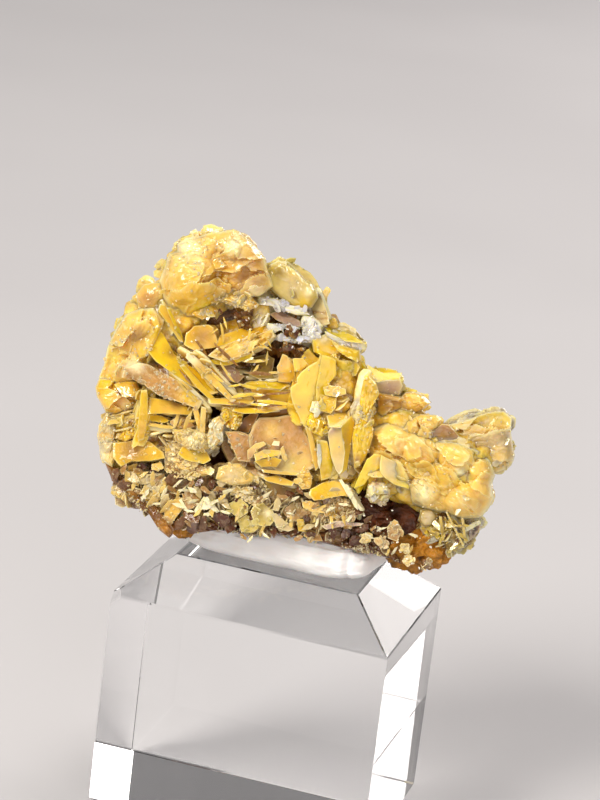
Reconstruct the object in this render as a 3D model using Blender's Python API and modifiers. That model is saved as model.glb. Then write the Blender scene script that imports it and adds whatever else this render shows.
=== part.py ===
"""Wulfenite on limonite, set in white putty on a bevelled acrylic block.

The frame's origin is the centre of the block's underside, with +Z up and the block's sides along X and Y.
The specimen has a frame of its own: across its face (u), into its depth (d) and up its face (v), measured
from the block's axis at the foot of the bevels. The empty named specimen turns and leans that frame.
"""

import math
import random
from typing import NamedTuple

import bmesh
import bpy
from mathutils import Euler, Matrix, Vector, noise

MM = 0.001

BLOCK_WIDTH = 28.5 * MM
BLOCK_DEPTH = 20.5 * MM
BLOCK_HEIGHT = 26.0 * MM
BEVEL_INSET = 4.9 * MM
BEVEL_DROP = 3.8 * MM
SHOULDER_HEIGHT = BLOCK_HEIGHT - BEVEL_DROP
EDGE_BREAK = 0.12 * MM
CORNER_NICK = 1.1 * MM

SEAM = 0.3 * MM
SPECIMEN_TURN = math.radians(15.0)
SPECIMEN_LEAN = math.radians(18.5)
SPECIMEN_FORWARD = 3.4
UPRIGHT = 0.13
EYE_DISTANCE = 300.0
SIGHT_U, SIGHT_V = -0.2, 19.2
RIM_BEVEL = 0.28
PLAIN_UNDER = 1.6 * MM
BEVELLED_OVER = 1.15 * MM

PUTTY_WIDTH = 17.8 * MM
PUTTY_DEPTH = 8.2 * MM
PUTTY_HEIGHT = 3.8 * MM
PUTTY_ROUND = 1.2 * MM
PUTTY_WAVE = 0.5 * MM
PUTTY_WAVE_LENGTH = 4.0 * MM
PUTTY_UNDER_ROCK = 0.9 * MM

SLIVER = 0.004 * MM

ROCK_ROUGH = 0.2
CRUST_ROUGH = 0.12
SPRINKLE_SIZE = 2.1

ROUND, SCALLOPED, TABULAR = 2.0, 2.6, 5.0
GOLDEN_ANGLE = math.pi * (3.0 - math.sqrt(5.0))


class Finish(NamedTuple):
    """A plain surface: its colour, how rough it is and how much light goes through."""

    color: tuple
    roughness: float
    transmission: float = 0.0


FINISHES = {
    "acrylic": Finish((0.93, 0.94, 0.95), 0.03, 1.0),
    "putty": Finish((0.86, 0.83, 0.82), 0.6),
    "limonite": Finish((0.25, 0.11, 0.035), 0.45),
    "honey": Finish((0.82, 0.60, 0.17), 0.3, 0.2),
    "lemon": Finish((0.88, 0.72, 0.12), 0.25, 0.2),
    "cream": Finish((0.86, 0.74, 0.40), 0.35, 0.2),
    "pale": Finish((0.80, 0.77, 0.50), 0.25, 0.4),
    "peach": Finish((0.80, 0.56, 0.30), 0.45),
    "tan": Finish((0.66, 0.54, 0.31), 0.5),
}


class Crystal(NamedTuple):
    """A tabular crystal. Lengths are in millimetres and turns in degrees.

    angle is the way its length runs across the face, tip turns it about its length (0 faces the viewer,
    90 shows only its edge, below 0 shows its upper side) and swing takes its right end back.
    square is the outline's exponent: 2 is round, 5 nearly square.
    """

    u: float
    v: float
    d: float
    length: float
    width: float
    thick: float
    angle: float
    tip: float
    swing: float = 0.0
    square: float = SCALLOPED


class Lump(NamedTuple):
    """A rounded mass, by its centre and half sizes across, into the depth and up, in millimetres."""

    u: float
    d: float
    v: float
    across: float
    deep: float
    up: float
    level: int = 2


class Cluster(NamedTuple):
    """Crystals that grew together on a root of the same mineral, and how many small ones dot each lump."""

    finish: str
    roots: list
    crystals: list
    sprinkle: int = 0


ROCK = [
    Lump(-1.0, 2.6, 9.6, 16.4, 6.0, 4.8, 3),
    Lump(-7.5, 3.0, 20.0, 10.2, 4.4, 10.0, 3),
    Lump(11.2, 1.6, 12.4, 7.4, 4.4, 5.2),
    Lump(12.9, -2.2, 6.3, 4.2, 3.4, 2.9),
    Lump(-11.0, -2.6, 5.6, 2.3, 2.4, 1.5, 1),
    Lump(9.6, -2.6, 8.6, 4.2, 3.0, 2.8),
    Lump(2.2, 2.4, 20.4, 4.6, 3.4, 5.4, 1),
    Lump(-2.2, -1.0, 25.8, 2.6, 2.2, 2.8, 1),
]

CLUSTERS = {
    "upper_left_crust": Cluster(
        "cream",
        [
            Lump(-11.4, -0.8, 30.2, 4.0, 2.3, 3.9),
            Lump(-16.4, -0.4, 22.0, 3.2, 2.4, 5.6, 1),
            Lump(-8.0, -0.2, 30.6, 3.0, 2.0, 3.2, 1),
            Lump(-13.6, -2.0, 25.6, 3.2, 1.8, 3.2, 1),
        ],
        [
            Crystal(-12.5, 30.0, -3.3, 6.6, 5.9, 1.4, 75, -12, 0, ROUND),
            Crystal(-10.6, 33.2, -1.8, 6.0, 3.8, 1.4, 10, -14, 0, ROUND),
            Crystal(-13.2, 32.6, -1.2, 3.0, 2.8, 1.1, 30, -6, 10),
            Crystal(-7.6, 31.9, -2.1, 5.6, 4.8, 1.3, -52, -10, 18),
            Crystal(-16.0, 27.5, -1.6, 4.2, 3.4, 1.2, 20, -8, -15),
            Crystal(-17.1, 22.6, -2.0, 7.4, 5.5, 1.4, 78, -4, -22, ROUND),
            Crystal(-18.0, 17.9, -1.9, 4.8, 4.2, 1.3, 60, -12, -20, ROUND),
            Crystal(-12.4, 26.7, -3.2, 3.8, 2.6, 0.9, -20, -30, 0),
            Crystal(-14.1, 25.1, -3.8, 4.6, 2.6, 0.6, -58, 72, 0, TABULAR),
            Crystal(-15.4, 21.8, -3.0, 4.8, 3.0, 1.0, 70, 20, 0),
            Crystal(-9.2, 28.6, -2.4, 3.2, 1.9, 0.8, -14, -24, 0),
        ],
    ),
    "upper_right_plates": Cluster(
        "pale",
        [Lump(-0.6, 0.2, 28.4, 3.8, 2.0, 2.4, 1), Lump(2.6, -0.4, 25.2, 2.6, 1.8, 2.0, 1)],
        [
            Crystal(-2.1, 30.2, -0.6, 7.2, 4.2, 0.9, -38, -14, 8),
            Crystal(0.8, 28.7, -1.2, 3.6, 2.4, 0.5, -62, 70, 0, TABULAR),
            Crystal(0.9, 29.8, -0.4, 2.0, 0.7, 0.6, 66, 0, 0, TABULAR),
            Crystal(2.0, 27.2, -0.8, 1.8, 1.5, 0.8, -60, -20, 0),
            Crystal(-4.8, 28.6, -1.4, 4.6, 2.0, 0.8, -16, -30, 0),
            Crystal(-1.2, 28.4, -1.8, 4.2, 1.5, 0.8, -16, -26, 0),
            Crystal(0.2, 25.2, -2.2, 3.4, 1.8, 0.6, -2, -55, 0, TABULAR),
            Crystal(0.7, 26.2, -2.0, 2.8, 1.6, 0.8, 70, -10, 0),
            Crystal(3.7, 25.9, -1.6, 3.8, 2.4, 0.8, -20, -60, 0, TABULAR),
            Crystal(2.9, 24.7, -2.4, 4.8, 3.0, 0.8, -8, -8, 0),
            Crystal(4.4, 23.1, -3.0, 2.9, 2.6, 0.9, 5, -8, 0, TABULAR),
            Crystal(6.9, 22.5, -2.2, 5.4, 3.0, 0.5, 5, -64, 0, TABULAR),
            Crystal(8.3, 21.8, -2.6, 3.2, 1.8, 0.5, -24, -20, 0, TABULAR),
        ],
    ),
    "lemon_blades": Cluster(
        "lemon",
        [Lump(2.8, -3.4, 18.8, 3.2, 2.3, 4.4, 1), Lump(4.0, -4.0, 14.6, 2.8, 1.7, 3.4, 1)],
        [
            Crystal(0.3, 20.4, -5.0, 7.2, 3.2, 0.8, 82, 8, 14),
            Crystal(2.3, 21.8, -4.9, 4.4, 2.4, 0.8, 85, -6, 0),
            Crystal(1.6, 14.9, -5.0, 5.4, 3.0, 0.6, -66, 60, 0, TABULAR),
            Crystal(3.2, 13.7, -5.2, 4.8, 1.7, 0.7, -72, 14, 0, TABULAR),
            Crystal(4.6, 15.2, -5.8, 6.2, 2.0, 1.0, -76, -28, 0, TABULAR),
            Crystal(3.9, 18.0, -5.4, 3.4, 1.5, 0.8, 17, -25, 0, TABULAR),
            Crystal(6.3, 18.0, -4.9, 9.4, 4.0, 1.1, 88, 66, 0),
            Crystal(3.1, 20.5, -5.4, 2.4, 1.3, 0.7, 8, -40, 0),
        ],
    ),
    "right_crust": Cluster(
        "cream",
        [
            Lump(13.8, -2.6, 14.0, 6.0, 2.9, 4.2, 1),
            Lump(9.4, -2.4, 17.4, 3.4, 2.2, 3.2, 1),
            Lump(9.4, -4.0, 13.4, 2.6, 1.3, 2.4, 1),
        ],
        [
            Crystal(9.2, 19.2, -3.0, 4.8, 3.6, 1.0, -5, -10, 0),
            Crystal(11.2, 20.4, -1.6, 3.2, 2.3, 0.9, -10, -10, 12, ROUND),
            Crystal(12.8, 18.1, -3.0, 3.6, 2.8, 1.1, -15, -14, 0, ROUND),
            Crystal(9.2, 16.4, -4.4, 5.0, 2.8, 1.2, -8, -24, 0),
            Crystal(14.8, 17.3, -2.8, 3.2, 2.8, 1.0, -25, -12, 0),
            Crystal(12.8, 15.2, -5.2, 5.6, 2.8, 1.3, -18, -20, 0),
            Crystal(16.4, 15.2, -4.4, 4.8, 2.8, 1.3, 6, -18, 14),
            Crystal(13.6, 12.6, -5.6, 5.2, 3.2, 1.3, -28, -14, 0),
            Crystal(17.2, 12.6, -5.0, 5.2, 3.4, 1.4, 12, -10, 16, ROUND),
            Crystal(15.4, 10.9, -4.8, 4.8, 2.6, 1.3, 2, 8, 0),
            Crystal(18.9, 12.0, -3.0, 4.2, 2.8, 1.3, 75, 0, 30, ROUND),
            Crystal(7.5, 13.0, -5.6, 4.4, 1.7, 0.8, 62, 22, 0, TABULAR),
            Crystal(10.2, 13.3, -5.4, 3.9, 2.2, 0.9, -42, -14, 0, TABULAR),
            Crystal(8.7, 11.2, -5.0, 2.7, 2.3, 1.0, 10, -10, 0, ROUND),
        ],
    ),
    "right_fan": Cluster(
        "pale",
        [Lump(17.8, -0.4, 16.6, 2.4, 1.5, 2.0, 1)],
        [
            Crystal(18.2, 18.3, -1.0, 6.4, 4.2, 0.8, 20, -8, 10),
            Crystal(20.1, 16.2, -0.6, 3.9, 3.2, 0.8, 80, -4, 22, ROUND),
        ],
    ),
    "centre_blades": Cluster(
        "honey",
        [Lump(-10.6, -2.2, 21.4, 4.4, 1.7, 3.6, 1), Lump(-4.6, -2.4, 19.2, 4.2, 1.7, 2.2, 1)],
        [
            Crystal(-9.6, 20.5, -5.0, 7.4, 3.0, 0.5, -33, 70, 0, TABULAR),
            Crystal(-11.3, 18.6, -5.0, 5.4, 2.4, 0.5, -37, 70, 0, TABULAR),
            Crystal(-13.0, 21.6, -3.9, 7.2, 2.6, 0.8, -38, -32, 0, TABULAR),
            Crystal(-13.9, 19.3, -4.4, 7.6, 2.4, 0.8, -17, -28, 0),
            Crystal(-10.8, 24.2, -3.4, 3.3, 2.7, 1.1, 5, -14, 0, TABULAR),
            Crystal(-7.0, 23.7, -4.0, 7.2, 2.4, 0.8, 29, -38, 0),
            Crystal(-7.7, 25.6, -2.6, 4.2, 1.5, 0.7, 24, -30, 0, TABULAR),
            Crystal(-7.7, 21.0, -3.6, 3.3, 1.9, 0.7, -14, -20, 0, TABULAR),
            Crystal(-4.2, 21.4, -3.4, 4.4, 2.8, 0.5, 8, -70, 0),
            Crystal(-3.2, 20.3, -3.8, 5.2, 3.0, 0.5, 2, -70, 0),
            Crystal(-3.0, 19.2, -3.6, 4.4, 1.5, 0.8, 4, -6, 0, TABULAR),
            Crystal(-4.6, 18.2, -4.2, 8.6, 3.4, 0.5, 7, -72, 0),
            Crystal(-7.6, 18.3, -4.8, 5.4, 2.0, 0.5, 4, -62, 0),
            Crystal(-1.9, 21.8, -4.0, 2.9, 2.1, 0.7, 80, -10, 0),
            Crystal(-6.9, 16.9, -4.2, 3.0, 2.0, 0.6, -50, 40, 0),
        ],
    ),
    "lower_left_blades": Cluster(
        "honey",
        [Lump(-15.6, -2.4, 14.4, 3.4, 1.9, 2.9, 1), Lump(-10.4, -3.2, 14.2, 2.8, 1.6, 2.3, 1)],
        [
            Crystal(-15.6, 15.8, -4.9, 5.4, 1.6, 0.7, 88, 30, 0, TABULAR),
            Crystal(-12.9, 17.1, -4.0, 5.0, 2.4, 0.7, -4, -46, 0, TABULAR),
            Crystal(-13.6, 15.1, -4.6, 3.6, 2.6, 0.5, 3, -70, 0, TABULAR),
            Crystal(-11.3, 15.5, -4.6, 2.5, 1.6, 0.6, -10, -30, 0, TABULAR),
            Crystal(-9.5, 15.7, -5.0, 3.0, 1.8, 0.4, 85, 62, 0, TABULAR),
            Crystal(-8.1, 14.9, -4.9, 3.8, 2.0, 0.6, 66, 52, 0),
            Crystal(-10.6, 13.5, -5.0, 3.8, 2.6, 0.8, 20, -14, 0),
            Crystal(-18.2, 13.1, -2.4, 5.2, 3.4, 1.2, 85, -6, -24, ROUND),
            Crystal(-17.4, 15.4, -3.8, 3.4, 2.2, 0.5, 12, -70, 0, TABULAR),
            Crystal(-15.8, 12.4, -4.4, 4.6, 2.3, 0.8, 5, -22, 0, TABULAR),
            Crystal(-17.2, 11.2, -3.4, 3.0, 2.2, 0.7, -30, 10, 0, TABULAR),
        ],
    ),
    "peach_plates": Cluster(
        "peach",
        [Lump(-2.2, -3.6, 13.8, 3.8, 1.3, 2.6, 1)],
        [
            Crystal(-1.7, 15.0, -4.7, 6.6, 5.2, 0.7, -12, -14, 0, TABULAR),
            Crystal(-6.0, 13.4, -4.3, 3.5, 2.1, 0.7, -52, -10, 0, TABULAR),
            Crystal(-2.8, 13.6, -5.7, 2.8, 1.5, 0.6, 20, -36, 0),
            Crystal(-2.5, 12.6, -5.7, 3.0, 1.7, 0.5, 8, -50, 0),
            Crystal(-0.3, 12.7, -5.2, 3.8, 1.7, 0.6, -5, -16, 0, TABULAR),
            Crystal(-1.5, 11.4, -5.0, 4.2, 2.4, 0.5, -10, -62, 0, TABULAR),
        ],
    ),
    "lower_druse": Cluster(
        "tan",
        [
            Lump(-13.2, -2.4, 8.8, 4.2, 2.0, 2.5, 1),
            Lump(-7.8, -3.4, 8.6, 4.0, 1.5, 2.6, 1),
            Lump(-1.8, -3.6, 8.0, 4.0, 1.4, 2.4, 1),
            Lump(3.4, -3.4, 8.6, 3.2, 1.6, 2.6, 1),
        ],
        [
            Crystal(-6.1, 10.9, -4.9, 3.4, 2.4, 0.7, 4, -12, 0, TABULAR),
            Crystal(3.7, 10.9, -4.9, 3.6, 2.0, 0.7, 16, -20, 0, TABULAR),
            Crystal(6.0, 10.1, -4.9, 3.9, 1.6, 0.5, -52, 50, 0, TABULAR),
            Crystal(-5.2, 7.6, -4.8, 3.0, 2.0, 0.6, -15, -14, 0, TABULAR),
            Crystal(-2.7, 7.2, -4.9, 3.0, 2.2, 0.6, -30, 10, 0, TABULAR),
            Crystal(-0.2, 8.1, -4.9, 3.0, 1.5, 0.5, -22, -30, 0, TABULAR),
            Crystal(2.6, 7.3, -4.8, 3.6, 1.5, 0.5, -12, -30, 0, TABULAR),
            Crystal(-11.5, 6.8, -4.0, 2.6, 1.7, 0.7, 80, 10, 0, TABULAR),
            Crystal(-8.6, 8.2, -5.0, 3.2, 1.3, 0.5, -42, 30, 0, TABULAR),
        ],
        sprinkle=4,
    ),
    "boxwork_druse": Cluster(
        "pale",
        [Lump(16.4, -2.8, 8.2, 2.3, 2.0, 2.0, 1)],
        [
            Crystal(14.2, 9.0, -4.0, 3.0, 2.4, 0.6, 60, 30, 0, TABULAR),
            Crystal(16.6, 8.6, -4.6, 3.8, 2.0, 0.5, -52, 60, 0, TABULAR),
            Crystal(15.4, 7.7, -4.6, 3.4, 2.0, 0.5, 20, -66, 0, TABULAR),
            Crystal(17.5, 7.4, -4.2, 2.8, 2.0, 0.6, 72, 44, 0, TABULAR),
            Crystal(18.3, 9.0, -3.2, 3.0, 2.0, 0.7, 40, -10, 20, TABULAR),
        ],
        sprinkle=4,
    ),
    "back_druse": Cluster(
        "honey",
        [Lump(-7.0, 6.8, 21.0, 5.2, 1.5, 5.2, 1)],
        [
            Crystal(-5.2, 22.6, 8.0, 4.6, 3.4, 0.8, -40, 168, 0, TABULAR),
            Crystal(-9.2, 19.6, 8.0, 4.8, 3.4, 0.8, 70, 200, 0),
            Crystal(-5.8, 18.4, 7.8, 3.8, 2.8, 0.7, 10, 215, 0, TABULAR),
            Crystal(-7.2, 21.4, 8.4, 4.4, 3.0, 0.6, -65, 115, 0, TABULAR),
        ],
    ),
}


def clear_scene():
    for obj in list(bpy.data.objects):
        bpy.data.objects.remove(obj)


def collection(name, parent):
    made = bpy.data.collections.new(name)
    parent.children.link(made)
    return made


def material(name):
    finish = FINISHES[name]
    made = bpy.data.materials.get(name) or bpy.data.materials.new(name)
    made.use_nodes = True
    shader = made.node_tree.nodes["Principled BSDF"]
    shader.inputs["Base Color"].default_value = (*finish.color, 1.0)
    shader.inputs["Roughness"].default_value = finish.roughness
    shader.inputs["Metallic"].default_value = 0.0
    shader.inputs["Transmission Weight"].default_value = finish.transmission
    return made


def new_object(name, mesh, home, parent=None):
    obj = bpy.data.objects.new(name, mesh)
    obj.parent = parent
    home.objects.link(obj)
    return obj


def mesh_from(bm, name):
    mesh = bpy.data.meshes.new(name)
    bm.normal_update()
    bm.to_mesh(mesh)
    bm.free()
    return mesh


def outline_reach(square, seed, angle):
    """How far an outline reaches at an angle, for half sizes of 1: a superellipse with three slow waves."""
    superellipse = (abs(math.cos(angle)) ** square + abs(math.sin(angle)) ** square) ** (-1.0 / square)
    waves = (
        0.055 * math.cos(2 * angle + 1.7 * seed)
        + 0.050 * math.cos(3 * angle + 2.9 * seed)
        + 0.035 * math.cos(5 * angle + 4.1 * seed)
    )
    return superellipse * (1.0 + waves)


def place(u, d, v):
    """A place in the specimen's frame, in metres.

    The whole stands SPECIMEN_FORWARD nearer than it is listed, and UPRIGHT more for each millimetre of
    height. What comes nearer would look larger from EYE_DISTANCE, so it is drawn in to the line of sight.
    """
    near = SPECIMEN_FORWARD + UPRIGHT * v - d
    shrink = 1.0 - near / EYE_DISTANCE
    return Vector((SIGHT_U + (u - SIGHT_U) * shrink, -near, SIGHT_V + (v - SIGHT_V) * shrink)) * MM


def crystal_frame(crystal):
    """Where a crystal stands in the specimen's frame: its length on X, its width on Y, its face on Z."""
    stand = Matrix.Rotation(math.radians(90), 4, "X")
    tip = Matrix.Rotation(math.radians(crystal.tip), 4, "X")
    swing = Matrix.Rotation(math.radians(crystal.swing), 4, "Z")
    spin = Matrix.Rotation(math.radians(-crystal.angle), 4, "Y")
    return Matrix.Translation(place(crystal.u, crystal.d, crystal.v)) @ spin @ swing @ tip @ stand


def crystal_mesh(crystal, seed, grow):
    """A tablet with sloping rims, or a plain one if it is small, made larger all round by grow."""
    small = crystal.width * MM < PLAIN_UNDER
    sides = 6 if small else 8 if crystal.square > ROUND else 10
    half = Vector((crystal.length, crystal.width, crystal.thick)) * MM / 2
    half += Vector((grow, grow, grow))
    bm = bmesh.new()
    bmesh.ops.create_cone(bm, cap_ends=True, segments=sides, radius1=1, radius2=1, depth=2)
    for vert in bm.verts:
        angle = math.atan2(vert.co.y, vert.co.x)
        reach = outline_reach(crystal.square, seed, angle)
        vert.co.x = math.cos(angle) * reach * half.x
        vert.co.y = math.sin(angle) * reach * half.y
        vert.co.z *= half.z
    if crystal.thick * MM > BEVELLED_OVER:
        rims = [edge for edge in bm.edges if abs(edge.verts[0].co.z - edge.verts[1].co.z) < half.z]
        bmesh.ops.bevel(bm, geom=rims, offset=RIM_BEVEL * 2 * half.z, segments=1, affect="EDGES")
    bm.transform(crystal_frame(crystal))
    return mesh_from(bm, "crystal")


def lump_mesh(lump, rough, grow):
    """A ball pushed in and out by noise, then stretched to the lump's half sizes plus grow."""
    bm = bmesh.new()
    bmesh.ops.create_icosphere(bm, subdivisions=lump.level, radius=1)
    centre = place(lump.u, lump.d, lump.v)
    half = Vector((lump.across, lump.deep, lump.up)) * MM
    for vert in bm.verts:
        way = vert.co.normalized()
        spot = way * 2.1 + Vector((lump.u, lump.d, lump.v))
        swell = 1.0 + rough * (noise.noise(spot) + 0.5 * noise.noise(spot * 2.3))
        out = Vector((way.x * half.x, way.y * half.y, way.z * half.z)) * swell
        vert.co = centre + out + way * grow
    return mesh_from(bm, "lump")


def rest_on_putty(mesh):
    """Lifts what would sink through the putty, to a level plane, which in this frame rises with the depth."""
    bed = (BEVEL_DROP + PUTTY_UNDER_ROCK) / math.cos(SPECIMEN_LEAN)
    for vert in mesh.vertices:
        lowest = bed + vert.co.y * math.tan(SPECIMEN_LEAN)
        vert.co.z = max(vert.co.z, lowest)


def sprinkled(cluster, seed):
    """Small plates over the front of each root, at steps of the golden angle, each turned its own way."""
    chance = random.Random(seed)
    plates = []
    for lump in cluster.roots:
        for count in range(cluster.sprinkle):
            turn = count * GOLDEN_ANGLE + seed
            out = math.sqrt((count + 0.5) / cluster.sprinkle) * 0.92
            u = lump.u + lump.across * out * math.cos(turn)
            v = lump.v + lump.up * out * math.sin(turn)
            d = lump.d - lump.deep * math.sqrt(1.0 - out * out)
            size = SPRINKLE_SIZE * chance.uniform(0.8, 1.25)
            angle, tip = chance.uniform(-90, 90), chance.uniform(-75, 75)
            plates.append(Crystal(u, v, d, size, size * 0.66, 0.45, angle, tip, 0, TABULAR))
    return plates


def helper(mesh, home, parent):
    obj = new_object("helper", mesh, home, parent)
    obj.hide_render = True
    obj.display_type = "WIRE"
    return obj


def boolean(obj, operation, others):
    """Adds an exact Boolean with a collection of objects."""
    modifier = obj.modifiers.new(operation.lower(), "BOOLEAN")
    modifier.operation = operation
    modifier.solver = "EXACT"
    modifier.operand_type = "COLLECTION"
    modifier.collection = others


def largest_body(bm):
    """Drops every loose body but the largest, such as a corner that a seam cut free."""
    left, bodies = set(bm.verts), []
    while left:
        reached = [left.pop()]
        body = set(reached)
        while reached:
            vert = reached.pop()
            for edge in vert.link_edges:
                other = edge.other_vert(vert)
                if other not in body:
                    body.add(other)
                    reached.append(other)
        left -= body
        bodies.append(body)
    bodies.sort(key=len, reverse=True)
    for body in bodies[1:]:
        bmesh.ops.delete(bm, geom=list(body), context="VERTS")


def settle(obj, finish):
    """Replaces an object's mesh by its evaluated one, as one clean body with flat faces."""
    bpy.context.view_layer.update()
    graph = bpy.context.evaluated_depsgraph_get()
    bm = bmesh.new()
    bm.from_mesh(obj.evaluated_get(graph).to_mesh())
    largest_body(bm)
    bmesh.ops.dissolve_degenerate(bm, dist=SLIVER, edges=bm.edges)
    obj.modifiers.clear()
    obj.data = mesh_from(bm, obj.name)
    obj.data.materials.clear()
    obj.data.materials.append(material(finish))


def build_block(home):
    """A box whose top is drawn in to four sloping bevels, with one front corner nicked."""
    bm = bmesh.new()
    bmesh.ops.create_cube(bm, size=1)
    bmesh.ops.scale(bm, vec=(BLOCK_WIDTH, BLOCK_DEPTH, SHOULDER_HEIGHT), verts=bm.verts)
    bmesh.ops.translate(bm, vec=(0, 0, SHOULDER_HEIGHT / 2), verts=bm.verts)
    top = max(bm.faces, key=lambda face: face.calc_center_median().z)
    raised = bmesh.ops.extrude_face_region(bm, geom=[top])
    bmesh.ops.delete(bm, geom=[top], context="FACES")
    for vert in [part for part in raised["geom"] if isinstance(part, bmesh.types.BMVert)]:
        vert.co.x -= math.copysign(BEVEL_INSET, vert.co.x)
        vert.co.y -= math.copysign(BEVEL_INSET, vert.co.y)
        vert.co.z += BEVEL_DROP
    shoulder = [vert for vert in bm.verts if abs(vert.co.z - SHOULDER_HEIGHT) < EDGE_BREAK]
    nicked = min(shoulder, key=lambda vert: vert.co.x + vert.co.y)
    bmesh.ops.bevel(bm, geom=[nicked], offset=CORNER_NICK, segments=1, affect="VERTICES")
    block = new_object("acrylic_block", mesh_from(bm, "acrylic_block"), home)
    block.data.materials.append(material("acrylic"))
    edges = block.modifiers.new("broken_edges", "BEVEL")
    edges.width = EDGE_BREAK
    edges.segments = 1


def join(name, parts, cutters, finish, home, specimen):
    """One node from a collection of overlapping solids, less what each of the cutters holds."""
    first = parts.objects[0]
    parts.objects.unlink(first)
    node = new_object(name, first.data, home, specimen)
    boolean(node, "UNION", parts)
    for cutter in cutters:
        boolean(node, "DIFFERENCE", cutter)
    settle(node, finish)


def build_rock(home, helpers, specimen):
    """The limonite: lumps joined in one stone. The same lumps, grown by the seam, come back as its cutter."""
    joined = collection("rock_parts", helpers)
    cutter = collection("rock_cutter", helpers)
    for grow, target in ((0.0, joined), (SEAM, cutter)):
        for lump in ROCK:
            mesh = lump_mesh(lump, ROCK_ROUGH, grow)
            rest_on_putty(mesh)
            helper(mesh, target, specimen)
    join("limonite_matrix", joined, [], "limonite", home, specimen)
    return cutter


def build_cluster(name, cluster, home, helpers, specimen, cutters):
    """One root with its crystals, cut clear of the stone and of the clusters made before it."""
    seed = list(CLUSTERS).index(name) * 20
    joined = collection(name + "_parts", helpers)
    cutter = collection(name + "_cutter", helpers)
    for grow, target in ((0.0, joined), (SEAM, cutter)):
        for lump in cluster.roots:
            helper(lump_mesh(lump, CRUST_ROUGH, grow), target, specimen)
        for count, crystal in enumerate(cluster.crystals + sprinkled(cluster, seed)):
            helper(crystal_mesh(crystal, seed + count, grow), target, specimen)
    join(name, joined, cutters, cluster.finish, home, specimen)
    return cutter


def build_putty(home, cutters):
    """A pressed strip of putty between the block's top and the stone, which leaves its print in it."""
    bm = bmesh.new()
    bmesh.ops.create_cube(bm, size=1)
    bmesh.ops.scale(bm, vec=(PUTTY_WIDTH, PUTTY_DEPTH, PUTTY_HEIGHT), verts=bm.verts)
    centre = BLOCK_HEIGHT + SEAM + PUTTY_HEIGHT / 2
    bmesh.ops.translate(bm, vec=(0, 0, centre), verts=bm.verts)
    bmesh.ops.bevel(bm, geom=bm.edges[:], offset=PUTTY_ROUND, segments=2, profile=0.5, affect="EDGES")
    for vert in bm.verts:
        spot = vert.co / PUTTY_WAVE_LENGTH
        vert.co.x += PUTTY_WAVE * noise.noise(spot)
        vert.co.y += PUTTY_WAVE * noise.noise(spot + Vector((7, 0, 0)))
    putty = new_object("putty", mesh_from(bm, "putty"), home)
    for cutter in cutters:
        boolean(putty, "DIFFERENCE", cutter)
    settle(putty, "putty")


def main():
    clear_scene()
    home = collection("wulfenite_specimen", bpy.context.scene.collection)
    helpers = collection("helpers", bpy.context.scene.collection)
    helpers.hide_render = True
    specimen = bpy.data.objects.new("specimen", None)
    specimen.rotation_euler = Euler((-SPECIMEN_LEAN, 0, SPECIMEN_TURN))
    specimen.location.z = SHOULDER_HEIGHT
    home.objects.link(specimen)
    build_block(home)
    cutters = [build_rock(home, helpers, specimen)]
    for name, cluster in CLUSTERS.items():
        cutters.append(build_cluster(name, cluster, home, helpers, specimen, cutters))
    build_putty(home, cutters)


main()
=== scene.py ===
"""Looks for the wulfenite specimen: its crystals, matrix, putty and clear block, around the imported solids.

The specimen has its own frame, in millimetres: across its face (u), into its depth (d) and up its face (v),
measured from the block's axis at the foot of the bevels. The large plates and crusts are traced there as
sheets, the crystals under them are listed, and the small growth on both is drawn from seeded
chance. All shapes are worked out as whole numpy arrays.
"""

import logging
import math
from dataclasses import dataclass
from enum import Enum

import bpy
import numpy as np
from mathutils import Matrix, Vector

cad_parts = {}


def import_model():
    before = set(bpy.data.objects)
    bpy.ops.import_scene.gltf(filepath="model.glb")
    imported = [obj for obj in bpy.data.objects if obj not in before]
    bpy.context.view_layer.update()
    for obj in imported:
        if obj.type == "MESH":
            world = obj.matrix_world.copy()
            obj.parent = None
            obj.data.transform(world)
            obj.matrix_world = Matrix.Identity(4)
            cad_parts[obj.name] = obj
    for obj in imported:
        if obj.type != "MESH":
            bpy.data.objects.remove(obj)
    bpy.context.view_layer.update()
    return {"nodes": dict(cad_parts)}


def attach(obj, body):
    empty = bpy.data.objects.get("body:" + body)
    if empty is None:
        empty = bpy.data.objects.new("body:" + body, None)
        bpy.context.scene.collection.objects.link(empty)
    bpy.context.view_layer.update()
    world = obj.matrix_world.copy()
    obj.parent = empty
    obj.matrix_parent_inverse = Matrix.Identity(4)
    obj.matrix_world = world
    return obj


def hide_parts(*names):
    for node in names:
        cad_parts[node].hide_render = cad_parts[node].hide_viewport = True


Array = np.ndarray
MM = 0.001
FULL_TURN = 2.0 * math.pi
LOG = logging.getLogger("wulfenite")


class Tint(Enum):
    """The colours of the specimen's minerals, some also used for painted shade, rim glow and glints, as
    linear red, green and blue.
    """

    LEMON = (0.87, 0.55, 0.022)
    BRIGHT = (0.88, 0.57, 0.006)
    DEEP = (0.70, 0.37, 0.008)
    HONEY = (0.86, 0.53, 0.032)
    AMBER = (0.27, 0.115, 0.018)
    CREAM = (0.86, 0.56, 0.138)
    WAX = (0.84, 0.51, 0.076)
    RIM_AND_HIGHLIGHT = (0.97, 0.86, 0.480)
    GREENISH = (0.66, 0.50, 0.110)
    PALE = (0.68, 0.52, 0.250)
    PEACH = (0.53, 0.275, 0.070)
    TAN = (0.40, 0.21, 0.055)
    OLIVE = (0.34, 0.22, 0.035)
    FROST = (0.99, 0.86, 0.520)
    ICE_AND_GLINT = (1.0, 0.94, 0.800)
    LILAC = (0.46, 0.30, 0.220)
    ORANGE_ROCK = (0.52, 0.22, 0.020)
    RED_ROCK = (0.10, 0.024, 0.006)
    BROWN_ROCK = (0.17, 0.062, 0.016)
    BLACK_ROCK = (0.016, 0.009, 0.007)


class Cut(Enum):
    """The outline of a plate, as the exponent of its superellipse."""

    ROUND = 2.0
    SCALLOPED = 2.6
    TABULAR = 5.0


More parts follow.
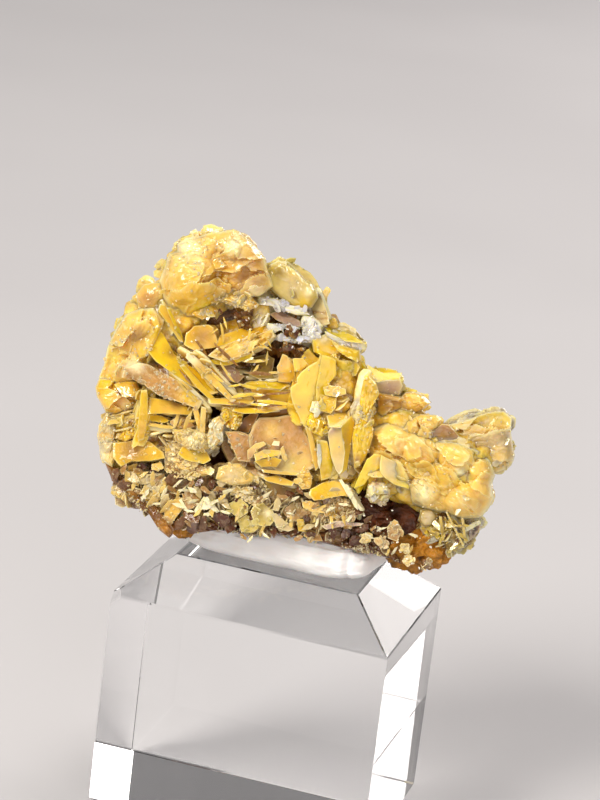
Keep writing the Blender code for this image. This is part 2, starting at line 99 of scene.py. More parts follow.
class Rim(Enum):
    """A plate's section from the middle of its top to the middle of its foot, as (reach, height) pairs."""

    SHARP = (
        (0.0, 1.0), (0.35, 1.0), (0.66, 1.0), (0.86, 1.0), (0.955, 0.95), (1.0, 0.55),
        (1.0, -0.55), (0.955, -0.95), (0.86, -1.0), (0.5, -1.0), (0.0, -1.0),
    )
    STEPPED = (
        (0.0, 1.0), (0.42, 1.0), (0.45, 0.74), (0.68, 0.72), (0.71, 0.50), (0.88, 0.48), (0.91, 0.30),
        (0.97, 0.22), (1.0, -0.1), (1.0, -0.6), (0.95, -1.0), (0.5, -1.0), (0.0, -1.0),
    )
    WAXY = (
        (0.0, 1.0), (0.25, 1.0), (0.46, 0.98), (0.64, 0.93), (0.78, 0.85), (0.88, 0.72), (0.95, 0.52),
        (0.99, 0.25), (1.0, -0.05), (0.98, -0.4), (0.92, -0.72), (0.8, -0.92), (0.5, -1.0), (0.0, -1.0),
    )
    SMALL = ((0.0, 1.0), (0.90, 1.0), (1.0, 0.2), (1.0, -0.4), (0.90, -1.0), (0.0, -1.0))
    GRAIN = ((0.0, 1.0), (1.0, 0.8), (1.0, -0.8), (0.0, -1.0))


@dataclass(frozen=True)
class Stand:
    """How the specimen's frame stands on the block.

    It is turned and leant back to face the photograph's eye. A point's nearness is forward, plus upright
    for each millimetre up, less its depth. What comes nearer would look larger, so it is drawn in to the
    line of sight, at sight_u and sight_v, for an eye so many millimetres away. shoulder is the height of
    the foot of the bevels, and bed the height above it at which the stone lies on the putty.
    """

    turn: float = math.radians(15.0)
    lean: float = math.radians(18.5)
    forward: float = 3.4
    upright: float = 0.13
    eye: float = 300.0
    sight_u: float = -0.2
    sight_v: float = 19.2
    shoulder: float = 22.2
    bed: float = 4.7

    def place(self, u: Array, d: Array, v: Array) -> Array:
        """Places listed millimetres in the specimen's frame, nearer with the height, as (..., 3)."""
        near = self.forward + self.upright * v - d
        shrink = 1.0 - near / self.eye
        across = self.sight_u + (u - self.sight_u) * shrink
        up = self.sight_v + (v - self.sight_v) * shrink
        return np.stack([across, -near, up], axis=-1)

    def world(self, points: Array) -> Array:
        """Turns and leans points of the specimen's frame and gives them in metres."""
        matrix = rotation("Z", np.array(self.turn)) @ rotation("X", np.array(-self.lean))
        return (points @ matrix.T + np.array([0.0, 0.0, self.shoulder])) * MM

    def resting(self, points: Array) -> Array:
        """Lifts what would sink through the putty to a level bed, which rises with the depth."""
        lowest = self.bed / math.cos(self.lean) + points[:, 1] * math.tan(self.lean)
        lifted = points.copy()
        lifted[:, 2] = np.maximum(points[:, 2], lowest)
        return lifted


STAND = Stand()


def rotation(axis: str, angle: Array) -> Array:
    """Rotation matrices about a named axis.

    Args:
        axis: X, Y or Z.
        angle: radians, of any shape.

    Returns:
        The matrices, with two axes more than the angles.
    """
    c, s = np.cos(angle), np.sin(angle)
    made = np.zeros(np.shape(angle) + (3, 3))
    first, second = {"X": (1, 2), "Y": (2, 0), "Z": (0, 1)}[axis]
    third = 3 - first - second
    made[..., first, first] = c
    made[..., second, second] = c
    made[..., first, second] = -s
    made[..., second, first] = s
    made[..., third, third] = 1.0
    return made


def smooth(low: float, high: float, value: Array) -> Array:
    """An S-shaped step from 0 at low to 1 at high: three times the square less twice the cube."""
    t = np.clip((value - low) / (high - low), 0.0, 1.0)
    return t * t * (3.0 - 2.0 * t)


def unit(vectors: Array) -> Array:
    """Vectors at length one."""
    return vectors / np.maximum(np.linalg.norm(vectors, axis=-1, keepdims=True), 1e-9)


class Grain:
    """Gradient noise on whole arrays: slopes at the corners of a lattice, blended by a fifth-power curve."""

    CORNERS = 256
    GAIN = 1.6
    LAYER_SHIFT = 11.3

    def __init__(self, seed: int) -> None:
        """Draws the lattice's slopes from a seed."""
        chance = np.random.default_rng(seed)
        self.order = chance.permutation(self.CORNERS)
        self.slopes = unit(chance.normal(size=(self.CORNERS, 3)))

    def at(self, points: Array) -> Array:
        """The noise at points of shape (..., 3), from about -1 to 1."""
        last = self.CORNERS - 1
        cell = np.floor(points).astype(np.int64)
        inside = points - cell
        blend = inside**3 * (inside * (inside * 6.0 - 15.0) + 10.0)
        total = np.zeros(points.shape[:-1])
        for corner in np.ndindex(2, 2, 2):
            spot = (cell + corner) & last
            key = self.order[(self.order[spot[..., 0]] + spot[..., 1]) & last]
            key = self.order[(key + spot[..., 2]) & last]
            slope = np.einsum("...i,...i->...", self.slopes[key], inside - corner)
            weight = np.prod(np.where(np.array(corner) == 1, blend, 1.0 - blend), axis=-1)
            total += weight * slope
        return total * self.GAIN

    def layered(self, points: Array, size: float, layers: int, fall: float = 0.5) -> Array:
        """Layers of noise, each half the size of the one before and fall times as strong."""
        total = np.zeros(points.shape[:-1])
        for layer in range(layers):
            total += fall**layer * self.at(points * 2**layer / size + self.LAYER_SHIFT * layer)
        return total


@dataclass
class Shape:
    """Points, faces and two painted values: the tint, and how frosty the surface is."""

    points: Array
    quads: Array
    tris: Array
    tint: Array
    frost: Array

    @staticmethod
    def joined(shapes: list["Shape"]) -> "Shape":
        """One shape from several, with the faces' indices moved on."""
        starts = np.cumsum([0] + [len(shape.points) for shape in shapes])
        return Shape(
            np.concatenate([shape.points for shape in shapes]),
            np.concatenate([shape.quads + start for shape, start in zip(shapes, starts)]),
            np.concatenate([shape.tris + start for shape, start in zip(shapes, starts)]),
            np.concatenate([shape.tint for shape in shapes]),
            np.concatenate([shape.frost for shape in shapes]),
        )

    def build(self, name: str, finish: "Finish", crease: float) -> bpy.types.Object:
        """Puts the shape into a mesh object.

        Args:
            name: the piece's name.
            finish: what it is dressed in.
            crease: the angle in degrees past which an edge stays sharp.

        Returns:
            The new object, at the origin.
        """
        mesh = bpy.data.meshes.new(name)
        mesh.vertices.add(len(self.points))
        mesh.vertices.foreach_set("co", self.points.astype(np.float32).ravel())
        corners = np.concatenate([self.quads.ravel(), self.tris.ravel()]).astype(np.int32)
        starts = np.concatenate(
            [np.arange(len(self.quads)) * 4, len(self.quads) * 4 + np.arange(len(self.tris)) * 3]
        ).astype(np.int32)
        mesh.loops.add(len(corners))
        mesh.loops.foreach_set("vertex_index", corners)
        mesh.polygons.add(len(starts))
        mesh.polygons.foreach_set("loop_start", starts)
        mesh.update(calc_edges=True)
        mesh.validate()
        color = mesh.color_attributes.new("tint", "FLOAT_COLOR", "POINT")
        rgba = np.concatenate([self.tint, np.ones((len(self.tint), 1))], axis=1)
        color.data.foreach_set("color", rgba.astype(np.float32).ravel())
        frost = mesh.attributes.new("frost", "FLOAT", "POINT")
        frost.data.foreach_set("value", self.frost.astype(np.float32))
        mesh.shade_smooth()
        mesh.set_sharp_from_angle(angle=math.radians(crease))
        mesh.materials.append(finish.material())
        piece = bpy.data.objects.new(name, mesh)
        bpy.context.scene.collection.objects.link(piece)
        return piece


def grid_faces(rings: int, sectors: int, copies: int) -> tuple[Array, Array]:
    """Faces of closed turned forms: a pole, rings of points, and the other pole, for each copy.

    Args:
        rings: rings of points between the poles.
        sectors: points in a ring.
        copies: how many such forms follow each other.

    Returns:
        Quads between the rings and triangles at the poles, facing out for a top that looks up the axis.
    """
    size = rings * sectors + 2
    turn = np.arange(sectors)
    onward = (turn + 1) % sectors
    row = 1 + np.arange(rings - 1)[:, None] * sectors
    quads = np.stack([row + turn, row + sectors + turn, row + sectors + onward, row + onward], axis=-1)
    first = np.stack([np.zeros(sectors, int), 1 + turn, 1 + onward], axis=-1)
    base = 1 + (rings - 1) * sectors
    last = np.stack([np.full(sectors, size - 1), base + onward, base + turn], axis=-1)
    shift = (np.arange(copies) * size)[:, None, None]
    return (
        (quads.reshape(-1, 4)[None] + shift).reshape(-1, 4),
        (np.concatenate([first, last])[None] + shift).reshape(-1, 3),
    )


@dataclass
class Plates:
    """Many tabular crystals as whole arrays, in the specimen's frame and in millimetres."""

    centre: Array
    axes: Array
    half: Array
    square: Array
    tint: Array
    pale: Array
    frost: Array
    curl: Array

    SLOW_WAVES = ((2, 0.05), (3, 0.05), (5, 0.035))
    RAGGED_TURNS = (7, 11, 19)
    WANDER = 0.12
    RIPPLE = 2.2
    CURL_LEVEL = 0.3
    RIM_START = 0.70
    FLANK_START = 0.94
    RIM_SHARE = 0.35
    FLANK_SHARE = 0.45
    RIM_FROST = 0.10

    def __len__(self) -> int:
        """How many crystals there are."""
        return len(self.centre)

    def take(self, index: Array) -> "Plates":
        """The crystals at an index or where a mask is true."""
        return Plates(*(getattr(self, name)[index] for name in self.__dataclass_fields__))

    @staticmethod
    def joined(groups: list["Plates"]) -> "Plates":
        """One group from several."""
        names = Plates.__dataclass_fields__
        return Plates(*(np.concatenate([getattr(group, name) for group in groups]) for name in names))

    def outlines(self, angle: Array, ragged: float, phase: Array) -> Array:
        """How far each crystal's outline reaches at each angle, as a share of its half size.

        A superellipse, 1 over the sum of |cos t| and |sin t| to the power n, to the power 1/n, times slow
        waves of 2, 3 and 5 turns and ragged ones of 7 to 19.

        Args:
            angle: the angles round the outline.
            ragged: how deep the ragged waves are, as a share of the reach.
            phase: where each crystal's waves start.

        Returns:
            The reach, one row for each crystal.
        """
        power = self.square[:, None]
        reach = (np.abs(np.cos(angle)) ** power + np.abs(np.sin(angle)) ** power) ** (-1.0 / power)
        slow = sum(
            share * np.cos(turns * angle + phase[:, [k]]) for k, (turns, share) in enumerate(self.SLOW_WAVES)
        )
        fine = sum(
            np.cos(turns * angle + phase[:, [3 + k]]) / (1.0 + 0.3 * k)
            for k, turns in enumerate(self.RAGGED_TURNS)
        )
        return reach * (1.0 + slow) * (1.0 + ragged * fine)

    def ripples(self, along: Array, side: Array, phase: Array) -> Array:
        """Three slanted sines over each crystal's face, given where its points lie along and across it."""
        return sum(
            np.sin(
                (self.RIPPLE + k) * along * np.cos(phase[:, [7 + k]])
                + (self.RIPPLE + k) * side * np.sin(phase[:, [7 + k]])
                + phase[:, [10]]
            )
            / (1.0 + k)
            for k in range(3)
        )

    def shape(self, rim: Rim, sectors: int, ragged: float, relief: float, seed: int) -> Shape:
        """The crystals' meshes: a section carried round each outline, bent by its curl and rippled.

        Args:
            rim: the section.
            sectors: points round the outline.
            ragged: how deep the small waves of the outline are, as a share of its reach.
            relief: how high the face's ripples are, as a share of its thickness.
            seed: where chance starts.

        Returns:
            One shape that holds them all.
        """
        chance = np.random.default_rng(seed)
        count = len(self)
        section = np.array(rim.value)
        rho, height = section[1:-1, 0], section[1:-1, 1]
        angle = np.linspace(0.0, FULL_TURN, sectors, endpoint=False)
        phase = chance.uniform(0.0, FULL_TURN, (count, 12))
        wander = self.WANDER * (1.0 - rho[:, None]) * np.cos(3 * angle + phase[:, [6]])[:, None, :]
        spread = rho[None, :, None] * self.outlines(angle, ragged, phase)[:, None, :] * (1.0 + wander)
        x = spread * np.cos(angle) * self.half[:, 0, None, None]
        y = spread * np.sin(angle) * self.half[:, 1, None, None]
        z = np.broadcast_to(height[None, :, None] * self.half[:, 2, None, None], x.shape)
        pole = np.zeros((count, 1))
        top, foot = section[0, 1] * self.half[:, [2]], section[-1, 1] * self.half[:, [2]]
        x = np.concatenate([pole, x.reshape(count, -1), pole], axis=1)
        y = np.concatenate([pole, y.reshape(count, -1), pole], axis=1)
        z = np.concatenate([top, z.reshape(count, -1), foot], axis=1)
        along = x / self.half[:, [0]]
        side = y / self.half[:, [1]]
        bend = self.curl[:, None] * (along**2 - self.CURL_LEVEL)
        z += relief * self.half[:, [2]] * self.ripples(along, side, phase) + bend
        local = np.stack([x, y, z], axis=-1)
        points = np.einsum("nij,npj->npi", self.axes, local) + self.centre[:, None, :]
        # Pale rims and flanks, by pale: partly the crystals' paler edges, partly painted rim glow and
        # highlight.
        edge, flank = (
            np.concatenate([[0.0], np.repeat(smooth(start, 1.0, rho), sectors), [0.0]])
            for start in (self.RIM_START, self.FLANK_START)
        )
        share = np.clip(
            self.pale[:, None] * (self.RIM_SHARE * edge + self.FLANK_SHARE * flank), 0.0, 1.0
        )[..., None]
        tint = self.tint[:, None, :] * (1.0 - share) + np.array(Tint.RIM_AND_HIGHLIGHT.value) * share
        frost = np.clip(self.frost[:, None] + self.RIM_FROST * edge[None], 0.0, 1.0)
        quads, tris = grid_faces(len(rho), sectors, count)
        return Shape(points.reshape(-1, 3), quads, tris, tint.reshape(-1, 3), frost.reshape(-1))


@dataclass(frozen=True)
class Crystal:
    """One listed plate. angle runs its length across the face, tip turns it about that length.

    tip is 0 where its face looks at the viewer, 90 where only its edge does, and below 0 where its upper
    side shows. swing takes its right end back. pale is how white its rim is, partly painted rim glow.
    """

    u: float
    v: float
    d: float
    length: float
    width: float
    thick: float
    angle: float
    tip: float
    swing: float = 0.0
    cut: Cut = Cut.SCALLOPED
    tint: Tint = Tint.HONEY
    pale: float = 0.8
    frost: float = 0.1
    curl: float = 0.0
    stack: int | None = None


@dataclass(frozen=True)
class Lump:
    """A rounded mass by its centre and half sizes across, into the depth and up."""

    u: float
    d: float
    v: float
    across: float
    deep: float
    up: float
    tint: Tint = Tint.BROWN_ROCK


def lump_arrays(lumps: list[Lump]) -> tuple[Array, Array, Array]:
    """The centres, half sizes and tints of rounded masses, one row for each."""
    return (
        np.array([STAND.place(lump.u, lump.d, lump.v) for lump in lumps]),
        np.array([[lump.across, lump.deep, lump.up] for lump in lumps]),
        np.array([lump.tint.value for lump in lumps]),
    )


def blank_plates(centre: Array, tint: Array, pale: float, frost: float) -> Plates:
    """Plates at their places, to be given a size and a turn."""
    blank = np.zeros(len(centre))
    axes, half = np.zeros((len(centre), 3, 3)), np.ones((len(centre), 3))
    return Plates(centre, axes, half, blank, tint, blank + pale, blank + frost, blank)


def plates_from(crystals: list[Crystal]) -> Plates:
    """Lists of crystals as arrays, each turned by its angles."""

    def column(name: str) -> Array:
        return np.array([getattr(crystal, name) for crystal in crystals], float)

    axes = (
        rotation("Y", np.radians(-column("angle")))
        @ rotation("Z", np.radians(column("swing")))
        @ rotation("X", np.radians(column("tip") + 90.0))
    )
    return Plates(
        STAND.place(column("u"), column("d"), column("v")),
        axes,
        np.stack([column("length"), column("width"), column("thick")], axis=-1) / 2.0,
        np.array([crystal.cut.value for crystal in crystals]),
        np.array([crystal.tint.value for crystal in crystals]),
        column("pale"),
        column("frost"),
        column("curl"),
    )


def stacked(parents: Plates, each: Array, spread: float, twirl: float, seed: int) -> Plates:
    """Parallel growth: smaller plates that lie beside each parent, a little turned.

    Args:
        parents: the plates they grow on.
        each: how many, for each parent.
        spread: how far they sit along the parent's normal, in its thicknesses.
        twirl: how far they turn in the parent's plane, in degrees.
        seed: where chance starts.

    Returns:
        The new plates.
    """
    aside, tilt, thinner = 0.42, 7.0, 0.8
    chance = np.random.default_rng(seed)
    grown = parents.take(np.repeat(np.arange(len(parents)), each))
    count = len(grown)
    shift = chance.uniform(-1.0, 1.0, (count, 3)) * np.array([aside, aside, spread])
    grown.centre = grown.centre + np.einsum("nij,nj->ni", grown.axes, shift * grown.half)
    grown.axes = grown.axes @ tumbled(tilt, chance.normal(0, math.radians(twirl), count), chance)
    grown.half = grown.half * (chance.uniform(0.4, 0.85, (count, 1)) * np.array([[1.0, 1.0, thinner]]))
    grown.tint = np.clip(grown.tint * chance.uniform(0.88, 1.1, (count, 1)), 0.0, 1.0)
    return grown


def on_faces(
    parents: Plates, count: int, size: tuple[float, float], slim: float, turn: float, seed: int
) -> Plates:
    """Small plates seated on the faces and rims of others.

    Args:
        parents: the plates they sit on, chosen by their area.
        count: how many.
        size: the least and the greatest length.
        slim: thickness as a share of the length.
        turn: how far they turn out of the parent's lie, in degrees.
        seed: where chance starts.

    Returns:
        The new plates.
    """
    on_top = 0.8
    chance = np.random.default_rng(seed)
    area = parents.half[:, 0] * parents.half[:, 1]
    grown = parents.take(chance.choice(len(parents), count, p=area / area.sum()))
    angle = chance.uniform(0.0, FULL_TURN, count)
    out = np.sqrt(chance.uniform(0.05, 1.1, count))
    level = np.where(chance.uniform(size=count) < on_top, 1.0, -1.0)
    spot = np.stack([out * np.cos(angle), out * np.sin(angle), level], axis=-1) * grown.half
    grown.centre = grown.centre + np.einsum("nij,nj->ni", grown.axes, spot)
    lie = grown.axes
    grown = with_sizes(grown, size, slim, chance)
    grown.axes = lie @ tumbled(turn, chance.uniform(0.0, FULL_TURN, count), chance)
    return grown


def tumbled(turn: float, twirl: Array, chance: np.random.Generator) -> Array:
    """Rotations by normal chance about both cross axes, after a given turn in the plane.

    Args:
        turn: the spread of the chance, in degrees.
        twirl: the turns in the plane, in radians.
        chance: what draws them.

    Returns:
        One matrix for each turn.
    """
    tilt = np.radians(chance.normal(0, turn, (2, len(twirl))))
    return rotation("X", tilt[0]) @ rotation("Y", tilt[1]) @ rotation("Z", twirl)


def with_sizes(
    grown: Plates, size: tuple[float, float], slim: float, chance: np.random.Generator
) -> Plates:
    """Gives plates a drawn size, a free turn and a drawn strength of tint, and leaves their places.

    Args:
        grown: the plates, which are changed.
        size: the least and the greatest length.
        slim: thickness as a share of the length.
        chance: what draws the sizes.

    Returns:
        The same plates.
    """
    count = len(grown)
    length = chance.uniform(size[0], size[1], count)
    width = length * chance.uniform(0.35, 1.0, count)
    thick = length * slim * chance.uniform(0.6, 1.5, count)
    grown.half = np.stack([length, width, thick], axis=-1) / 2.0
    grown.axes = facing(unit(chance.normal(size=(count, 3))), chance)
    grown.square = np.full(count, Cut.TABULAR.value)
    grown.tint = np.clip(grown.tint * chance.uniform(0.8, 1.15, (count, 1)), 0.0, 1.0)
    grown.curl = np.zeros(count)
    return grown


def facing(normal: Array, chance: np.random.Generator) -> Array:
    """Axes whose third column is the normal, with the length drawn at random across it."""
    length = unit(np.cross(normal, chance.normal(size=normal.shape)))
    return np.stack([length, np.cross(normal, length), normal], axis=-1)


def on_lumps(
    lumps: list[Lump],
    main: Plates,
    count: int,
    size: tuple[float, float],
    slim: float,
    turn: float,
    front: float,
    seed: int,
) -> Plates:
    """Small blades that stand on rounded masses, each in the lie of the nearest listed crystal.

    Args:
        lumps: what they stand on, chosen by their size.
        main: the listed crystals.
        count: how many.
        size: the least and the greatest length.
        slim: thickness as a share of the length.
        turn: how far they turn out of that lie, in degrees.
        front: how far towards the viewer a place must lie, from -1 for all round to 1.
        seed: where chance starts.

    Returns:
        The new plates.
    """
    pale, frost, twirl = 0.8, 0.25, 0.6
    chance = np.random.default_rng(seed)
    middle, half, paint = lump_arrays(lumps)
    share = half[:, 0] * half[:, 2]
    pick = chance.choice(len(lumps), count, p=share / share.sum())
    way = unit(chance.normal(size=(count, 3)))
    way[:, 1] = np.where(way[:, 1] > -front, -way[:, 1], way[:, 1])
    centre = middle[pick] + way * half[pick]
    grown = with_sizes(blank_plates(centre, paint[pick], pale, frost), size, slim, chance)
    near = np.linalg.norm(centre[:, None, :] - main.centre, axis=2).argmin(axis=1)
    grown.axes = main.axes[near] @ tumbled(turn, chance.normal(0, twirl, count), chance)
    share = chance.uniform(0.2, 0.9, (count, 1))
    grown.tint = grown.tint * (1.0 - share) + main.tint[near] * share
    return grown


def facets(way: Array, count: int, seed: int) -> Array:
    """How far a stone of flat faces reaches in each direction.

    Each face is a plane with its own direction and height, and the reach is the least height over the
    cosine between the two.

    Args:
        way: unit directions.
        count: how many faces.
        seed: where chance starts.

    Returns:
        The reach, 1 at most a little over.
    """
    lowest, grazing, never, furthest = 0.74, 0.2, 9.0, 1.08
    chance = np.random.default_rng(seed)
    cosine = way @ unit(chance.normal(size=(count, 3))).T
    height = chance.uniform(lowest, 1.0, count)
    reach = np.where(cosine > grazing, height / np.maximum(cosine, grazing), never)
    return np.minimum(reach.min(axis=1), furthest)


def ball(rows: int) -> Array:
    """Directions to the points of a ball whose poles lie left and right: a pole, the rings and a pole."""
    polar = np.linspace(0.0, math.pi, rows + 2)[1:-1]
    turn = np.linspace(0.0, FULL_TURN, 2 * rows, endpoint=False)
    ring = np.stack(
        [
            np.broadcast_to(np.cos(polar)[:, None], (rows, 2 * rows)),
            np.sin(polar)[:, None] * np.cos(turn),
            np.sin(polar)[:, None] * np.sin(turn),
        ],
        axis=-1,
    )
    return np.concatenate([[[1.0, 0.0, 0.0]], ring.reshape(-1, 3), [[-1.0, 0.0, 0.0]]])


def worked_rock(spots: Array, grain: Grain) -> Array:
    """How far rock stands out at each spot: coarse ridges, less deep pits and fine cracks."""
    ridges = grain.layered(spots, 3.0, 4, 0.55) * 0.8
    pits = 1.1 * smooth(0.2, 0.6, grain.at(spots / 1.5 + 40.0))
    cracks = 0.5 * np.abs(grain.layered(spots + 9.0, 1.1, 3, 0.6))
    return ridges - pits - cracks


def lumps_shape(lumps: list[Lump], rows: int, rough: float, grain: Grain, rock: bool) -> Shape:
    """Rounded masses with a worked surface: balls stretched to size and pushed out by layered noise.

    Args:
        lumps: the masses.
        rows: rings between the poles. There are twice as many sectors.
        rough: how far the surface is pushed, in millimetres.
        grain: the noise.
        rock: True for ridges, pits and a level foot, False for soft knobs.

    Returns:
        One shape that holds them all.
    """
    faces, dusting = 60, 0.25
    way = ball(rows)
    shapes = []
    quads, tris = grid_faces(rows, 2 * rows, 1)
    for index, (middle, half, paint) in enumerate(zip(*lump_arrays(lumps))):
        reach = facets(way, faces, index)[:, None] if rock else 1.0
        spots = middle + way * half * reach
        if rock:
            push = worked_rock(spots, grain)
        else:
            push = 1.2 * np.abs(grain.layered(spots, 2.4, 3, 0.5)) - 0.35
        points = spots + unit(way / half) * (rough * push)[:, None]
        if rock:
            points = STAND.resting(points)
        worn = 1.0 + 0.35 * grain.layered(spots + 3.0, 2.2, 2)[:, None]
        tint = np.clip(paint * worn, 0.0, 1.0)
        shapes.append(Shape(points, quads, tris, tint, np.full(len(points), dusting)))
    return Shape.joined(shapes)


CRUST_STEPS = 56


def crust_step(step: int) -> tuple[float, float]:
    """One step of a crust's rounded front, from its middle at 1 to its rim at CRUST_STEPS."""
    share = math.sin(step / CRUST_STEPS * math.pi / 2)
    return share, math.sqrt(1.0 - share**6)


class Section(Enum):
    """A traced sheet's section, as (share of the reach, share of the half thickness) from front to back."""

    PLATE = (
        (0.1, 1.0), (0.2, 1.0), (0.3, 1.0), (0.4, 1.0), (0.5, 1.0), (0.6, 1.0), (0.7, 1.0), (0.8, 1.0),
        (0.88, 1.0), (0.95, 1.0), (0.985, 0.9), (1.0, 0.5), (1.0, -0.5), (0.985, -0.9), (0.9, -1.0),
        (0.5, -1.0),
    )
    CHIP = ((0.5, 1.0), (0.9, 1.0), (1.0, 0.4), (1.0, -0.6), (0.8, -1.0))
    CRUST = tuple(crust_step(step) for step in range(1, CRUST_STEPS + 1)) + (
        (0.985, -0.4), (0.95, -0.7), (0.88, -0.9), (0.75, -1.0), (0.5, -1.0), (0.25, -1.0),
    )


SHEET_SEEDS = 50
CHIP_SECTORS = 8
PLATE_DETAIL = ((2.0, 72), (0.0, 48))
CRUST_DETAIL = ((5.5, 1, 200), (2.2, 2, 120), (0.0, 4, 80))


@dataclass(frozen=True)
class Sheet:
    """One plate or stretch of crust traced round its outline, as it faces the viewer.

    outline is star-shaped about its middle, in millimetres across and up. d is the middle's depth, and
    slopes say how the depth grows per millimetre to the right and upwards. low is a darker tint in the
    hollows, as painted shade. lobes are rounded swellings as (u, v, reach, height), and stains are painted
    spots as (u, v, reach, tint); those in the rim tint are painted highlights. folds is the height of the
    wrinkles, fold is their size and run the way they lie in degrees. chips and sugar count its growth.
    plates counts the flat plates that overlap in it, and plate is the greatest one's reach.
    """

    outline: tuple[tuple[float, float], ...]
    d: float
    slopes: tuple[float, float] = (0.0, 0.0)
    thick: float = 0.4
    tint: Tint = Tint.HONEY
    low: Tint | None = None
    pale: float = 0.8
    frost: float = 0.0
    section: Section = Section.PLATE
    folds: float = 0.05
    fold: float = 2.0
    run: float = 0.0
    lobes: tuple[tuple[float, float, float, float], ...] = ()
    stains: tuple[tuple[float, float, float, Tint], ...] = ()
    chips: int = 0
    sugar: int = 20
    plates: int = 0
    plate: float = 1.6

    def middle(self) -> Array:
        """The middle of the outline's corners."""
        return np.array(self.outline).mean(axis=0)

    def reach(self, angle: Array) -> Array:
        """How far the outline lies in each direction: the nearest crossing of a ray with its sides."""
        corner = np.array(self.outline) - self.middle()
        side = np.roll(corner, -1, axis=0) - corner
        ray = np.stack([np.cos(angle), np.sin(angle)], axis=-1)[:, None, :]
        turned = ray[..., 0] * side[:, 1] - ray[..., 1] * side[:, 0]
        turned = np.where(np.abs(turned) < 1e-9, 1e-9, turned)
        far = (corner[:, 0] * side[:, 1] - corner[:, 1] * side[:, 0]) / turned
        along = (corner[:, 0] * ray[..., 1] - corner[:, 1] * ray[..., 0]) / turned
        hit = (far > 0) & (along >= -1e-6) & (along <= 1.0 + 1e-6)
        return np.where(hit, far, -1.0).max(axis=1)

    def plating(self, u: Array, v: Array, grain: Grain) -> tuple[Array, Array]:
        """Overlapping tilted plates: at each place, the highest of many flat ones with angular outlines.

        Args:
            u: the places across.
            v: the places up.
            grain: the noise that bends the outlines.

        Returns:
            Their height in millimetres, and how near the place is to its plate's edge, from 0 to 0.5.
        """
        if not self.plates:
            return np.zeros_like(u), np.zeros_like(u)
        tilt, bend, longer, slimmer, sunk, fall = 0.2, 0.2, 0.7, 1.2, 0.3, 0.6
        sector = math.pi / 3.0
        chance = np.random.default_rng(self.plates)
        corner = np.array(self.outline)
        middle = chance.uniform(corner.min(axis=0), corner.max(axis=0), (self.plates, 2))
        slope = chance.normal(0.0, tilt, (self.plates, 2))
        far = self.plate * chance.uniform(0.45, 1.0, self.plates)
        lift = chance.uniform(0.0, 0.28, self.plates) * self.plate
        phase = chance.uniform(0.0, FULL_TURN, self.plates)
        spot = np.stack([u, v, np.zeros_like(u)], axis=-1) / self.plate
        sway = np.stack([grain.layered(spot + shift, 0.9, 2) for shift in (0.0, 7.0)], axis=-1)
        away = (np.stack([u, v], axis=-1) + bend * self.plate * sway)[:, None, :] - middle
        lie = math.radians(self.run)
        along = away[..., 0] * math.cos(lie) + away[..., 1] * math.sin(lie)
        across = away[..., 1] * math.cos(lie) - away[..., 0] * math.sin(lie)
        away = np.stack([longer * along, slimmer * across], axis=-1)
        turn = np.arctan2(away[..., 1], away[..., 0])
        reach = far / np.cos((turn + phase) % sector - sector / 2.0)
        share = np.hypot(away[..., 0], away[..., 1]) / reach
        level = lift + (away * slope).sum(axis=-1)
        height = np.where(share < 1.0, level, -sunk * self.plate - fall * (share - 1.0))
        best = height.argmax(axis=1)
        row = np.arange(len(u))
        return height[row, best], 0.5 * smooth(0.8, 1.0, share[row, best]) * (share[row, best] < 1.0)

    def relief(self, u: Array, v: Array, grain: Grain) -> Array:
        """How far the front swells towards the viewer, in millimetres.

        Domes of the lobes, the highest one at each place, with fine rings of growth, over wrinkles that
        are the size of a warped noise, so that they are round on top and creased between.

        Args:
            u: the places across.
            v: the places up.
            grain: the noise.

        Returns:
            The swell at each place.
        """
        longer, warp, fuzz, wobble, ring, rings = 2.2, 0.35, 0.12, 0.12, 0.02, 26.0
        turn = math.radians(self.run)
        flat = np.zeros_like(u)
        along = (u * math.cos(turn) + v * math.sin(turn)) / (self.fold * longer)
        across = (v * math.cos(turn) - u * math.sin(turn)) / self.fold
        spot = np.stack([along, across, flat], axis=-1)
        sway = np.stack([grain.at(spot * 1.3 + 5.0), grain.at(spot * 1.3 + 25.0), flat], axis=-1)
        spot = spot + warp * sway
        height = self.folds * (np.abs(grain.at(spot * 1.7)) + 0.5 * np.abs(grain.at(spot * 3.7)))
        fine = np.stack([u, v, flat], axis=-1)
        height = height + fuzz * self.folds * grain.layered(fine * 2.0, 1.0, 2)
        domes = flat
        for middle_u, middle_v, far, up in self.lobes:
            share = np.hypot(u - middle_u, v - middle_v) / (far * (1.0 + wobble * grain.at(fine / 1.5)))
            dome = up * np.sqrt(np.clip(1.0 - share**2, 0.0, 1.0))
            grown = ring * up * np.sin(rings * share) * (share < 1.0)
            domes = np.maximum(domes, dome + grown)
        return height + domes + self.plating(u, v, grain)[0]

    def points(self, rho: Array, tau: Array, angle: Array, grain: Grain) -> tuple[Array, Array, Array]:
        """Points of the sheet.

        Args:
            rho: their shares of the reach.
            tau: their shares of the half thickness, below 0 behind.
            angle: their directions from the middle.
            grain: the noise.

        Returns:
            The points in the specimen's frame, the relief, and the places across and up.
        """
        ragged = 0.06
        middle = self.middle()
        away = self.reach(angle) * rho
        u = middle[0] + away * np.cos(angle)
        v = middle[1] + away * np.sin(angle)
        fine = np.stack([u, v, np.full_like(u, self.d)], axis=-1)
        uneven = ragged * rho**4 * grain.layered(fine, 0.9, 2)
        u, v = u + uneven * np.cos(angle), v + uneven * np.sin(angle)
        raised = self.relief(u, v, grain) * np.where(tau > 0, 1.0 - rho**8, 0.0)
        d = self.d + self.slopes[0] * (u - middle[0]) + self.slopes[1] * (v - middle[1])
        d = d - self.thick / 2.0 * tau - raised
        return STAND.place(u, d, v), raised, np.stack([u, v], axis=-1)

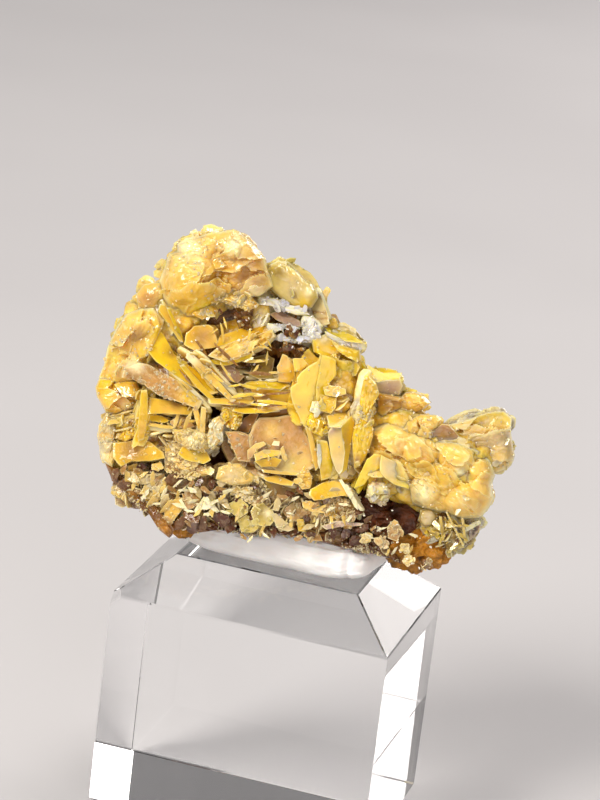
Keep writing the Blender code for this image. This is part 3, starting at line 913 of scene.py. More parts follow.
    def rings(self) -> tuple[Array, int]:
        """How finely the sheet is drawn, by its section and its size in millimetres.

        Returns:
            The steps of its section, and how many points each ring has.
        """
        section = np.array(self.section.value)
        far = float(np.hypot(*(np.array(self.outline) - self.middle()).T).max())
        if self.section is Section.CHIP:
            return section, CHIP_SECTORS
        if self.section is Section.PLATE:
            return section, next(sectors for least, sectors in PLATE_DETAIL if far > least)
        step, sectors = next((step, sectors) for least, step, sectors in CRUST_DETAIL if far > least)
        return np.concatenate([section[step - 1 : CRUST_STEPS : step], section[CRUST_STEPS:]]), sectors

    def shape(self, seed: int) -> Shape:
        """The sheet's closed mesh, with a ring of points for each step of its section.

        Args:
            seed: where its noise starts.

        Returns:
            The mesh, with its stains and pale rims painted.
        """
        hollow, strength, rim_start = 0.55, 0.9, 0.88
        grain = Grain(seed)
        corner = np.array(self.outline) - self.middle()
        section, sectors = self.rings()
        even = np.linspace(0.0, FULL_TURN, sectors, endpoint=False)
        angle = np.unique(np.concatenate([even, np.arctan2(corner[:, 1], corner[:, 0]) % FULL_TURN]))
        rho = np.concatenate([[0.0], np.repeat(section[:, 0], len(angle)), [0.0]])
        tau = np.concatenate([[1.0], np.repeat(section[:, 1], len(angle)), [-1.0]])
        turn = np.concatenate([[0.0], np.tile(angle, len(section)), [0.0]])
        points, raised, place = self.points(rho, tau, turn, grain)
        tint = np.broadcast_to(np.array(self.tint.value), points.shape)
        # Painted shade: the tint deepens to low in the hollows, where the relief is least.
        if self.low is not None:
            depth = (1.0 - smooth(0.0, hollow * max(float(raised.max()), 1e-6), raised))[:, None]
            tint = tint * (1.0 - depth) + np.array(self.low.value) * depth
        for middle_u, middle_v, far, paint in self.stains:
            away = np.hypot(place[:, 0] - middle_u, place[:, 1] - middle_v) / far
            share = strength * np.exp(-(away**2))[:, None]
            tint = tint * (1.0 - share) + np.array(paint.value) * share
        # Pale rims and plate edges: partly the crystal's paler edge, partly painted rim glow and highlight.
        edge = self.plating(place[:, 0], place[:, 1], grain)[1] * (tau > 0)
        rim = (self.pale * np.maximum(smooth(rim_start, 1.0, rho), edge))[:, None]
        tint = tint * (1.0 - rim) + np.array(Tint.RIM_AND_HIGHLIGHT.value) * rim
        quads, tris = grid_faces(len(section), len(angle), 1)
        return Shape(points, quads, tris, tint, np.full(len(points), self.frost))

    def growth(self, count: int, size: tuple[float, float], slim: float, seed: int) -> Plates:
        """Small plates that lie on the sheet's front.

        Args:
            count: how many.
            size: the least and the greatest length.
            slim: thickness as a share of the length.
            seed: where chance starts. The sheet's own noise starts at the last whole step of seeds.

        Returns:
            The plates.
        """
        pale, frostier, tilt = 0.8, 0.1, 30.0
        chance = np.random.default_rng(seed)
        rho = np.sqrt(chance.uniform(0.0, 1.0, count))
        turn = chance.uniform(0.0, FULL_TURN, count)
        grain = Grain(seed - seed % SHEET_SEEDS)
        centre = self.points(rho, np.full(count, 1.0), turn, grain)[0]
        tint = np.broadcast_to(np.array(self.tint.value), (count, 3))
        grown = with_sizes(blank_plates(centre, tint, pale, self.frost + frostier), size, slim, chance)
        lie = rotation("X", np.array(math.pi / 2))
        grown.axes = lie @ tumbled(tilt, chance.uniform(0.0, FULL_TURN, count), chance)
        return grown


class Finish:
    """Base of the finishes: each makes its material once and keeps it."""

    name: str

    def material(self) -> bpy.types.Material:
        """The material, made the first time that it is asked for."""
        made = bpy.data.materials.get(self.name)
        if made is None:
            made = bpy.data.materials.new(self.name)
            made.use_nodes = True
            self.dress(made.node_tree)
        return made

    def dress(self, tree: bpy.types.NodeTree) -> None:
        """Sets the shader and its pattern."""
        raise NotImplementedError


class Wiring:
    """A short way to add and join shader nodes."""

    def __init__(self, tree: bpy.types.NodeTree) -> None:
        """Holds the tree and its Principled shader."""
        self.tree = tree
        self.shader = tree.nodes["Principled BSDF"]

    def node(self, kind: str, **values: object) -> bpy.types.Node:
        """Adds a node, with settings by attribute name and socket values by socket name."""
        made = self.tree.nodes.new(kind)
        for key, value in values.items():
            if hasattr(made, key):
                setattr(made, key, value)
            else:
                made.inputs[key.replace("_", " ")].default_value = value
        return made

    def join(self, source: bpy.types.NodeSocket, target: bpy.types.NodeSocket) -> None:
        """Links two sockets."""
        self.tree.links.new(source, target)

    def noise(self, per_mm: float, detail: float = 3.0, rough: float = 0.55) -> bpy.types.NodeSocket:
        """Noise over the object's own millimetres, as one number."""
        place = self.node("ShaderNodeTexCoord")
        made = self.node("ShaderNodeTexNoise", Scale=per_mm / MM, Detail=detail, Roughness=rough)
        self.join(place.outputs["Object"], made.inputs["Vector"])
        return made.outputs["Fac"]

    def ranged(
        self, value: bpy.types.NodeSocket, old: tuple[float, float], new: tuple[float, float]
    ) -> bpy.types.NodeSocket:
        """Takes a value from one range to another and clamps it there."""
        made = self.node("ShaderNodeMapRange")
        for socket, number in zip(("From Min", "From Max", "To Min", "To Max"), old + new):
            made.inputs[socket].default_value = number
        self.join(value, made.inputs["Value"])
        return made.outputs["Result"]

    def math(self, operation: str, first: object, second: object) -> bpy.types.NodeSocket:
        """One step of arithmetic on sockets or numbers."""
        made = self.node("ShaderNodeMath", operation=operation)
        for socket, value in zip(made.inputs, (first, second)):
            if isinstance(value, (int, float)):
                socket.default_value = value
            else:
                self.join(value, socket)
        return made.outputs[0]

    def mixed(self, share: object, first: object, second: object, blend: str = "MIX") -> bpy.types.NodeSocket:
        """Mixes two colours, given as sockets or as red, green and blue."""
        made = self.node("ShaderNodeMix", data_type="RGBA", blend_type=blend)
        for socket, value in zip((made.inputs[0], made.inputs[6], made.inputs[7]), (share, first, second)):
            if isinstance(value, (int, float)):
                socket.default_value = value
            elif isinstance(value, tuple):
                socket.default_value = (*value, 1.0)
            else:
                self.join(value, socket)
        return made.outputs[2]

    def settings(self, values: dict[str, object]) -> None:
        """Sets the shader's sockets by their names."""
        for socket, value in values.items():
            self.shader.inputs[socket].default_value = value

    def bump(self, height: bpy.types.NodeSocket, strength: float, depth: float) -> None:
        """Raises the surface by a height, over a depth in millimetres."""
        made = self.node("ShaderNodeBump", Strength=strength, Distance=depth * MM)
        self.join(height, made.inputs["Height"])
        self.join(made.outputs["Normal"], self.shader.inputs["Normal"])

    def cut_faces(self, per_mm: float) -> bpy.types.NodeSocket:
        """Heights of small flat faces: in each cell, how far a place lies along the cell's own direction."""
        place = self.node("ShaderNodeTexCoord")
        scaled = self.node("ShaderNodeVectorMath", operation="SCALE")
        scaled.inputs["Scale"].default_value = per_mm / MM
        self.join(place.outputs["Object"], scaled.inputs[0])
        cell = self.node("ShaderNodeTexVoronoi", Scale=1.0)
        self.join(scaled.outputs[0], cell.inputs["Vector"])
        offset = self.node("ShaderNodeVectorMath", operation="SUBTRACT")
        self.join(scaled.outputs[0], offset.inputs[0])
        self.join(cell.outputs["Position"], offset.inputs[1])
        tilt = self.node("ShaderNodeVectorMath", operation="SUBTRACT")
        self.join(cell.outputs["Color"], tilt.inputs[0])
        tilt.inputs[1].default_value = (0.5, 0.5, 0.5)
        height = self.node("ShaderNodeVectorMath", operation="DOT_PRODUCT")
        self.join(offset.outputs[0], height.inputs[0])
        self.join(tilt.outputs[0], height.inputs[1])
        return height.outputs["Value"]

    def attribute(self, name: str) -> bpy.types.Node:
        """A painted value of the mesh."""
        return self.node("ShaderNodeAttribute", attribute_name=name)


@dataclass(frozen=True)
class Mineral(Finish):
    """Translucent wulfenite: painted tint, frosty where it is painted so, with light spread inside it.

    gloss is the roughness where there is no frost, inside the share of light that spreads and reach how
    far in millimetres, clear the share that passes through, and grit the strength of the bump.
    """

    name: str
    gloss: float = 0.22
    inside: float = 0.55
    reach: float = 1.3
    clear: float = 0.0
    grit: float = 0.35

    def dress(self, tree: bpy.types.NodeTree) -> None:
        """Tint with cloudy variation, whitened and roughened by frost, over a fine crystalline bump."""
        wire = Wiring(tree)
        tint = wire.attribute("tint").outputs["Color"]
        frost = wire.attribute("frost").outputs["Fac"]
        cloud = wire.ranged(wire.noise(0.55, 4.0), (0.3, 0.7), (0.76, 1.1))
        shade = wire.node("ShaderNodeCombineColor")
        for socket in shade.inputs[:3]:
            wire.join(cloud, socket)
        base = wire.mixed(1.0, tint, shade.outputs[0], "MULTIPLY")
        speck = wire.ranged(wire.noise(2.6, 3.0), (0.46, 0.64), (0.0, 1.0))
        white = wire.math("MULTIPLY", frost, speck)
        base = wire.mixed(white, base, Tint.FROST.value)
        stain = wire.ranged(wire.noise(0.9, 5.0, 0.65), (0.66, 0.78), (0.0, 0.35))
        base = wire.mixed(stain, base, Tint.AMBER.value)
        wire.join(base, wire.shader.inputs["Base Color"])
        frosted = wire.ranged(frost, (0.0, 1.0), (self.gloss, self.gloss + 0.4))
        uneven = wire.ranged(wire.noise(1.7), (0.35, 0.7), (-0.06, 0.1))
        wire.join(wire.math("ADD", frosted, uneven), wire.shader.inputs["Roughness"])
        wire.settings(
            {
                "IOR": 1.6,
                "Subsurface Weight": self.inside,
                "Subsurface Radius": (1.0, 0.82, 0.28),
                "Subsurface Scale": self.reach * MM,
                "Transmission Weight": self.clear,
            }
        )
        wire.bump(wire.math("ADD", wire.noise(1.6, 4.0, 0.6), wire.cut_faces(2.2)), self.grit, 0.3)


@dataclass(frozen=True)
class Ironstone(Finish):
    """Limonite and goethite: painted browns with dark veins and ochre dust, glossy in patches."""

    name: str = "iron_stone"

    def dress(self, tree: bpy.types.NodeTree) -> None:
        """Painted tint broken by dark veins and ochre dust, with a coarse and a fine bump."""
        wire = Wiring(tree)
        tint = wire.attribute("tint").outputs["Color"]
        dark = wire.ranged(wire.noise(0.6, 5.0, 0.6), (0.45, 0.64), (0.0, 0.75))
        base = wire.mixed(dark, tint, Tint.BLACK_ROCK.value)
        dust = wire.ranged(wire.noise(1.4, 6.0, 0.7), (0.6, 0.72), (0.0, 0.25))
        base = wire.mixed(dust, base, Tint.TAN.value)
        wire.join(base, wire.shader.inputs["Base Color"])
        rough = wire.ranged(wire.noise(0.8, 3.0), (0.4, 0.7), (0.06, 0.4))
        wire.join(rough, wire.shader.inputs["Roughness"])
        wire.settings(
            {
                "IOR": 1.62,
                "Specular IOR Level": 0.22,
                "Subsurface Weight": 0.15,
                "Subsurface Radius": (1.0, 0.35, 0.1),
                "Subsurface Scale": 0.5 * MM,
            }
        )
        wire.bump(wire.math("ADD", wire.noise(2.0, 6.0, 0.7), wire.cut_faces(1.1)), 0.6, 0.5)


@dataclass(frozen=True)
class PuttyFinish(Finish):
    """White mounting putty, faintly pink, matt with a little sheen."""

    name: str = "pressed_putty"

    def dress(self, tree: bpy.types.NodeTree) -> None:
        """Near-white with faint clouds and soft stretch marks."""
        wire = Wiring(tree)
        cloud = wire.ranged(wire.noise(0.3, 2.0), (0.3, 0.7), (0.0, 1.0))
        base = wire.mixed(cloud, (0.93, 0.88, 0.86), (0.98, 0.95, 0.93))
        wire.join(base, wire.shader.inputs["Base Color"])
        wire.settings(
            {
                "Roughness": 0.8,
                "Specular IOR Level": 0.2,
                "Subsurface Weight": 0.5,
                "Subsurface Radius": (1.0, 0.8, 0.7),
                "Subsurface Scale": 1.2 * MM,
            }
        )
        wire.bump(wire.noise(0.7, 4.0, 0.5), 0.5, 0.3)


@dataclass(frozen=True)
class Acrylic(Finish):
    """Clear polished acrylic with faint hairline scuffs."""

    name: str = "clear_acrylic"

    def dress(self, tree: bpy.types.NodeTree) -> None:
        """Plain transmission at the index of acrylic, with roughness that rises a little in scuffs."""
        wire = Wiring(tree)
        scuff = wire.ranged(wire.noise(0.7, 5.0, 0.7), (0.6, 0.75), (0.006, 0.05))
        wire.join(scuff, wire.shader.inputs["Roughness"])
        wire.settings({"Base Color": (0.985, 0.99, 0.995, 1.0), "IOR": 1.49, "Transmission Weight": 1.0})


@dataclass(frozen=True)
class Backdrop(Finish):
    """The pale studio sweep."""

    name: str = "backdrop"

    def dress(self, tree: bpy.types.NodeTree) -> None:
        """A matt pale grey with the faintest cloud."""
        wire = Wiring(tree)
        cloud = wire.ranged(wire.noise(0.01, 2.0), (0.3, 0.7), (0.0, 1.0))
        base = wire.mixed(cloud, (0.47, 0.46, 0.47), (0.50, 0.49, 0.50))
        wire.join(base, wire.shader.inputs["Base Color"])
        wire.join(base, wire.shader.inputs["Emission Color"])
        wire.settings({"Emission Strength": 0.1, "Roughness": 0.9})


class Slot(Enum):
    """The record's material slots, with the finish that each node of wulfenite wears."""

    CREAM = ("wulfenite_cream", Mineral("cream_wulfenite", 0.10, 0.7, 1.5, 0.0, 0.22))
    PALE = ("wulfenite_pale", Mineral("pale_wulfenite", 0.10, 0.6, 1.4, 0.1, 0.2))
    LEMON = ("wulfenite_lemon", Mineral("lemon_wulfenite", 0.12, 0.55, 1.2, 0.0, 0.12))
    HONEY = ("wulfenite_honey", Mineral("honey_wulfenite", 0.13, 0.5, 1.0, 0.0, 0.2))
    PEACH = ("wulfenite_peach", Mineral("peach_wulfenite", 0.18, 0.5, 1.0, 0.0, 0.2))
    TAN = ("wulfenite_tan", Mineral("tan_wulfenite", 0.16, 0.35, 0.6, 0.0, 0.4))


@dataclass
class Cluster:
    """A node's crystals: traced sheets, listed plates, their roots, and the growth on all of them.

    stacks counts the parallel plates beside each listed one. plates_on, blades_on and sugar count the
    small plates, the blades that stand on the roots, and the grains. turn and blade_turn say how far
    they turn out of their parents' lie. Painted shade deepens the tint to deep at the roots, by shade.
    set_back moves the listed plates behind the sheets, and mix gives the tints that the small growth
    draws from.
    """

    node: str
    slot: Slot
    roots: list[Lump]
    crystals: list[Crystal]
    rim: Rim = Rim.SHARP
    ragged: float = 0.02
    relief: float = 0.12
    stacks: int = 3
    stack_spread: float = 1.6
    plates_on: int = 150
    plate_size: tuple[float, float] = (0.6, 1.6)
    blades_on: int = 150
    blade_size: tuple[float, float] = (0.8, 2.0)
    sugar: int = 1500
    sugar_size: tuple[float, float] = (0.12, 0.34)
    turn: float = 25.0
    blade_turn: float = 22.0
    deep: Tint = Tint.AMBER
    shade: float = 0.8
    back: float = -0.2
    sheets: tuple[Sheet, ...] = ()
    set_back: float = 0.9
    mix: tuple[Tint, ...] = ()
    seed: int = 0

    CHIP_SIZE = (0.3, 0.95)
    CHIP_SLIM = 0.12
    DUST_SIZE = (0.10, 0.30)
    DUST_SLIM = 0.6
    BLADE_SLIM = 0.1
    SUGAR_SLIM = 0.5
    SUGAR_TURN = 90.0
    SUGAR_FROST = 0.2
    FLAT_TWIRL = 8.0
    ROUND_TWIRL = 25.0
    MAIN_SECTORS = 56
    SIDE_SECTORS = 28
    SMALL_SECTORS = 9
    SMALL_RAGGED = 0.10
    SMALL_RELIEF = 0.1
    GRAIN_SECTORS = 5
    ROOT_ROWS = 40
    ROOT_ROUGH = 0.7
    CREASE = 32.0

    def shaded(self, shape: Shape) -> Shape:
        """Paints shade towards the roots: the tint deepens wholly inside a root's ball, and not at all a
        third beyond it. On the roots themselves it is partly their own darker colour.

        Args:
            shape: what is painted.

        Returns:
            The same shape.
        """
        middle, half, _ = lump_arrays(self.roots)
        near = np.linalg.norm((shape.points[:, None, :] - middle) / half, axis=2).min(axis=1)
        share = self.shade * (1.0 - smooth(0.8, 1.35, near))[:, None]
        shape.tint = shape.tint * (1.0 - share) + np.array(self.deep.value) * share
        return shape

    def mottled(self, grown: Plates, seed: int) -> Plates:
        """Draws each small crystal's tint from the node's mix, when it has one.

        Args:
            grown: what is painted.
            seed: where chance starts.

        Returns:
            The same plates.
        """
        if self.mix:
            chance = np.random.default_rng(seed)
            pick = chance.integers(0, len(self.mix), len(grown))
            paint = np.array([tint.value for tint in self.mix])[pick]
            grown.tint = paint * chance.uniform(0.55, 1.0, (len(grown), 1))
        return grown

    def on_sheets(self) -> tuple[list[Shape], list[Plates], list[Plates]]:
        """The traced sheets' meshes, the chips on each and the dust on each."""
        laid, chips, dust = [], [], []
        for index, sheet in enumerate(self.sheets):
            seed = self.seed + SHEET_SEEDS * index
            grains = round(sheet.sugar * (0.35 + sheet.frost))
            laid.append(sheet.shape(seed))
            chips.append(sheet.growth(sheet.chips, self.CHIP_SIZE, self.CHIP_SLIM, seed + 1))
            dust.append(sheet.growth(grains, self.DUST_SIZE, self.DUST_SLIM, seed + 2))
        return laid, chips, dust

    def build(self) -> list[bpy.types.Object]:
        """Makes the node's pieces.

        Returns:
            The main piece, and the fine growth as a second one.
        """
        seed = self.seed
        main = plates_from(self.crystals)
        main.centre[:, 1] += self.set_back
        laid, chips, dust = self.on_sheets()
        each = np.array(
            [self.stacks if crystal.stack is None else crystal.stack for crystal in self.crystals]
        )
        twirl = self.FLAT_TWIRL if self.rim is Rim.SHARP else self.ROUND_TWIRL
        beside = stacked(main, each, self.stack_spread, twirl, seed + 1)
        large = Plates.joined([main, beside])
        seated = on_faces(large, self.plates_on, self.plate_size, self.CHIP_SLIM, self.turn, seed + 2)
        standing = on_lumps(
            self.roots, main, self.blades_on, self.blade_size, self.BLADE_SLIM, self.blade_turn, self.back,
            seed + 3,
        )
        seated, standing = self.mottled(seated, seed + 10), self.mottled(standing, seed + 11)
        under = Plates.joined([main, beside, seated])
        grains = on_faces(under, self.sugar, self.sugar_size, self.SUGAR_SLIM, self.SUGAR_TURN, seed + 4)
        grains.frost = np.clip(grains.frost + self.SUGAR_FROST, 0.0, 1.0)
        big = Shape.joined(
            [
                self.shaded(main.shape(self.rim, self.MAIN_SECTORS, self.ragged, self.relief, seed + 5)),
                self.shaded(beside.shape(self.rim, self.SIDE_SECTORS, self.ragged, self.relief, seed + 6)),
                self.shaded(lumps_shape(self.roots, self.ROOT_ROWS, self.ROOT_ROUGH, Grain(seed + 7), False)),
                *laid,
            ]
        )
        small = (Rim.SMALL, self.SMALL_SECTORS, self.SMALL_RAGGED, self.SMALL_RELIEF)
        fine = Shape.joined(
            [
                Plates.joined([seated, *chips]).shape(*small, seed + 8),
                self.shaded(standing.shape(*small, seed + 12)),
                Plates.joined([grains, *dust]).shape(Rim.GRAIN, self.GRAIN_SECTORS, 0.0, 0.0, seed + 9),
            ]
        )
        made = []
        for name, shape in ((self.node + "_crystals", big), (self.node + "_growth", fine)):
            shape.points = STAND.world(shape.points)
            piece = shape.build(name, self.slot.value[1], self.CREASE)
            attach(piece, "root")
            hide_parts(self.node)
            made.append(piece)
            LOG.info("%s: %d faces", name, len(piece.data.polygons))
        return made


def bits(
    places: tuple[tuple[float, float, float], ...],
    d: float,
    tint: Tint,
    pale: float,
    seed: int,
    slim: float = 1.0,
    lean: float = 0.0,
    spread: float = 90.0,
) -> tuple[Sheet, ...]:
    """Small angular chips and blades with five to seven uneven corners each, also dark bits of rock in the
    hollows and dark slits of painted shade between blades.

    At the specimen's left end, past edge, they are set back by a quarter of a millimetre for each one.

    Args:
        places: where each lies across and up, and its reach.
        d: their depth.
        tint: their colour.
        pale: how pale their rims are.
        seed: where chance starts.
        slim: their width as a share of their length.
        lean: the way their length lies, in degrees from level.
        spread: how far it may differ from that, in degrees.

    Returns:
        One sheet for each.
    """
    thick, frost, rise, edge, most_back = 0.18, 0.1, 0.5, -9.5, 0.9
    chance = np.random.default_rng(seed)
    made = []
    for u, v, reach in places:
        count = int(chance.integers(5, 8))
        turn = (np.arange(count) + chance.uniform(-0.3, 0.3, count)) * FULL_TURN / count
        far = reach * chance.uniform(0.7, 1.3, count) / math.sqrt(slim)
        lie = math.radians(lean + chance.uniform(-spread, spread))
        along, across = far * np.cos(turn), far * slim * np.sin(turn)
        corner_u = u + along * math.cos(lie) - across * math.sin(lie)
        corner_v = v + along * math.sin(lie) + across * math.cos(lie)
        outline = tuple(zip(corner_u.tolist(), corner_v.tolist()))
        steepest = rise / float(far.max())
        slopes = tuple(np.clip(chance.normal(0.0, 0.6, 2), -steepest, steepest).tolist())
        depth = d + chance.uniform(-0.3, 0.3) + min(most_back, 0.25 * max(0.0, edge - u))
        made.append(Sheet(outline, depth, slopes, thick, tint, None, pale, frost, Section.CHIP, sugar=2))
    return tuple(made)


def scattered(
    middle: tuple[float, float], half: tuple[float, float], count: int, reach: float, seed: int
) -> tuple[tuple[float, float, float], ...]:
    """Places spread evenly by chance over an oval, each with half to all of the greatest reach.

    Args:
        middle: the oval's middle, across and up.
        half: its half width and half height.
        count: how many places.
        reach: the greatest reach.
        seed: where chance starts.

    Returns:
        Each place across and up, and its reach, as bits takes them.
    """
    chance = np.random.default_rng(seed)
    turn = chance.uniform(0.0, 2.0 * math.pi, count)
    share = np.sqrt(chance.uniform(0.0, 1.0, count))
    across = middle[0] + half[0] * share * np.cos(turn)
    up = middle[1] + half[1] * share * np.sin(turn)
    return tuple(zip(across.tolist(), up.tolist(), (reach * chance.uniform(0.5, 1.0, count)).tolist()))


# The traced plates and crusts of each node, read off the specimen.
UPPER_LEFT_CRUST_SHEETS: tuple[Sheet, ...] = (
    Sheet(
        ((-15.6, 29.3), (-15.4, 30.3), (-15.0, 32.1), (-14.2, 32.5), (-14.3, 33.2), (-13.5, 34.0),
         (-12.1, 34.3), (-11.0, 34.9), (-10.1, 35.0), (-8.9, 35.4), (-8.2, 35.2), (-6.5, 34.0),
         (-5.4, 32.9), (-4.9, 31.6), (-4.2, 30.2), (-5.5, 29.0), (-8.5, 28.2), (-10.0, 27.6), (-10.5, 26.6),
         (-12.5, 26.0), (-14.2, 26.6), (-15.2, 27.8)),
        -2.2, (0.0, 0.12), 2.6, Tint.CREAM, Tint.WAX, 0.7, 0.1, Section.CRUST, 0.2, 1.3, 30.0,
        ((-12.7, 29.9, 2.75, 1.5), (-13.4, 33.2, 1.1, 0.7), (-11.5, 33.9, 1.4, 0.8),
         (-8.8, 33.4, 1.05, 1.0), (-7.2, 33.6, 1.6, 0.5), (-14.6, 31.4, 1.0, 0.6), (-6.6, 31.4, 2.0, 0.6),
         (-8.2, 30.4, 1.3, 0.5), (-12.0, 32.5, 1.2, 0.7), (-10.0, 34.2, 1.2, 0.6), (-11.5, 27.1, 1.3, 0.5)),
        ((-9.7, 30.7, 1.0, Tint.DEEP), (-9.6, 32.3, 0.8, Tint.DEEP), (-6.7, 31.0, 2.2, Tint.PEACH),
         (-12.2, 28.6, 2.0, Tint.HONEY), (-13.3, 33.1, 1.3, Tint.RIM_AND_HIGHLIGHT), (-8.8, 33.5, 1.1, Tint.RIM_AND_HIGHLIGHT),
         (-11.0, 26.9, 1.2, Tint.BRIGHT), (-6.2, 29.4, 1.0, Tint.FROST)),
        3, 200, plates=30, plate=2.1,
    ),
    Sheet(
        ((-15.4, 29.3), (-17.0, 28.9), (-17.8, 27.8), (-17.4, 26.3), (-16.2, 25.4), (-14.8, 26.0),
         (-14.6, 27.8)),
        -1.9, (-0.3, 0.1), 1.6, Tint.CREAM, Tint.WAX, 0.6, 0.0, Section.CRUST, 0.2, 1.2, 60.0,
        ((-16.6, 27.6, 1.1, 0.4), (-15.6, 28.4, 0.9, 0.3)), ((-16.6, 27.4, 1.1, Tint.PEACH),), 2, 30,
    ),
    Sheet(
        ((-17.2, 26.4), (-18.5, 25.7), (-19.3, 24.2), (-19.9, 22.6), (-20.1, 20.4), (-20.5, 18.9),
         (-18.5, 18.5), (-16.8, 19.2), (-16.2, 20.2), (-15.4, 21.5), (-15.0, 23.6), (-14.6, 25.4),
         (-15.8, 26.6)),
        -2.5, (-0.35, 0.05), 2.2, Tint.CREAM, Tint.WAX, 0.8, 0.05, Section.CRUST, 0.2, 1.5, 75.0,
        ((-17.0, 20.6, 0.9, 0.4), (-18.4, 22.2, 1.6, 0.4), (-17.6, 24.6, 1.6, 0.5), (-19.2, 20.2, 0.9, 0.3),
         (-16.4, 22.6, 1.0, 0.3)),
        ((-17.0, 23.6, 0.9, Tint.PEACH), (-16.6, 21.8, 0.9, Tint.HONEY), (-15.4, 24.2, 0.9, Tint.BRIGHT),
         (-17.4, 20.4, 0.9, Tint.FROST)),
        3, 160, plates=18, plate=1.8,
    ),
    Sheet(
        ((-20.4, 18.9), (-20.7, 18.0), (-20.4, 17.0), (-19.4, 15.7), (-18.4, 15.5), (-16.3, 16.5),
         (-15.9, 18.2), (-16.6, 19.1), (-18.4, 19.1)),
        -2.6, (-0.25, 0.15), 1.6, Tint.WAX, Tint.HONEY, 0.7, 0.0, Section.CRUST, 0.12, 2.5, 10.0,
        ((-18.4, 17.6, 1.8, 0.2),), ((-18.0, 16.8, 0.9, Tint.PEACH), (-17.2, 16.2, 0.6, Tint.RIM_AND_HIGHLIGHT)), 1, 20,
        plates=5, plate=1.6,
    ),
    Sheet(
        ((-15.3, 27.1), (-14.8, 27.1), (-13.6, 25.3), (-12.5, 23.5), (-12.9, 23.6), (-14.1, 25.0),
         (-15.4, 26.5)),
        -4.3, (0.5, 0.6), 0.5, Tint.WAX, None, 1.0, sugar=4,
    ),
    Sheet(
        ((-14.6, 26.8), (-14.3, 26.8), (-12.9, 24.7), (-12.3, 23.4), (-12.6, 23.5), (-13.4, 24.7)),
        -4.6, (0.9, 0.2), 0.4, Tint.LEMON, None, 1.0, sugar=2,
    ),
    Sheet(
        ((-11.6, 27.6), (-10.4, 27.8), (-9.4, 27.2), (-9.6, 26.6), (-10.9, 26.0), (-12.0, 26.4)),
        -3.6, (0.2, 0.7), 0.7, Tint.WAX, Tint.DEEP, 0.5, 0.1, Section.CRUST, 0.3, 0.9, 20.0,
        ((-10.6, 27.0, 0.8, 0.4),), (), 3, 30,
    ),
    Sheet(
        ((-9.6, 29.2), (-8.4, 29.6), (-6.4, 29.0), (-5.4, 28.2), (-6.4, 27.4), (-8.2, 27.8), (-9.8, 28.2)),
        -3.2, (0.1, 0.5), 0.8, Tint.WAX, Tint.DEEP, 0.4, 0.35, Section.CRUST, 0.55, 0.7, 0.0, (),
        ((-7.4, 28.2, 0.7, Tint.FROST),), 12, 120,
    ),
)

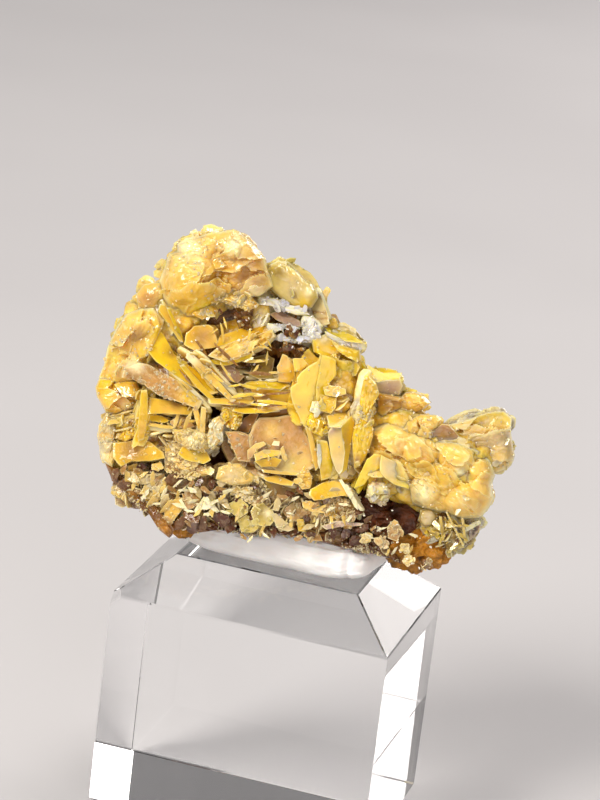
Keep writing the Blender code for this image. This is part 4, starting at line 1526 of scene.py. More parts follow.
UPPER_RIGHT_PLATES_SHEETS: tuple[Sheet, ...] = (
    *bits(
        ((-6.7, 26.2, 0.7), (-7.3, 26.7, 0.5), (-6.2, 25.8, 0.5), (-9.2, 27.0, 0.3), (-2.2, 25.9, 0.5),
         (-1.4, 25.7, 0.45), (-2.0, 24.3, 0.6), (-1.0, 24.0, 0.6), (-0.4, 23.6, 0.4), (-4.5, 23.9, 0.45),
         (-5.4, 22.3, 0.5), (-4.7, 21.9, 0.4), (-2.6, 24.0, 0.4)),
        -3.4, Tint.RED_ROCK, 0.0, 21, 0.7,
    ),
    *bits(
        ((-7.0, 26.0, 0.3), (-6.4, 26.7, 0.3), (-1.8, 25.6, 0.3), (-2.4, 24.6, 0.3), (-1.5, 24.1, 0.35),
         (-0.7, 24.3, 0.3), (-5.1, 22.6, 0.25)),
        -3.8, Tint.AMBER, 0.1, 22, 0.6,
    ),
    # White specks on the rock: partly white grains, partly painted glints.
    *bits(
        ((-6.5, 26.5, 0.12), (-4.3, 24.1, 0.18), (-1.6, 24.4, 0.12), (-7.3, 26.3, 0.1), (-2.3, 26.1, 0.12),
         (-3.0, 26.0, 0.14), (-0.9, 24.9, 0.14), (-5.2, 22.2, 0.1)),
        -4.1, Tint.ICE_AND_GLINT, 0.6, 23, 0.6,
    ),
    Sheet(
        ((-4.9, 32.3), (-4.1, 32.9), (-3.0, 32.8), (-2.3, 32.2), (-1.2, 31.3), (-0.3, 30.9), (0.2, 30.2),
         (0.4, 29.6), (-0.2, 28.5), (-1.2, 28.2), (-2.6, 28.6), (-4.2, 29.6), (-5.2, 30.8)),
        -1.4, (0.1, 0.25), 0.6, Tint.GREENISH, Tint.GREENISH, 0.9, 0.0, Section.CRUST, 0.12, 2.4, -40.0,
        ((-3.9, 32.2, 0.8, 0.15), (-2.3, 30.4, 2.1, 0.12), (-0.7, 30.0, 0.6, 0.15)),
        ((-3.8, 31.6, 0.9, Tint.OLIVE), (-2.2, 30.2, 1.5, Tint.PALE), (-1.0, 28.9, 0.8, Tint.BRIGHT),
         (-0.7, 30.0, 0.5, Tint.RIM_AND_HIGHLIGHT)),
        1, 20, plates=6, plate=2.6,
    ),
    Sheet(
        ((0.0, 30.3), (0.6, 29.9), (1.0, 29.1), (1.5, 28.0), (1.8, 27.2), (1.0, 26.9), (0.2, 27.4),
         (-0.5, 28.6)),
        -1.5, (-0.6, 0.2), 0.5, Tint.PALE, Tint.TAN, 1.0, 0.05, sugar=10,
    ),
    Sheet(
        ((0.3, 29.5), (0.9, 30.6), (1.35, 30.6), (1.25, 29.9), (0.9, 29.1)),
        -0.7, (0.2, 0.0), 0.5, Tint.CREAM, None, 1.0, sugar=0,
    ),
    Sheet(
        ((1.6, 27.6), (1.9, 27.9), (2.4, 27.8), (2.9, 26.7), (2.4, 26.3), (1.6, 26.8)),
        -1.1, (0.0, 0.1), 0.6, Tint.WAX, Tint.GREENISH, 0.6, 0.0, Section.CRUST, 0.1, 1.5, 0.0,
        ((2.1, 27.1, 0.7, 0.15),), (), 0, 4,
    ),
    Sheet(
        ((1.2, 26.8), (2.6, 26.7), (3.4, 26.6), (5.2, 25.9), (5.4, 25.6), (3.6, 25.6), (1.8, 26.2)),
        -2.2, (0.0, 1.6), 0.5, Tint.BRIGHT, None, 0.7, sugar=8,
    ),
    Sheet(
        ((1.4, 26.4), (3.6, 25.7), (5.5, 25.7), (5.8, 25.1), (5.2, 24.8), (3.4, 25.1), (1.6, 25.7)),
        -2.7, (0.0, -0.3), 0.5, Tint.ICE_AND_GLINT, Tint.RIM_AND_HIGHLIGHT, 0.9, 0.2, Section.CRUST, 0.15, 0.9, -10.0, (), (), 3,
        50,
    ),
    Sheet(
        ((-5.7, 29.0), (-3.9, 29.1), (-2.6, 28.6), (-0.8, 28.4), (-0.2, 27.8), (-1.6, 27.6), (-3.0, 27.9),
         (-4.4, 28.2), (-5.6, 28.2)),
        -2.4, (0.0, 0.4), 0.9, Tint.ICE_AND_GLINT, Tint.RIM_AND_HIGHLIGHT, 0.7, 0.1, Section.CRUST, 0.12, 0.9, -15.0, (), (), 8,
        160,
    ),
    Sheet(
        ((-1.0, 27.8), (0.2, 27.7), (1.2, 26.9), (1.0, 26.0), (0.4, 25.0), (-0.5, 25.0), (-0.8, 26.2),
         (-1.1, 27.0)),
        -2.6, (0.0, 0.2), 0.9, Tint.ICE_AND_GLINT, Tint.RIM_AND_HIGHLIGHT, 0.7, 0.1, Section.CRUST, 0.12, 0.9, 60.0, (), (), 8,
        140,
    ),
    Sheet(
        ((-4.6, 26.5), (-3.0, 26.5), (-2.2, 26.7), (-1.0, 26.4), (-1.2, 26.1), (-2.6, 26.1), (-3.4, 25.7),
         (-4.4, 25.6)),
        -2.9, (0.0, 0.2), 0.6, Tint.ICE_AND_GLINT, Tint.RIM_AND_HIGHLIGHT, 0.8, 0.1, Section.CRUST, 0.12, 0.7, 0.0, (), (), 4, 60,
    ),
    Sheet(
        ((-3.6, 25.4), (-1.8, 25.6), (0.1, 25.5), (0.0, 25.0), (-1.6, 24.8), (-2.8, 24.8), (-3.6, 24.9)),
        -2.9, (0.0, 0.3), 0.6, Tint.ICE_AND_GLINT, Tint.CREAM, 0.8, 0.1, Section.CRUST, 0.12, 0.7, 0.0, (), (), 4,
        60,
    ),
    Sheet(
        ((-6.0, 28.4), (-4.4, 28.3), (-4.2, 27.2), (-4.3, 25.6), (-4.6, 24.9), (-6.0, 25.6), (-5.9, 26.6)),
        -2.5, (0.25, 0.2), 0.8, Tint.CREAM, Tint.HONEY, 0.5, 0.1, Section.CRUST, 0.25, 1.2, 50.0, (),
        ((-5.0, 26.6, 0.7, Tint.ICE_AND_GLINT),), 6, 50,
    ),
    Sheet(
        ((-5.0, 26.0), (-4.8, 26.1), (-4.3, 27.4), (-4.5, 27.5)),
        -3.2, (0.2, 0.2), 0.3, Tint.RIM_AND_HIGHLIGHT, None, 1.0, sugar=0,
    ),
    Sheet(
        ((-4.3, 27.4), (-3.4, 27.9), (-2.6, 27.6), (-1.2, 27.1), (-0.9, 26.5), (-2.4, 26.5), (-3.6, 26.9)),
        -2.3, (0.0, 0.9), 0.5, Tint.LILAC, Tint.LILAC, 0.3, 0.1,
        stains=((-3.8, 27.9, 0.5, Tint.AMBER), (-3.9, 26.9, 0.4, Tint.AMBER)), sugar=6,
    ),
    Sheet(
        ((0.2, 25.4), (1.4, 26.1), (3.0, 25.3), (5.2, 24.9), (5.4, 23.9), (6.1, 23.1), (5.8, 22.0),
         (4.4, 21.4), (2.4, 21.4), (1.4, 22.0), (1.4, 23.8), (0.5, 24.2)),
        -3.1, (0.1, 0.2), 1.2, Tint.LEMON, Tint.BRIGHT, 0.5, 0.0, Section.CRUST, 0.16, 2.4, -20.0,
        ((4.2, 23.0, 1.3, 0.35), (1.6, 24.6, 1.2, 0.25), (3.2, 24.6, 1.3, 0.25)),
        ((5.2, 21.9, 0.6, Tint.DEEP), (3.2, 21.8, 0.7, Tint.DEEP), (1.4, 25.6, 0.8, Tint.PALE)), 0, 30,
        plates=5, plate=2.4,
    ),
    Sheet(
        ((3.2, 23.6), (4.8, 23.9), (5.4, 23.3), (5.1, 22.3), (4.3, 22.1), (3.6, 21.9), (3.1, 22.6)),
        -4.0, (0.05, 0.1), 0.5, Tint.LEMON, None, 0.4, sugar=4,
    ),
    Sheet(
        ((6.0, 23.6), (7.6, 22.95), (9.6, 23.2), (9.5, 22.5), (8.0, 22.2), (7.2, 21.9), (6.2, 22.2)),
        -2.4, (0.15, 1.0), 0.4, Tint.BRIGHT, None, 0.4, sugar=6,
    ),
    Sheet(
        ((7.2, 21.9), (8.0, 22.2), (9.5, 22.5), (9.8, 21.9), (9.6, 21.0), (8.0, 20.8), (7.3, 20.6)),
        -2.7, (0.15, -0.3), 0.4, Tint.PALE, None, 0.7, 0.1, stains=((8.6, 21.5, 1.2, Tint.LILAC),),
        sugar=6,
    ),
)

LEMON_BLADES_SHEETS: tuple[Sheet, ...] = (
    Sheet(
        ((1.3, 24.2), (1.2, 23.4), (0.3, 22.8), (-0.4, 22.1), (-0.8, 21.4), (-0.7, 20.9), (-1.3, 20.4),
         (-1.2, 19.6), (-0.9, 18.8), (-0.3, 17.9), (0.1, 17.2), (0.6, 16.5), (1.1, 16.9), (1.3, 18.4),
         (1.6, 20.2), (1.6, 22.4)),
        -5.7, (0.25, 0.05), 0.45, Tint.LEMON, None, 0.5, folds=0.03,
        stains=((0.8, 17.4, 0.8, Tint.BRIGHT),), sugar=10,
    ),
    Sheet(
        ((1.4, 24.0), (2.9, 23.7), (3.1, 22.2), (2.5, 21.2), (2.3, 20.0), (1.5, 19.0), (1.2, 20.6),
         (1.3, 22.4)),
        -5.3, (0.35, 0.1), 0.5, Tint.LEMON, None, 0.3, stains=((2.2, 21.2, 1.2, Tint.BRIGHT),), sugar=10,
    ),
    Sheet(
        ((4.2, 21.2), (5.7, 21.0), (5.6, 18.6), (4.6, 18.4), (4.0, 19.2)),
        -4.6, (0.2, 0.0), 0.5, Tint.AMBER, None, 0.0, stains=((4.8, 20.4, 0.9, Tint.DEEP),), sugar=4,
    ),
    Sheet(
        ((1.9, 20.8), (2.6, 21.1), (4.2, 20.9), (4.3, 20.4), (3.4, 20.0), (2.2, 20.0)),
        -5.9, (0.1, 0.6), 0.5, Tint.CREAM, None, 0.7, folds=0.2, fold=0.7, chips=2, sugar=16,
    ),
    Sheet(
        ((2.1, 20.0), (3.4, 19.9), (3.5, 19.0), (3.0, 18.2), (2.0, 18.4), (1.8, 19.2)),
        -5.8, (0.1, 0.2), 0.5, Tint.HONEY, None, 0.6, folds=0.15, fold=0.8, chips=2, sugar=12,
    ),
    Sheet(
        ((1.0, 19.3), (2.0, 19.4), (2.2, 18.7), (1.6, 18.0), (0.9, 18.3)),
        -6.0, (0.1, 0.3), 0.4, Tint.RIM_AND_HIGHLIGHT, None, 0.7, 0.3, folds=0.2, fold=0.6, chips=2, sugar=16,
    ),
    Sheet(
        ((0.9, 18.2), (1.8, 18.2), (2.8, 17.4), (3.1, 16.6), (2.4, 15.8), (1.4, 16.2), (0.7, 16.9)),
        -5.7, (0.1, 0.2), 0.8, Tint.LEMON, Tint.BRIGHT, 0.5, 0.1, Section.CRUST, 0.35, 0.9, 60.0, (),
        ((0.9, 17.6, 0.7, Tint.BRIGHT),), 4, 30, plates=9, plate=0.8,
    ),
    Sheet(
        ((2.6, 18.0), (4.4, 18.8), (5.2, 18.5), (5.0, 17.6), (4.2, 17.0), (3.0, 16.9)),
        -6.1, (0.1, 1.2), 0.4, Tint.WAX, None, 0.8, sugar=6,
    ),
    Sheet(
        ((2.9, 16.4), (3.3, 17.0), (4.3, 17.0), (4.9, 14.6), (4.9, 12.7), (4.6, 12.3), (4.2, 12.7),
         (3.5, 14.2)),
        -6.5, (-0.5, 0.0), 0.5, Tint.PALE, None, 1.0,
        stains=((4.0, 15.2, 1.2, Tint.CREAM), (3.2, 16.6, 0.5, Tint.LILAC)), sugar=4,
    ),
    Sheet(
        ((4.2, 17.1), (5.1, 18.4), (5.5, 17.8), (5.4, 15.0), (5.3, 12.9), (4.7, 12.3), (4.8, 14.6)),
        -6.3, (0.9, 0.0), 0.5, Tint.HONEY, None, 0.3, stains=((5.1, 16.0, 1.6, Tint.DEEP),), sugar=6,
    ),
    Sheet(
        ((1.9, 15.6), (3.0, 15.5), (3.6, 14.0), (4.3, 12.2), (3.8, 11.9), (2.9, 11.5), (2.6, 12.6),
         (2.1, 14.0)),
        -5.8, (0.4, 0.0), 0.6, Tint.LEMON, None, 0.6, stains=((3.4, 12.8, 1.0, Tint.BRIGHT),), sugar=6,
    ),
    Sheet(
        ((0.6, 16.8), (1.2, 16.5), (2.0, 14.6), (2.5, 12.8), (2.2, 12.4), (1.8, 13.4), (1.2, 15.2)),
        -5.9, (0.6, 0.1), 0.4, Tint.CREAM, None, 1.0, sugar=4,
    ),
    Sheet(
        ((2.0, 15.4), (2.3, 15.6), (2.7, 13.6), (2.6, 12.6), (2.3, 13.2)),
        -6.3, (0.4, 0.1), 0.3, Tint.RIM_AND_HIGHLIGHT, None, 1.0, sugar=2,
    ),
    Sheet(
        ((5.9, 22.4), (6.2, 22.8), (6.5, 22.4), (7.2, 21.8), (7.6, 20.8), (7.1, 19.6), (7.2, 18.0),
         (7.5, 16.6), (7.3, 15.4), (7.0, 14.2), (6.5, 13.3), (6.0, 13.1), (5.7, 14.4), (5.4, 16.0),
         (5.5, 17.4), (5.9, 18.4), (5.7, 20.0), (5.8, 21.4)),
        -5.7, (0.3, 0.0), 1.2, Tint.LEMON, Tint.BRIGHT, 0.4, 0.25, Section.CRUST, 0.25, 0.7, 85.0, (),
        ((6.2, 14.0, 0.5, Tint.TAN),), 10, 200,
    ),
)

RIGHT_CRUST_SHEETS: tuple[Sheet, ...] = (
    Sheet(
        ((7.2, 17.2), (8.6, 18.2), (10.2, 18.0), (12.0, 17.6), (13.6, 17.0), (16.0, 16.9), (18.2, 16.4),
         (19.4, 15.6), (20.1, 14.2), (19.9, 13.0), (20.3, 11.8), (19.9, 10.8), (19.3, 9.8), (17.4, 9.4),
         (15.6, 9.8), (13.6, 9.9), (12.2, 10.3), (11.6, 11.6), (10.2, 11.9), (9.0, 12.6), (7.2, 14.6),
         (6.9, 16.0)),
        -3.9, (0.04, 0.08), 2.6, Tint.CREAM, Tint.WAX, 0.8, 0.05, Section.CRUST, 0.3, 1.5, -35.0,
        ((12.4, 15.6, 1.7, 0.9), (16.0, 15.2, 1.8, 0.7), (13.2, 11.8, 1.6, 0.9), (17.2, 10.9, 1.8, 1.0),
         (19.0, 12.6, 1.2, 0.7), (15.2, 13.4, 1.4, 0.5), (9.2, 16.4, 1.8, 0.7), (18.4, 14.6, 1.1, 0.6),
         (10.9, 13.6, 1.2, 0.5)),
        ((17.0, 13.0, 0.8, Tint.BRIGHT), (14.4, 13.2, 1.6, Tint.HONEY), (11.6, 14.4, 0.8, Tint.HONEY),
         (12.6, 16.4, 1.2, Tint.CREAM), (13.0, 11.6, 1.2, Tint.RIM_AND_HIGHLIGHT), (17.2, 10.9, 1.2, Tint.CREAM),
         (16.6, 14.0, 0.6, Tint.RIM_AND_HIGHLIGHT)),
        3, 120, plates=52, plate=1.9,
    ),
    Sheet(
        ((7.3, 21.0), (9.8, 20.8), (10.2, 21.3), (11.1, 21.5), (12.1, 21.2), (12.9, 20.6), (12.4, 20.0),
         (11.8, 19.5), (11.3, 18.4), (10.2, 17.7), (8.8, 17.5), (7.3, 18.2), (7.5, 19.8)),
        -2.6, (0.1, 0.1), 1.4, Tint.WAX, Tint.TAN, 0.6, 0.0, Section.CRUST, 0.4, 1.6, 15.0,
        ((11.4, 20.6, 1.2, 0.4), (8.6, 20.2, 1.4, 0.3)),
        ((10.0, 18.6, 1.3, Tint.DEEP), (9.0, 20.0, 1.3, Tint.TAN), (11.4, 20.9, 0.9, Tint.CREAM)), 2, 60,
        plates=9, plate=1.7,
    ),
    Sheet(
        ((10.6, 18.4), (11.9, 19.3), (13.6, 19.4), (14.1, 19.1), (14.0, 18.4), (13.3, 17.8), (13.4, 16.8),
         (12.4, 16.2), (11.0, 16.6), (10.0, 17.4)),
        -3.6, (0.1, 0.15), 1.4, Tint.CREAM, Tint.WAX, 0.7, 0.05, Section.CRUST, 0.35, 1.4, -50.0,
        ((12.4, 17.8, 1.5, 0.6),), (), 2, 40, plates=7, plate=1.4,
    ),
    Sheet(
        ((13.2, 17.8), (14.2, 18.6), (14.8, 18.6), (15.6, 18.0), (16.8, 16.9), (15.0, 16.6), (13.8, 16.5),
         (13.2, 17.0)),
        -3.6, (0.3, 0.1), 0.7, Tint.TAN, None, 0.5, 0.0, folds=0.12, fold=1.4, sugar=10,
    ),
    Sheet(
        ((6.2, 11.1), (6.6, 12.6), (7.2, 14.2), (7.8, 14.8), (8.6, 14.8), (8.7, 13.6), (7.8, 12.8),
         (7.2, 11.6)),
        -6.2, (0.3, 0.0), 0.5, Tint.BRIGHT, None, 0.3, folds=0.03, stains=((8.5, 14.2, 0.5, Tint.PALE),),
        sugar=2,
    ),
    Sheet(
        ((8.5, 14.8), (10.0, 14.3), (11.2, 13.1), (11.9, 12.2), (11.7, 11.7), (10.2, 12.0), (9.2, 12.5),
         (8.5, 13.2)),
        -6.0, (0.3, 0.1), 0.5, Tint.LEMON, None, 0.5, folds=0.05,
        stains=((9.6, 13.6, 1.3, Tint.PALE), (11.2, 12.2, 0.7, Tint.BRIGHT)), sugar=4,
    ),
    Sheet(
        ((7.6, 13.2), (9.0, 13.2), (9.0, 12.6), (8.0, 12.4), (7.4, 12.6)),
        -6.2, (0.1, 1.0), 0.5, Tint.CREAM, None, 0.6, sugar=6,
    ),
    Sheet(
        ((7.5, 11.6), (8.0, 12.1), (9.2, 12.1), (9.9, 11.4), (9.8, 10.4), (9.0, 9.8), (8.0, 9.9),
         (7.5, 10.6)),
        -5.6, (0.0, 0.0), 1.2, Tint.RIM_AND_HIGHLIGHT, Tint.PALE, 0.8, 0.1, Section.CRUST, 0.2, 0.8, 0.0,
        ((8.7, 11.0, 0.8, 0.5), (8.0, 11.6, 0.5, 0.3), (9.4, 11.4, 0.5, 0.3)),
        ((8.4, 11.8, 0.4, Tint.LILAC), (8.8, 10.9, 0.6, Tint.GREENISH)), 5, 30, plates=9, plate=0.8,
    ),
)

RIGHT_FAN_SHEETS: tuple[Sheet, ...] = (
    Sheet(
        ((14.8, 18.6), (16.2, 19.1), (17.2, 19.6), (18.6, 20.3), (20.2, 20.6), (21.0, 20.0), (21.1, 18.6),
         (21.4, 17.4), (21.8, 16.4), (21.5, 15.2), (20.2, 14.4), (19.2, 14.9), (17.6, 16.4), (16.2, 16.8),
         (15.2, 17.8)),
        -1.7, (0.1, 0.12), 0.9, Tint.PALE, Tint.CREAM, 0.9, 0.15, Section.CRUST, 0.2, 0.9, 25.0,
        ((20.4, 16.0, 1.3, 0.35), (20.0, 19.4, 1.2, 0.2)), ((20.2, 15.8, 1.2, Tint.CREAM),), 4, 60,
        plates=6, plate=2.8,
    ),
)

CENTRE_BLADES_SHEETS: tuple[Sheet, ...] = (
    *bits(scattered((-10.2, 20.4), (2.6, 2.2), 6, 0.75, 31), -5.7, Tint.WAX, 0.9, 31, 0.12, -38.0, 14.0),
    # Dark amber slits between the blades: painted shade.
    *bits(scattered((-9.4, 21.2), (2.8, 2.4), 4, 0.6, 32), -5.5, Tint.AMBER, 0.1, 32, 0.1, -38.0, 14.0),
    *bits(scattered((-4.6, 19.4), (3.2, 1.9), 7, 0.7, 33), -6.0, Tint.HONEY, 0.9, 33, 0.12, 6.0, 14.0),
    # Dark amber slits between the blades: painted shade.
    *bits(scattered((-4.6, 19.6), (3.0, 1.9), 4, 0.55, 34), -5.9, Tint.AMBER, 0.1, 34, 0.12, 6.0, 14.0),
    *bits(scattered((-7.0, 24.6), (3.0, 1.5), 7, 0.5, 35), -4.9, Tint.WAX, 0.9, 35, 0.14, -20.0, 70.0),
    *bits(scattered((-4.6, 22.2), (2.0, 1.0), 5, 0.5, 36), -5.2, Tint.CREAM, 0.9, 36, 0.2, 40.0, 60.0),
    Sheet(
        ((-16.3, 23.4), (-15.4, 24.7), (-14.6, 24.2), (-14.0, 23.2), (-13.2, 22.2), (-11.0, 21.0),
         (-9.0, 19.7), (-8.3, 19.0), (-9.0, 18.7), (-11.2, 19.3), (-13.4, 20.4), (-15.0, 21.3),
         (-16.2, 22.4)),
        -4.4, (0.1, 0.35), 0.6, Tint.BRIGHT, None, 0.3, folds=0.04,
        stains=((-14.8, 23.4, 1.2, Tint.LEMON), (-11.0, 20.0, 2.2, Tint.DEEP),
         (-13.4, 22.4, 0.6, Tint.AMBER)),
        chips=4, sugar=20,
    ),
    Sheet(
        ((-12.3, 24.5), (-11.6, 25.3), (-10.2, 25.6), (-9.7, 25.4), (-9.0, 24.0), (-9.2, 23.4),
         (-11.2, 22.8), (-12.4, 23.3)),
        -4.4, (0.1, 0.25), 0.8, Tint.HONEY, None, 0.5, folds=0.06,
        stains=((-10.6, 24.4, 1.2, Tint.PEACH), (-11.8, 24.8, 0.6, Tint.DEEP)), sugar=8,
    ),
    Sheet(
        ((-12.0, 22.6), (-11.4, 22.5), (-9.4, 20.9), (-6.5, 18.4), (-6.9, 18.1), (-9.8, 20.2),
         (-12.0, 22.0)),
        -5.7, (0.2, 0.3), 0.35, Tint.WAX, None, 1.0, folds=0.03, stains=((-11.4, 22.2, 1.0, Tint.FROST),),
        chips=3, sugar=20,
    ),
    Sheet(
        ((-12.6, 21.2), (-12.2, 21.4), (-10.0, 19.5), (-8.2, 18.0), (-8.7, 17.8), (-10.6, 19.2)),
        -5.4, (0.3, 0.4), 0.3, Tint.HONEY, None, 1.0, sugar=4,
    ),
    Sheet(
        ((-18.1, 20.3), (-16.6, 21.0), (-15.6, 20.9), (-14.2, 20.3), (-12.4, 19.6), (-10.6, 18.6),
         (-9.8, 17.9), (-10.2, 17.1), (-12.0, 17.5), (-14.0, 17.9), (-15.4, 18.5), (-16.4, 19.3),
         (-18.2, 19.3)),
        -5.0, (0.1, 0.5), 0.6, Tint.PEACH, None, 0.6, 0.25, folds=0.12, fold=1.2,
        stains=((-17.2, 19.3, 0.5, Tint.AMBER), (-11.2, 18.2, 1.2, Tint.HONEY),
         (-16.8, 20.6, 0.7, Tint.FROST)),
        chips=8, sugar=120,
    ),
    Sheet(
        ((-9.4, 23.4), (-8.9, 24.7), (-7.6, 25.3), (-5.8, 26.1), (-4.3, 26.5), (-4.1, 25.7), (-5.4, 24.9),
         (-7.2, 24.1)),
        -3.5, (0.0, 0.8), 0.6, Tint.DEEP, None, 0.3, folds=0.08, stains=((-7.6, 24.6, 1.2, Tint.HONEY),),
        chips=3, sugar=10,
    ),
    Sheet(
        ((-9.9, 22.5), (-9.1, 23.4), (-7.2, 24.4), (-5.4, 25.1), (-3.8, 26.0), (-3.5, 25.3), (-4.6, 24.2),
         (-5.6, 23.3), (-7.0, 22.5), (-8.2, 22.1)),
        -4.8, (0.05, 0.5), 0.7, Tint.CREAM, Tint.WAX, 0.8, 0.15, Section.CRUST, 0.12, 0.8, 35.0, (), (), 5,
        60, plates=16, plate=0.8,
    ),
    Sheet(
        ((-10.0, 22.1), (-8.2, 22.3), (-7.0, 22.7), (-5.3, 23.5), (-5.5, 22.9), (-6.8, 22.2), (-8.0, 21.7),
         (-9.4, 21.7)),
        -4.9, (0.0, 0.0), 0.5, Tint.BRIGHT, None, 0.6, sugar=6,
    ),
    Sheet(
        ((-8.9, 21.5), (-7.6, 21.9), (-6.6, 21.4), (-6.0, 20.9), (-6.6, 20.1), (-8.0, 20.3), (-8.9, 20.9)),
        -4.1, (0.1, 0.4), 0.6, Tint.TAN, None, 0.4, 0.1, folds=0.12,
        stains=((-7.4, 21.0, 0.9, Tint.LILAC),), sugar=10,
    ),
    Sheet(
        ((-5.8, 22.7), (-4.2, 23.4), (-3.2, 23.0), (-3.3, 21.8), (-2.9, 21.0), (-4.6, 20.8), (-5.6, 21.1),
         (-5.4, 21.9)),
        -3.4, (0.1, 0.6), 0.5, Tint.OLIVE, None, 0.5,
        stains=((-5.2, 22.2, 0.4, Tint.BLACK_ROCK), (-3.2, 22.2, 0.4, Tint.BROWN_ROCK)), sugar=4,
    ),
    Sheet(
        ((-5.9, 22.8), (-5.0, 22.7), (-4.0, 22.9), (-4.0, 22.7), (-5.0, 22.4), (-5.9, 22.5)),
        -3.9, (0.0, 1.5), 0.3, Tint.WAX, sugar=0,
    ),
    Sheet(
        ((-2.9, 22.2), (-2.5, 23.6), (-2.0, 23.5), (-1.2, 22.6), (-0.9, 21.4), (-1.4, 20.8), (-2.6, 20.8),
         (-2.7, 21.6)),
        -4.4, (0.3, 0.0), 0.5, Tint.WAX, None, 0.6, folds=0.1, stains=((-1.6, 21.8, 0.8, Tint.HONEY),),
        sugar=6,
    ),
    Sheet(
        ((-1.4, 23.3), (-0.4, 23.5), (0.2, 22.8), (-0.5, 22.1), (-1.1, 22.0)),
        -4.8, (0.2, 0.1), 0.5, Tint.HONEY, None, 0.7, folds=0.1, sugar=4,
    ),
    Sheet(
        ((-6.0, 20.2), (-5.4, 20.5), (-3.2, 20.8), (-1.5, 20.7), (-1.2, 20.1), (-3.4, 20.0), (-5.2, 19.9)),
        -4.5, (0.0, 1.3), 0.4, Tint.LEMON, None, 0.8, folds=0.04, sugar=6,
    ),
    Sheet(
        ((-5.3, 19.9), (-1.3, 20.1), (-0.9, 18.9), (-1.1, 18.4), (-2.6, 18.0), (-4.0, 17.6), (-5.5, 17.8),
         (-4.5, 18.4), (-4.9, 19.0)),
        -4.4, (0.1, -0.3), 0.5, Tint.DEEP, None, 0.4,
        stains=((-3.6, 19.3, 0.5, Tint.AMBER), (-2.0, 19.4, 1.0, Tint.BRIGHT)), chips=3, sugar=8,
    ),
    Sheet(
        ((-9.4, 18.3), (-7.6, 18.5), (-6.0, 18.7), (-4.6, 18.7), (-4.9, 18.2), (-7.0, 17.9), (-9.2, 17.8)),
        -5.6, (0.0, 1.2), 0.35, Tint.WAX, None, 0.9, folds=0.05, sugar=10,
    ),
    Sheet(
        ((-6.8, 17.6), (-4.6, 17.9), (-1.2, 18.8), (-1.0, 18.4), (-3.4, 17.5), (-5.6, 17.2), (-6.8, 17.3)),
        -5.4, (0.0, 1.0), 0.35, Tint.HONEY, None, 0.8, sugar=6,
    ),
    Sheet(
        ((-4.1, 17.2), (-3.2, 17.7), (-0.6, 18.4), (-0.4, 17.9), (-2.4, 17.3), (-2.7, 16.8), (-4.1, 16.8)),
        -4.3, (0.0, -0.5), 0.4, Tint.AMBER, None, 0.3, stains=((-3.4, 17.1, 0.5, Tint.TAN),), sugar=2,
    ),
    Sheet(
        ((-6.0, 15.3), (-5.5, 16.8), (-4.7, 17.5), (-4.1, 17.3), (-4.9, 15.3)),
        -4.6, (-0.6, 0.0), 0.4, Tint.AMBER, None, 0.6, stains=((-5.6, 16.2, 0.5, Tint.LILAC),), sugar=2,
    ),
    Sheet(
        ((-8.0, 17.8), (-6.4, 17.9), (-5.6, 17.2), (-5.8, 16.0), (-6.2, 15.4), (-7.2, 15.6), (-7.8, 16.6)),
        -5.0, (0.2, 0.1), 0.9, Tint.LEMON, Tint.DEEP, 0.5, 0.2, Section.CRUST, 0.6, 0.6, 60.0, (),
        ((-6.2, 17.0, 0.6, Tint.BRIGHT),), 8, 70, plates=9, plate=0.8,
    ),
)

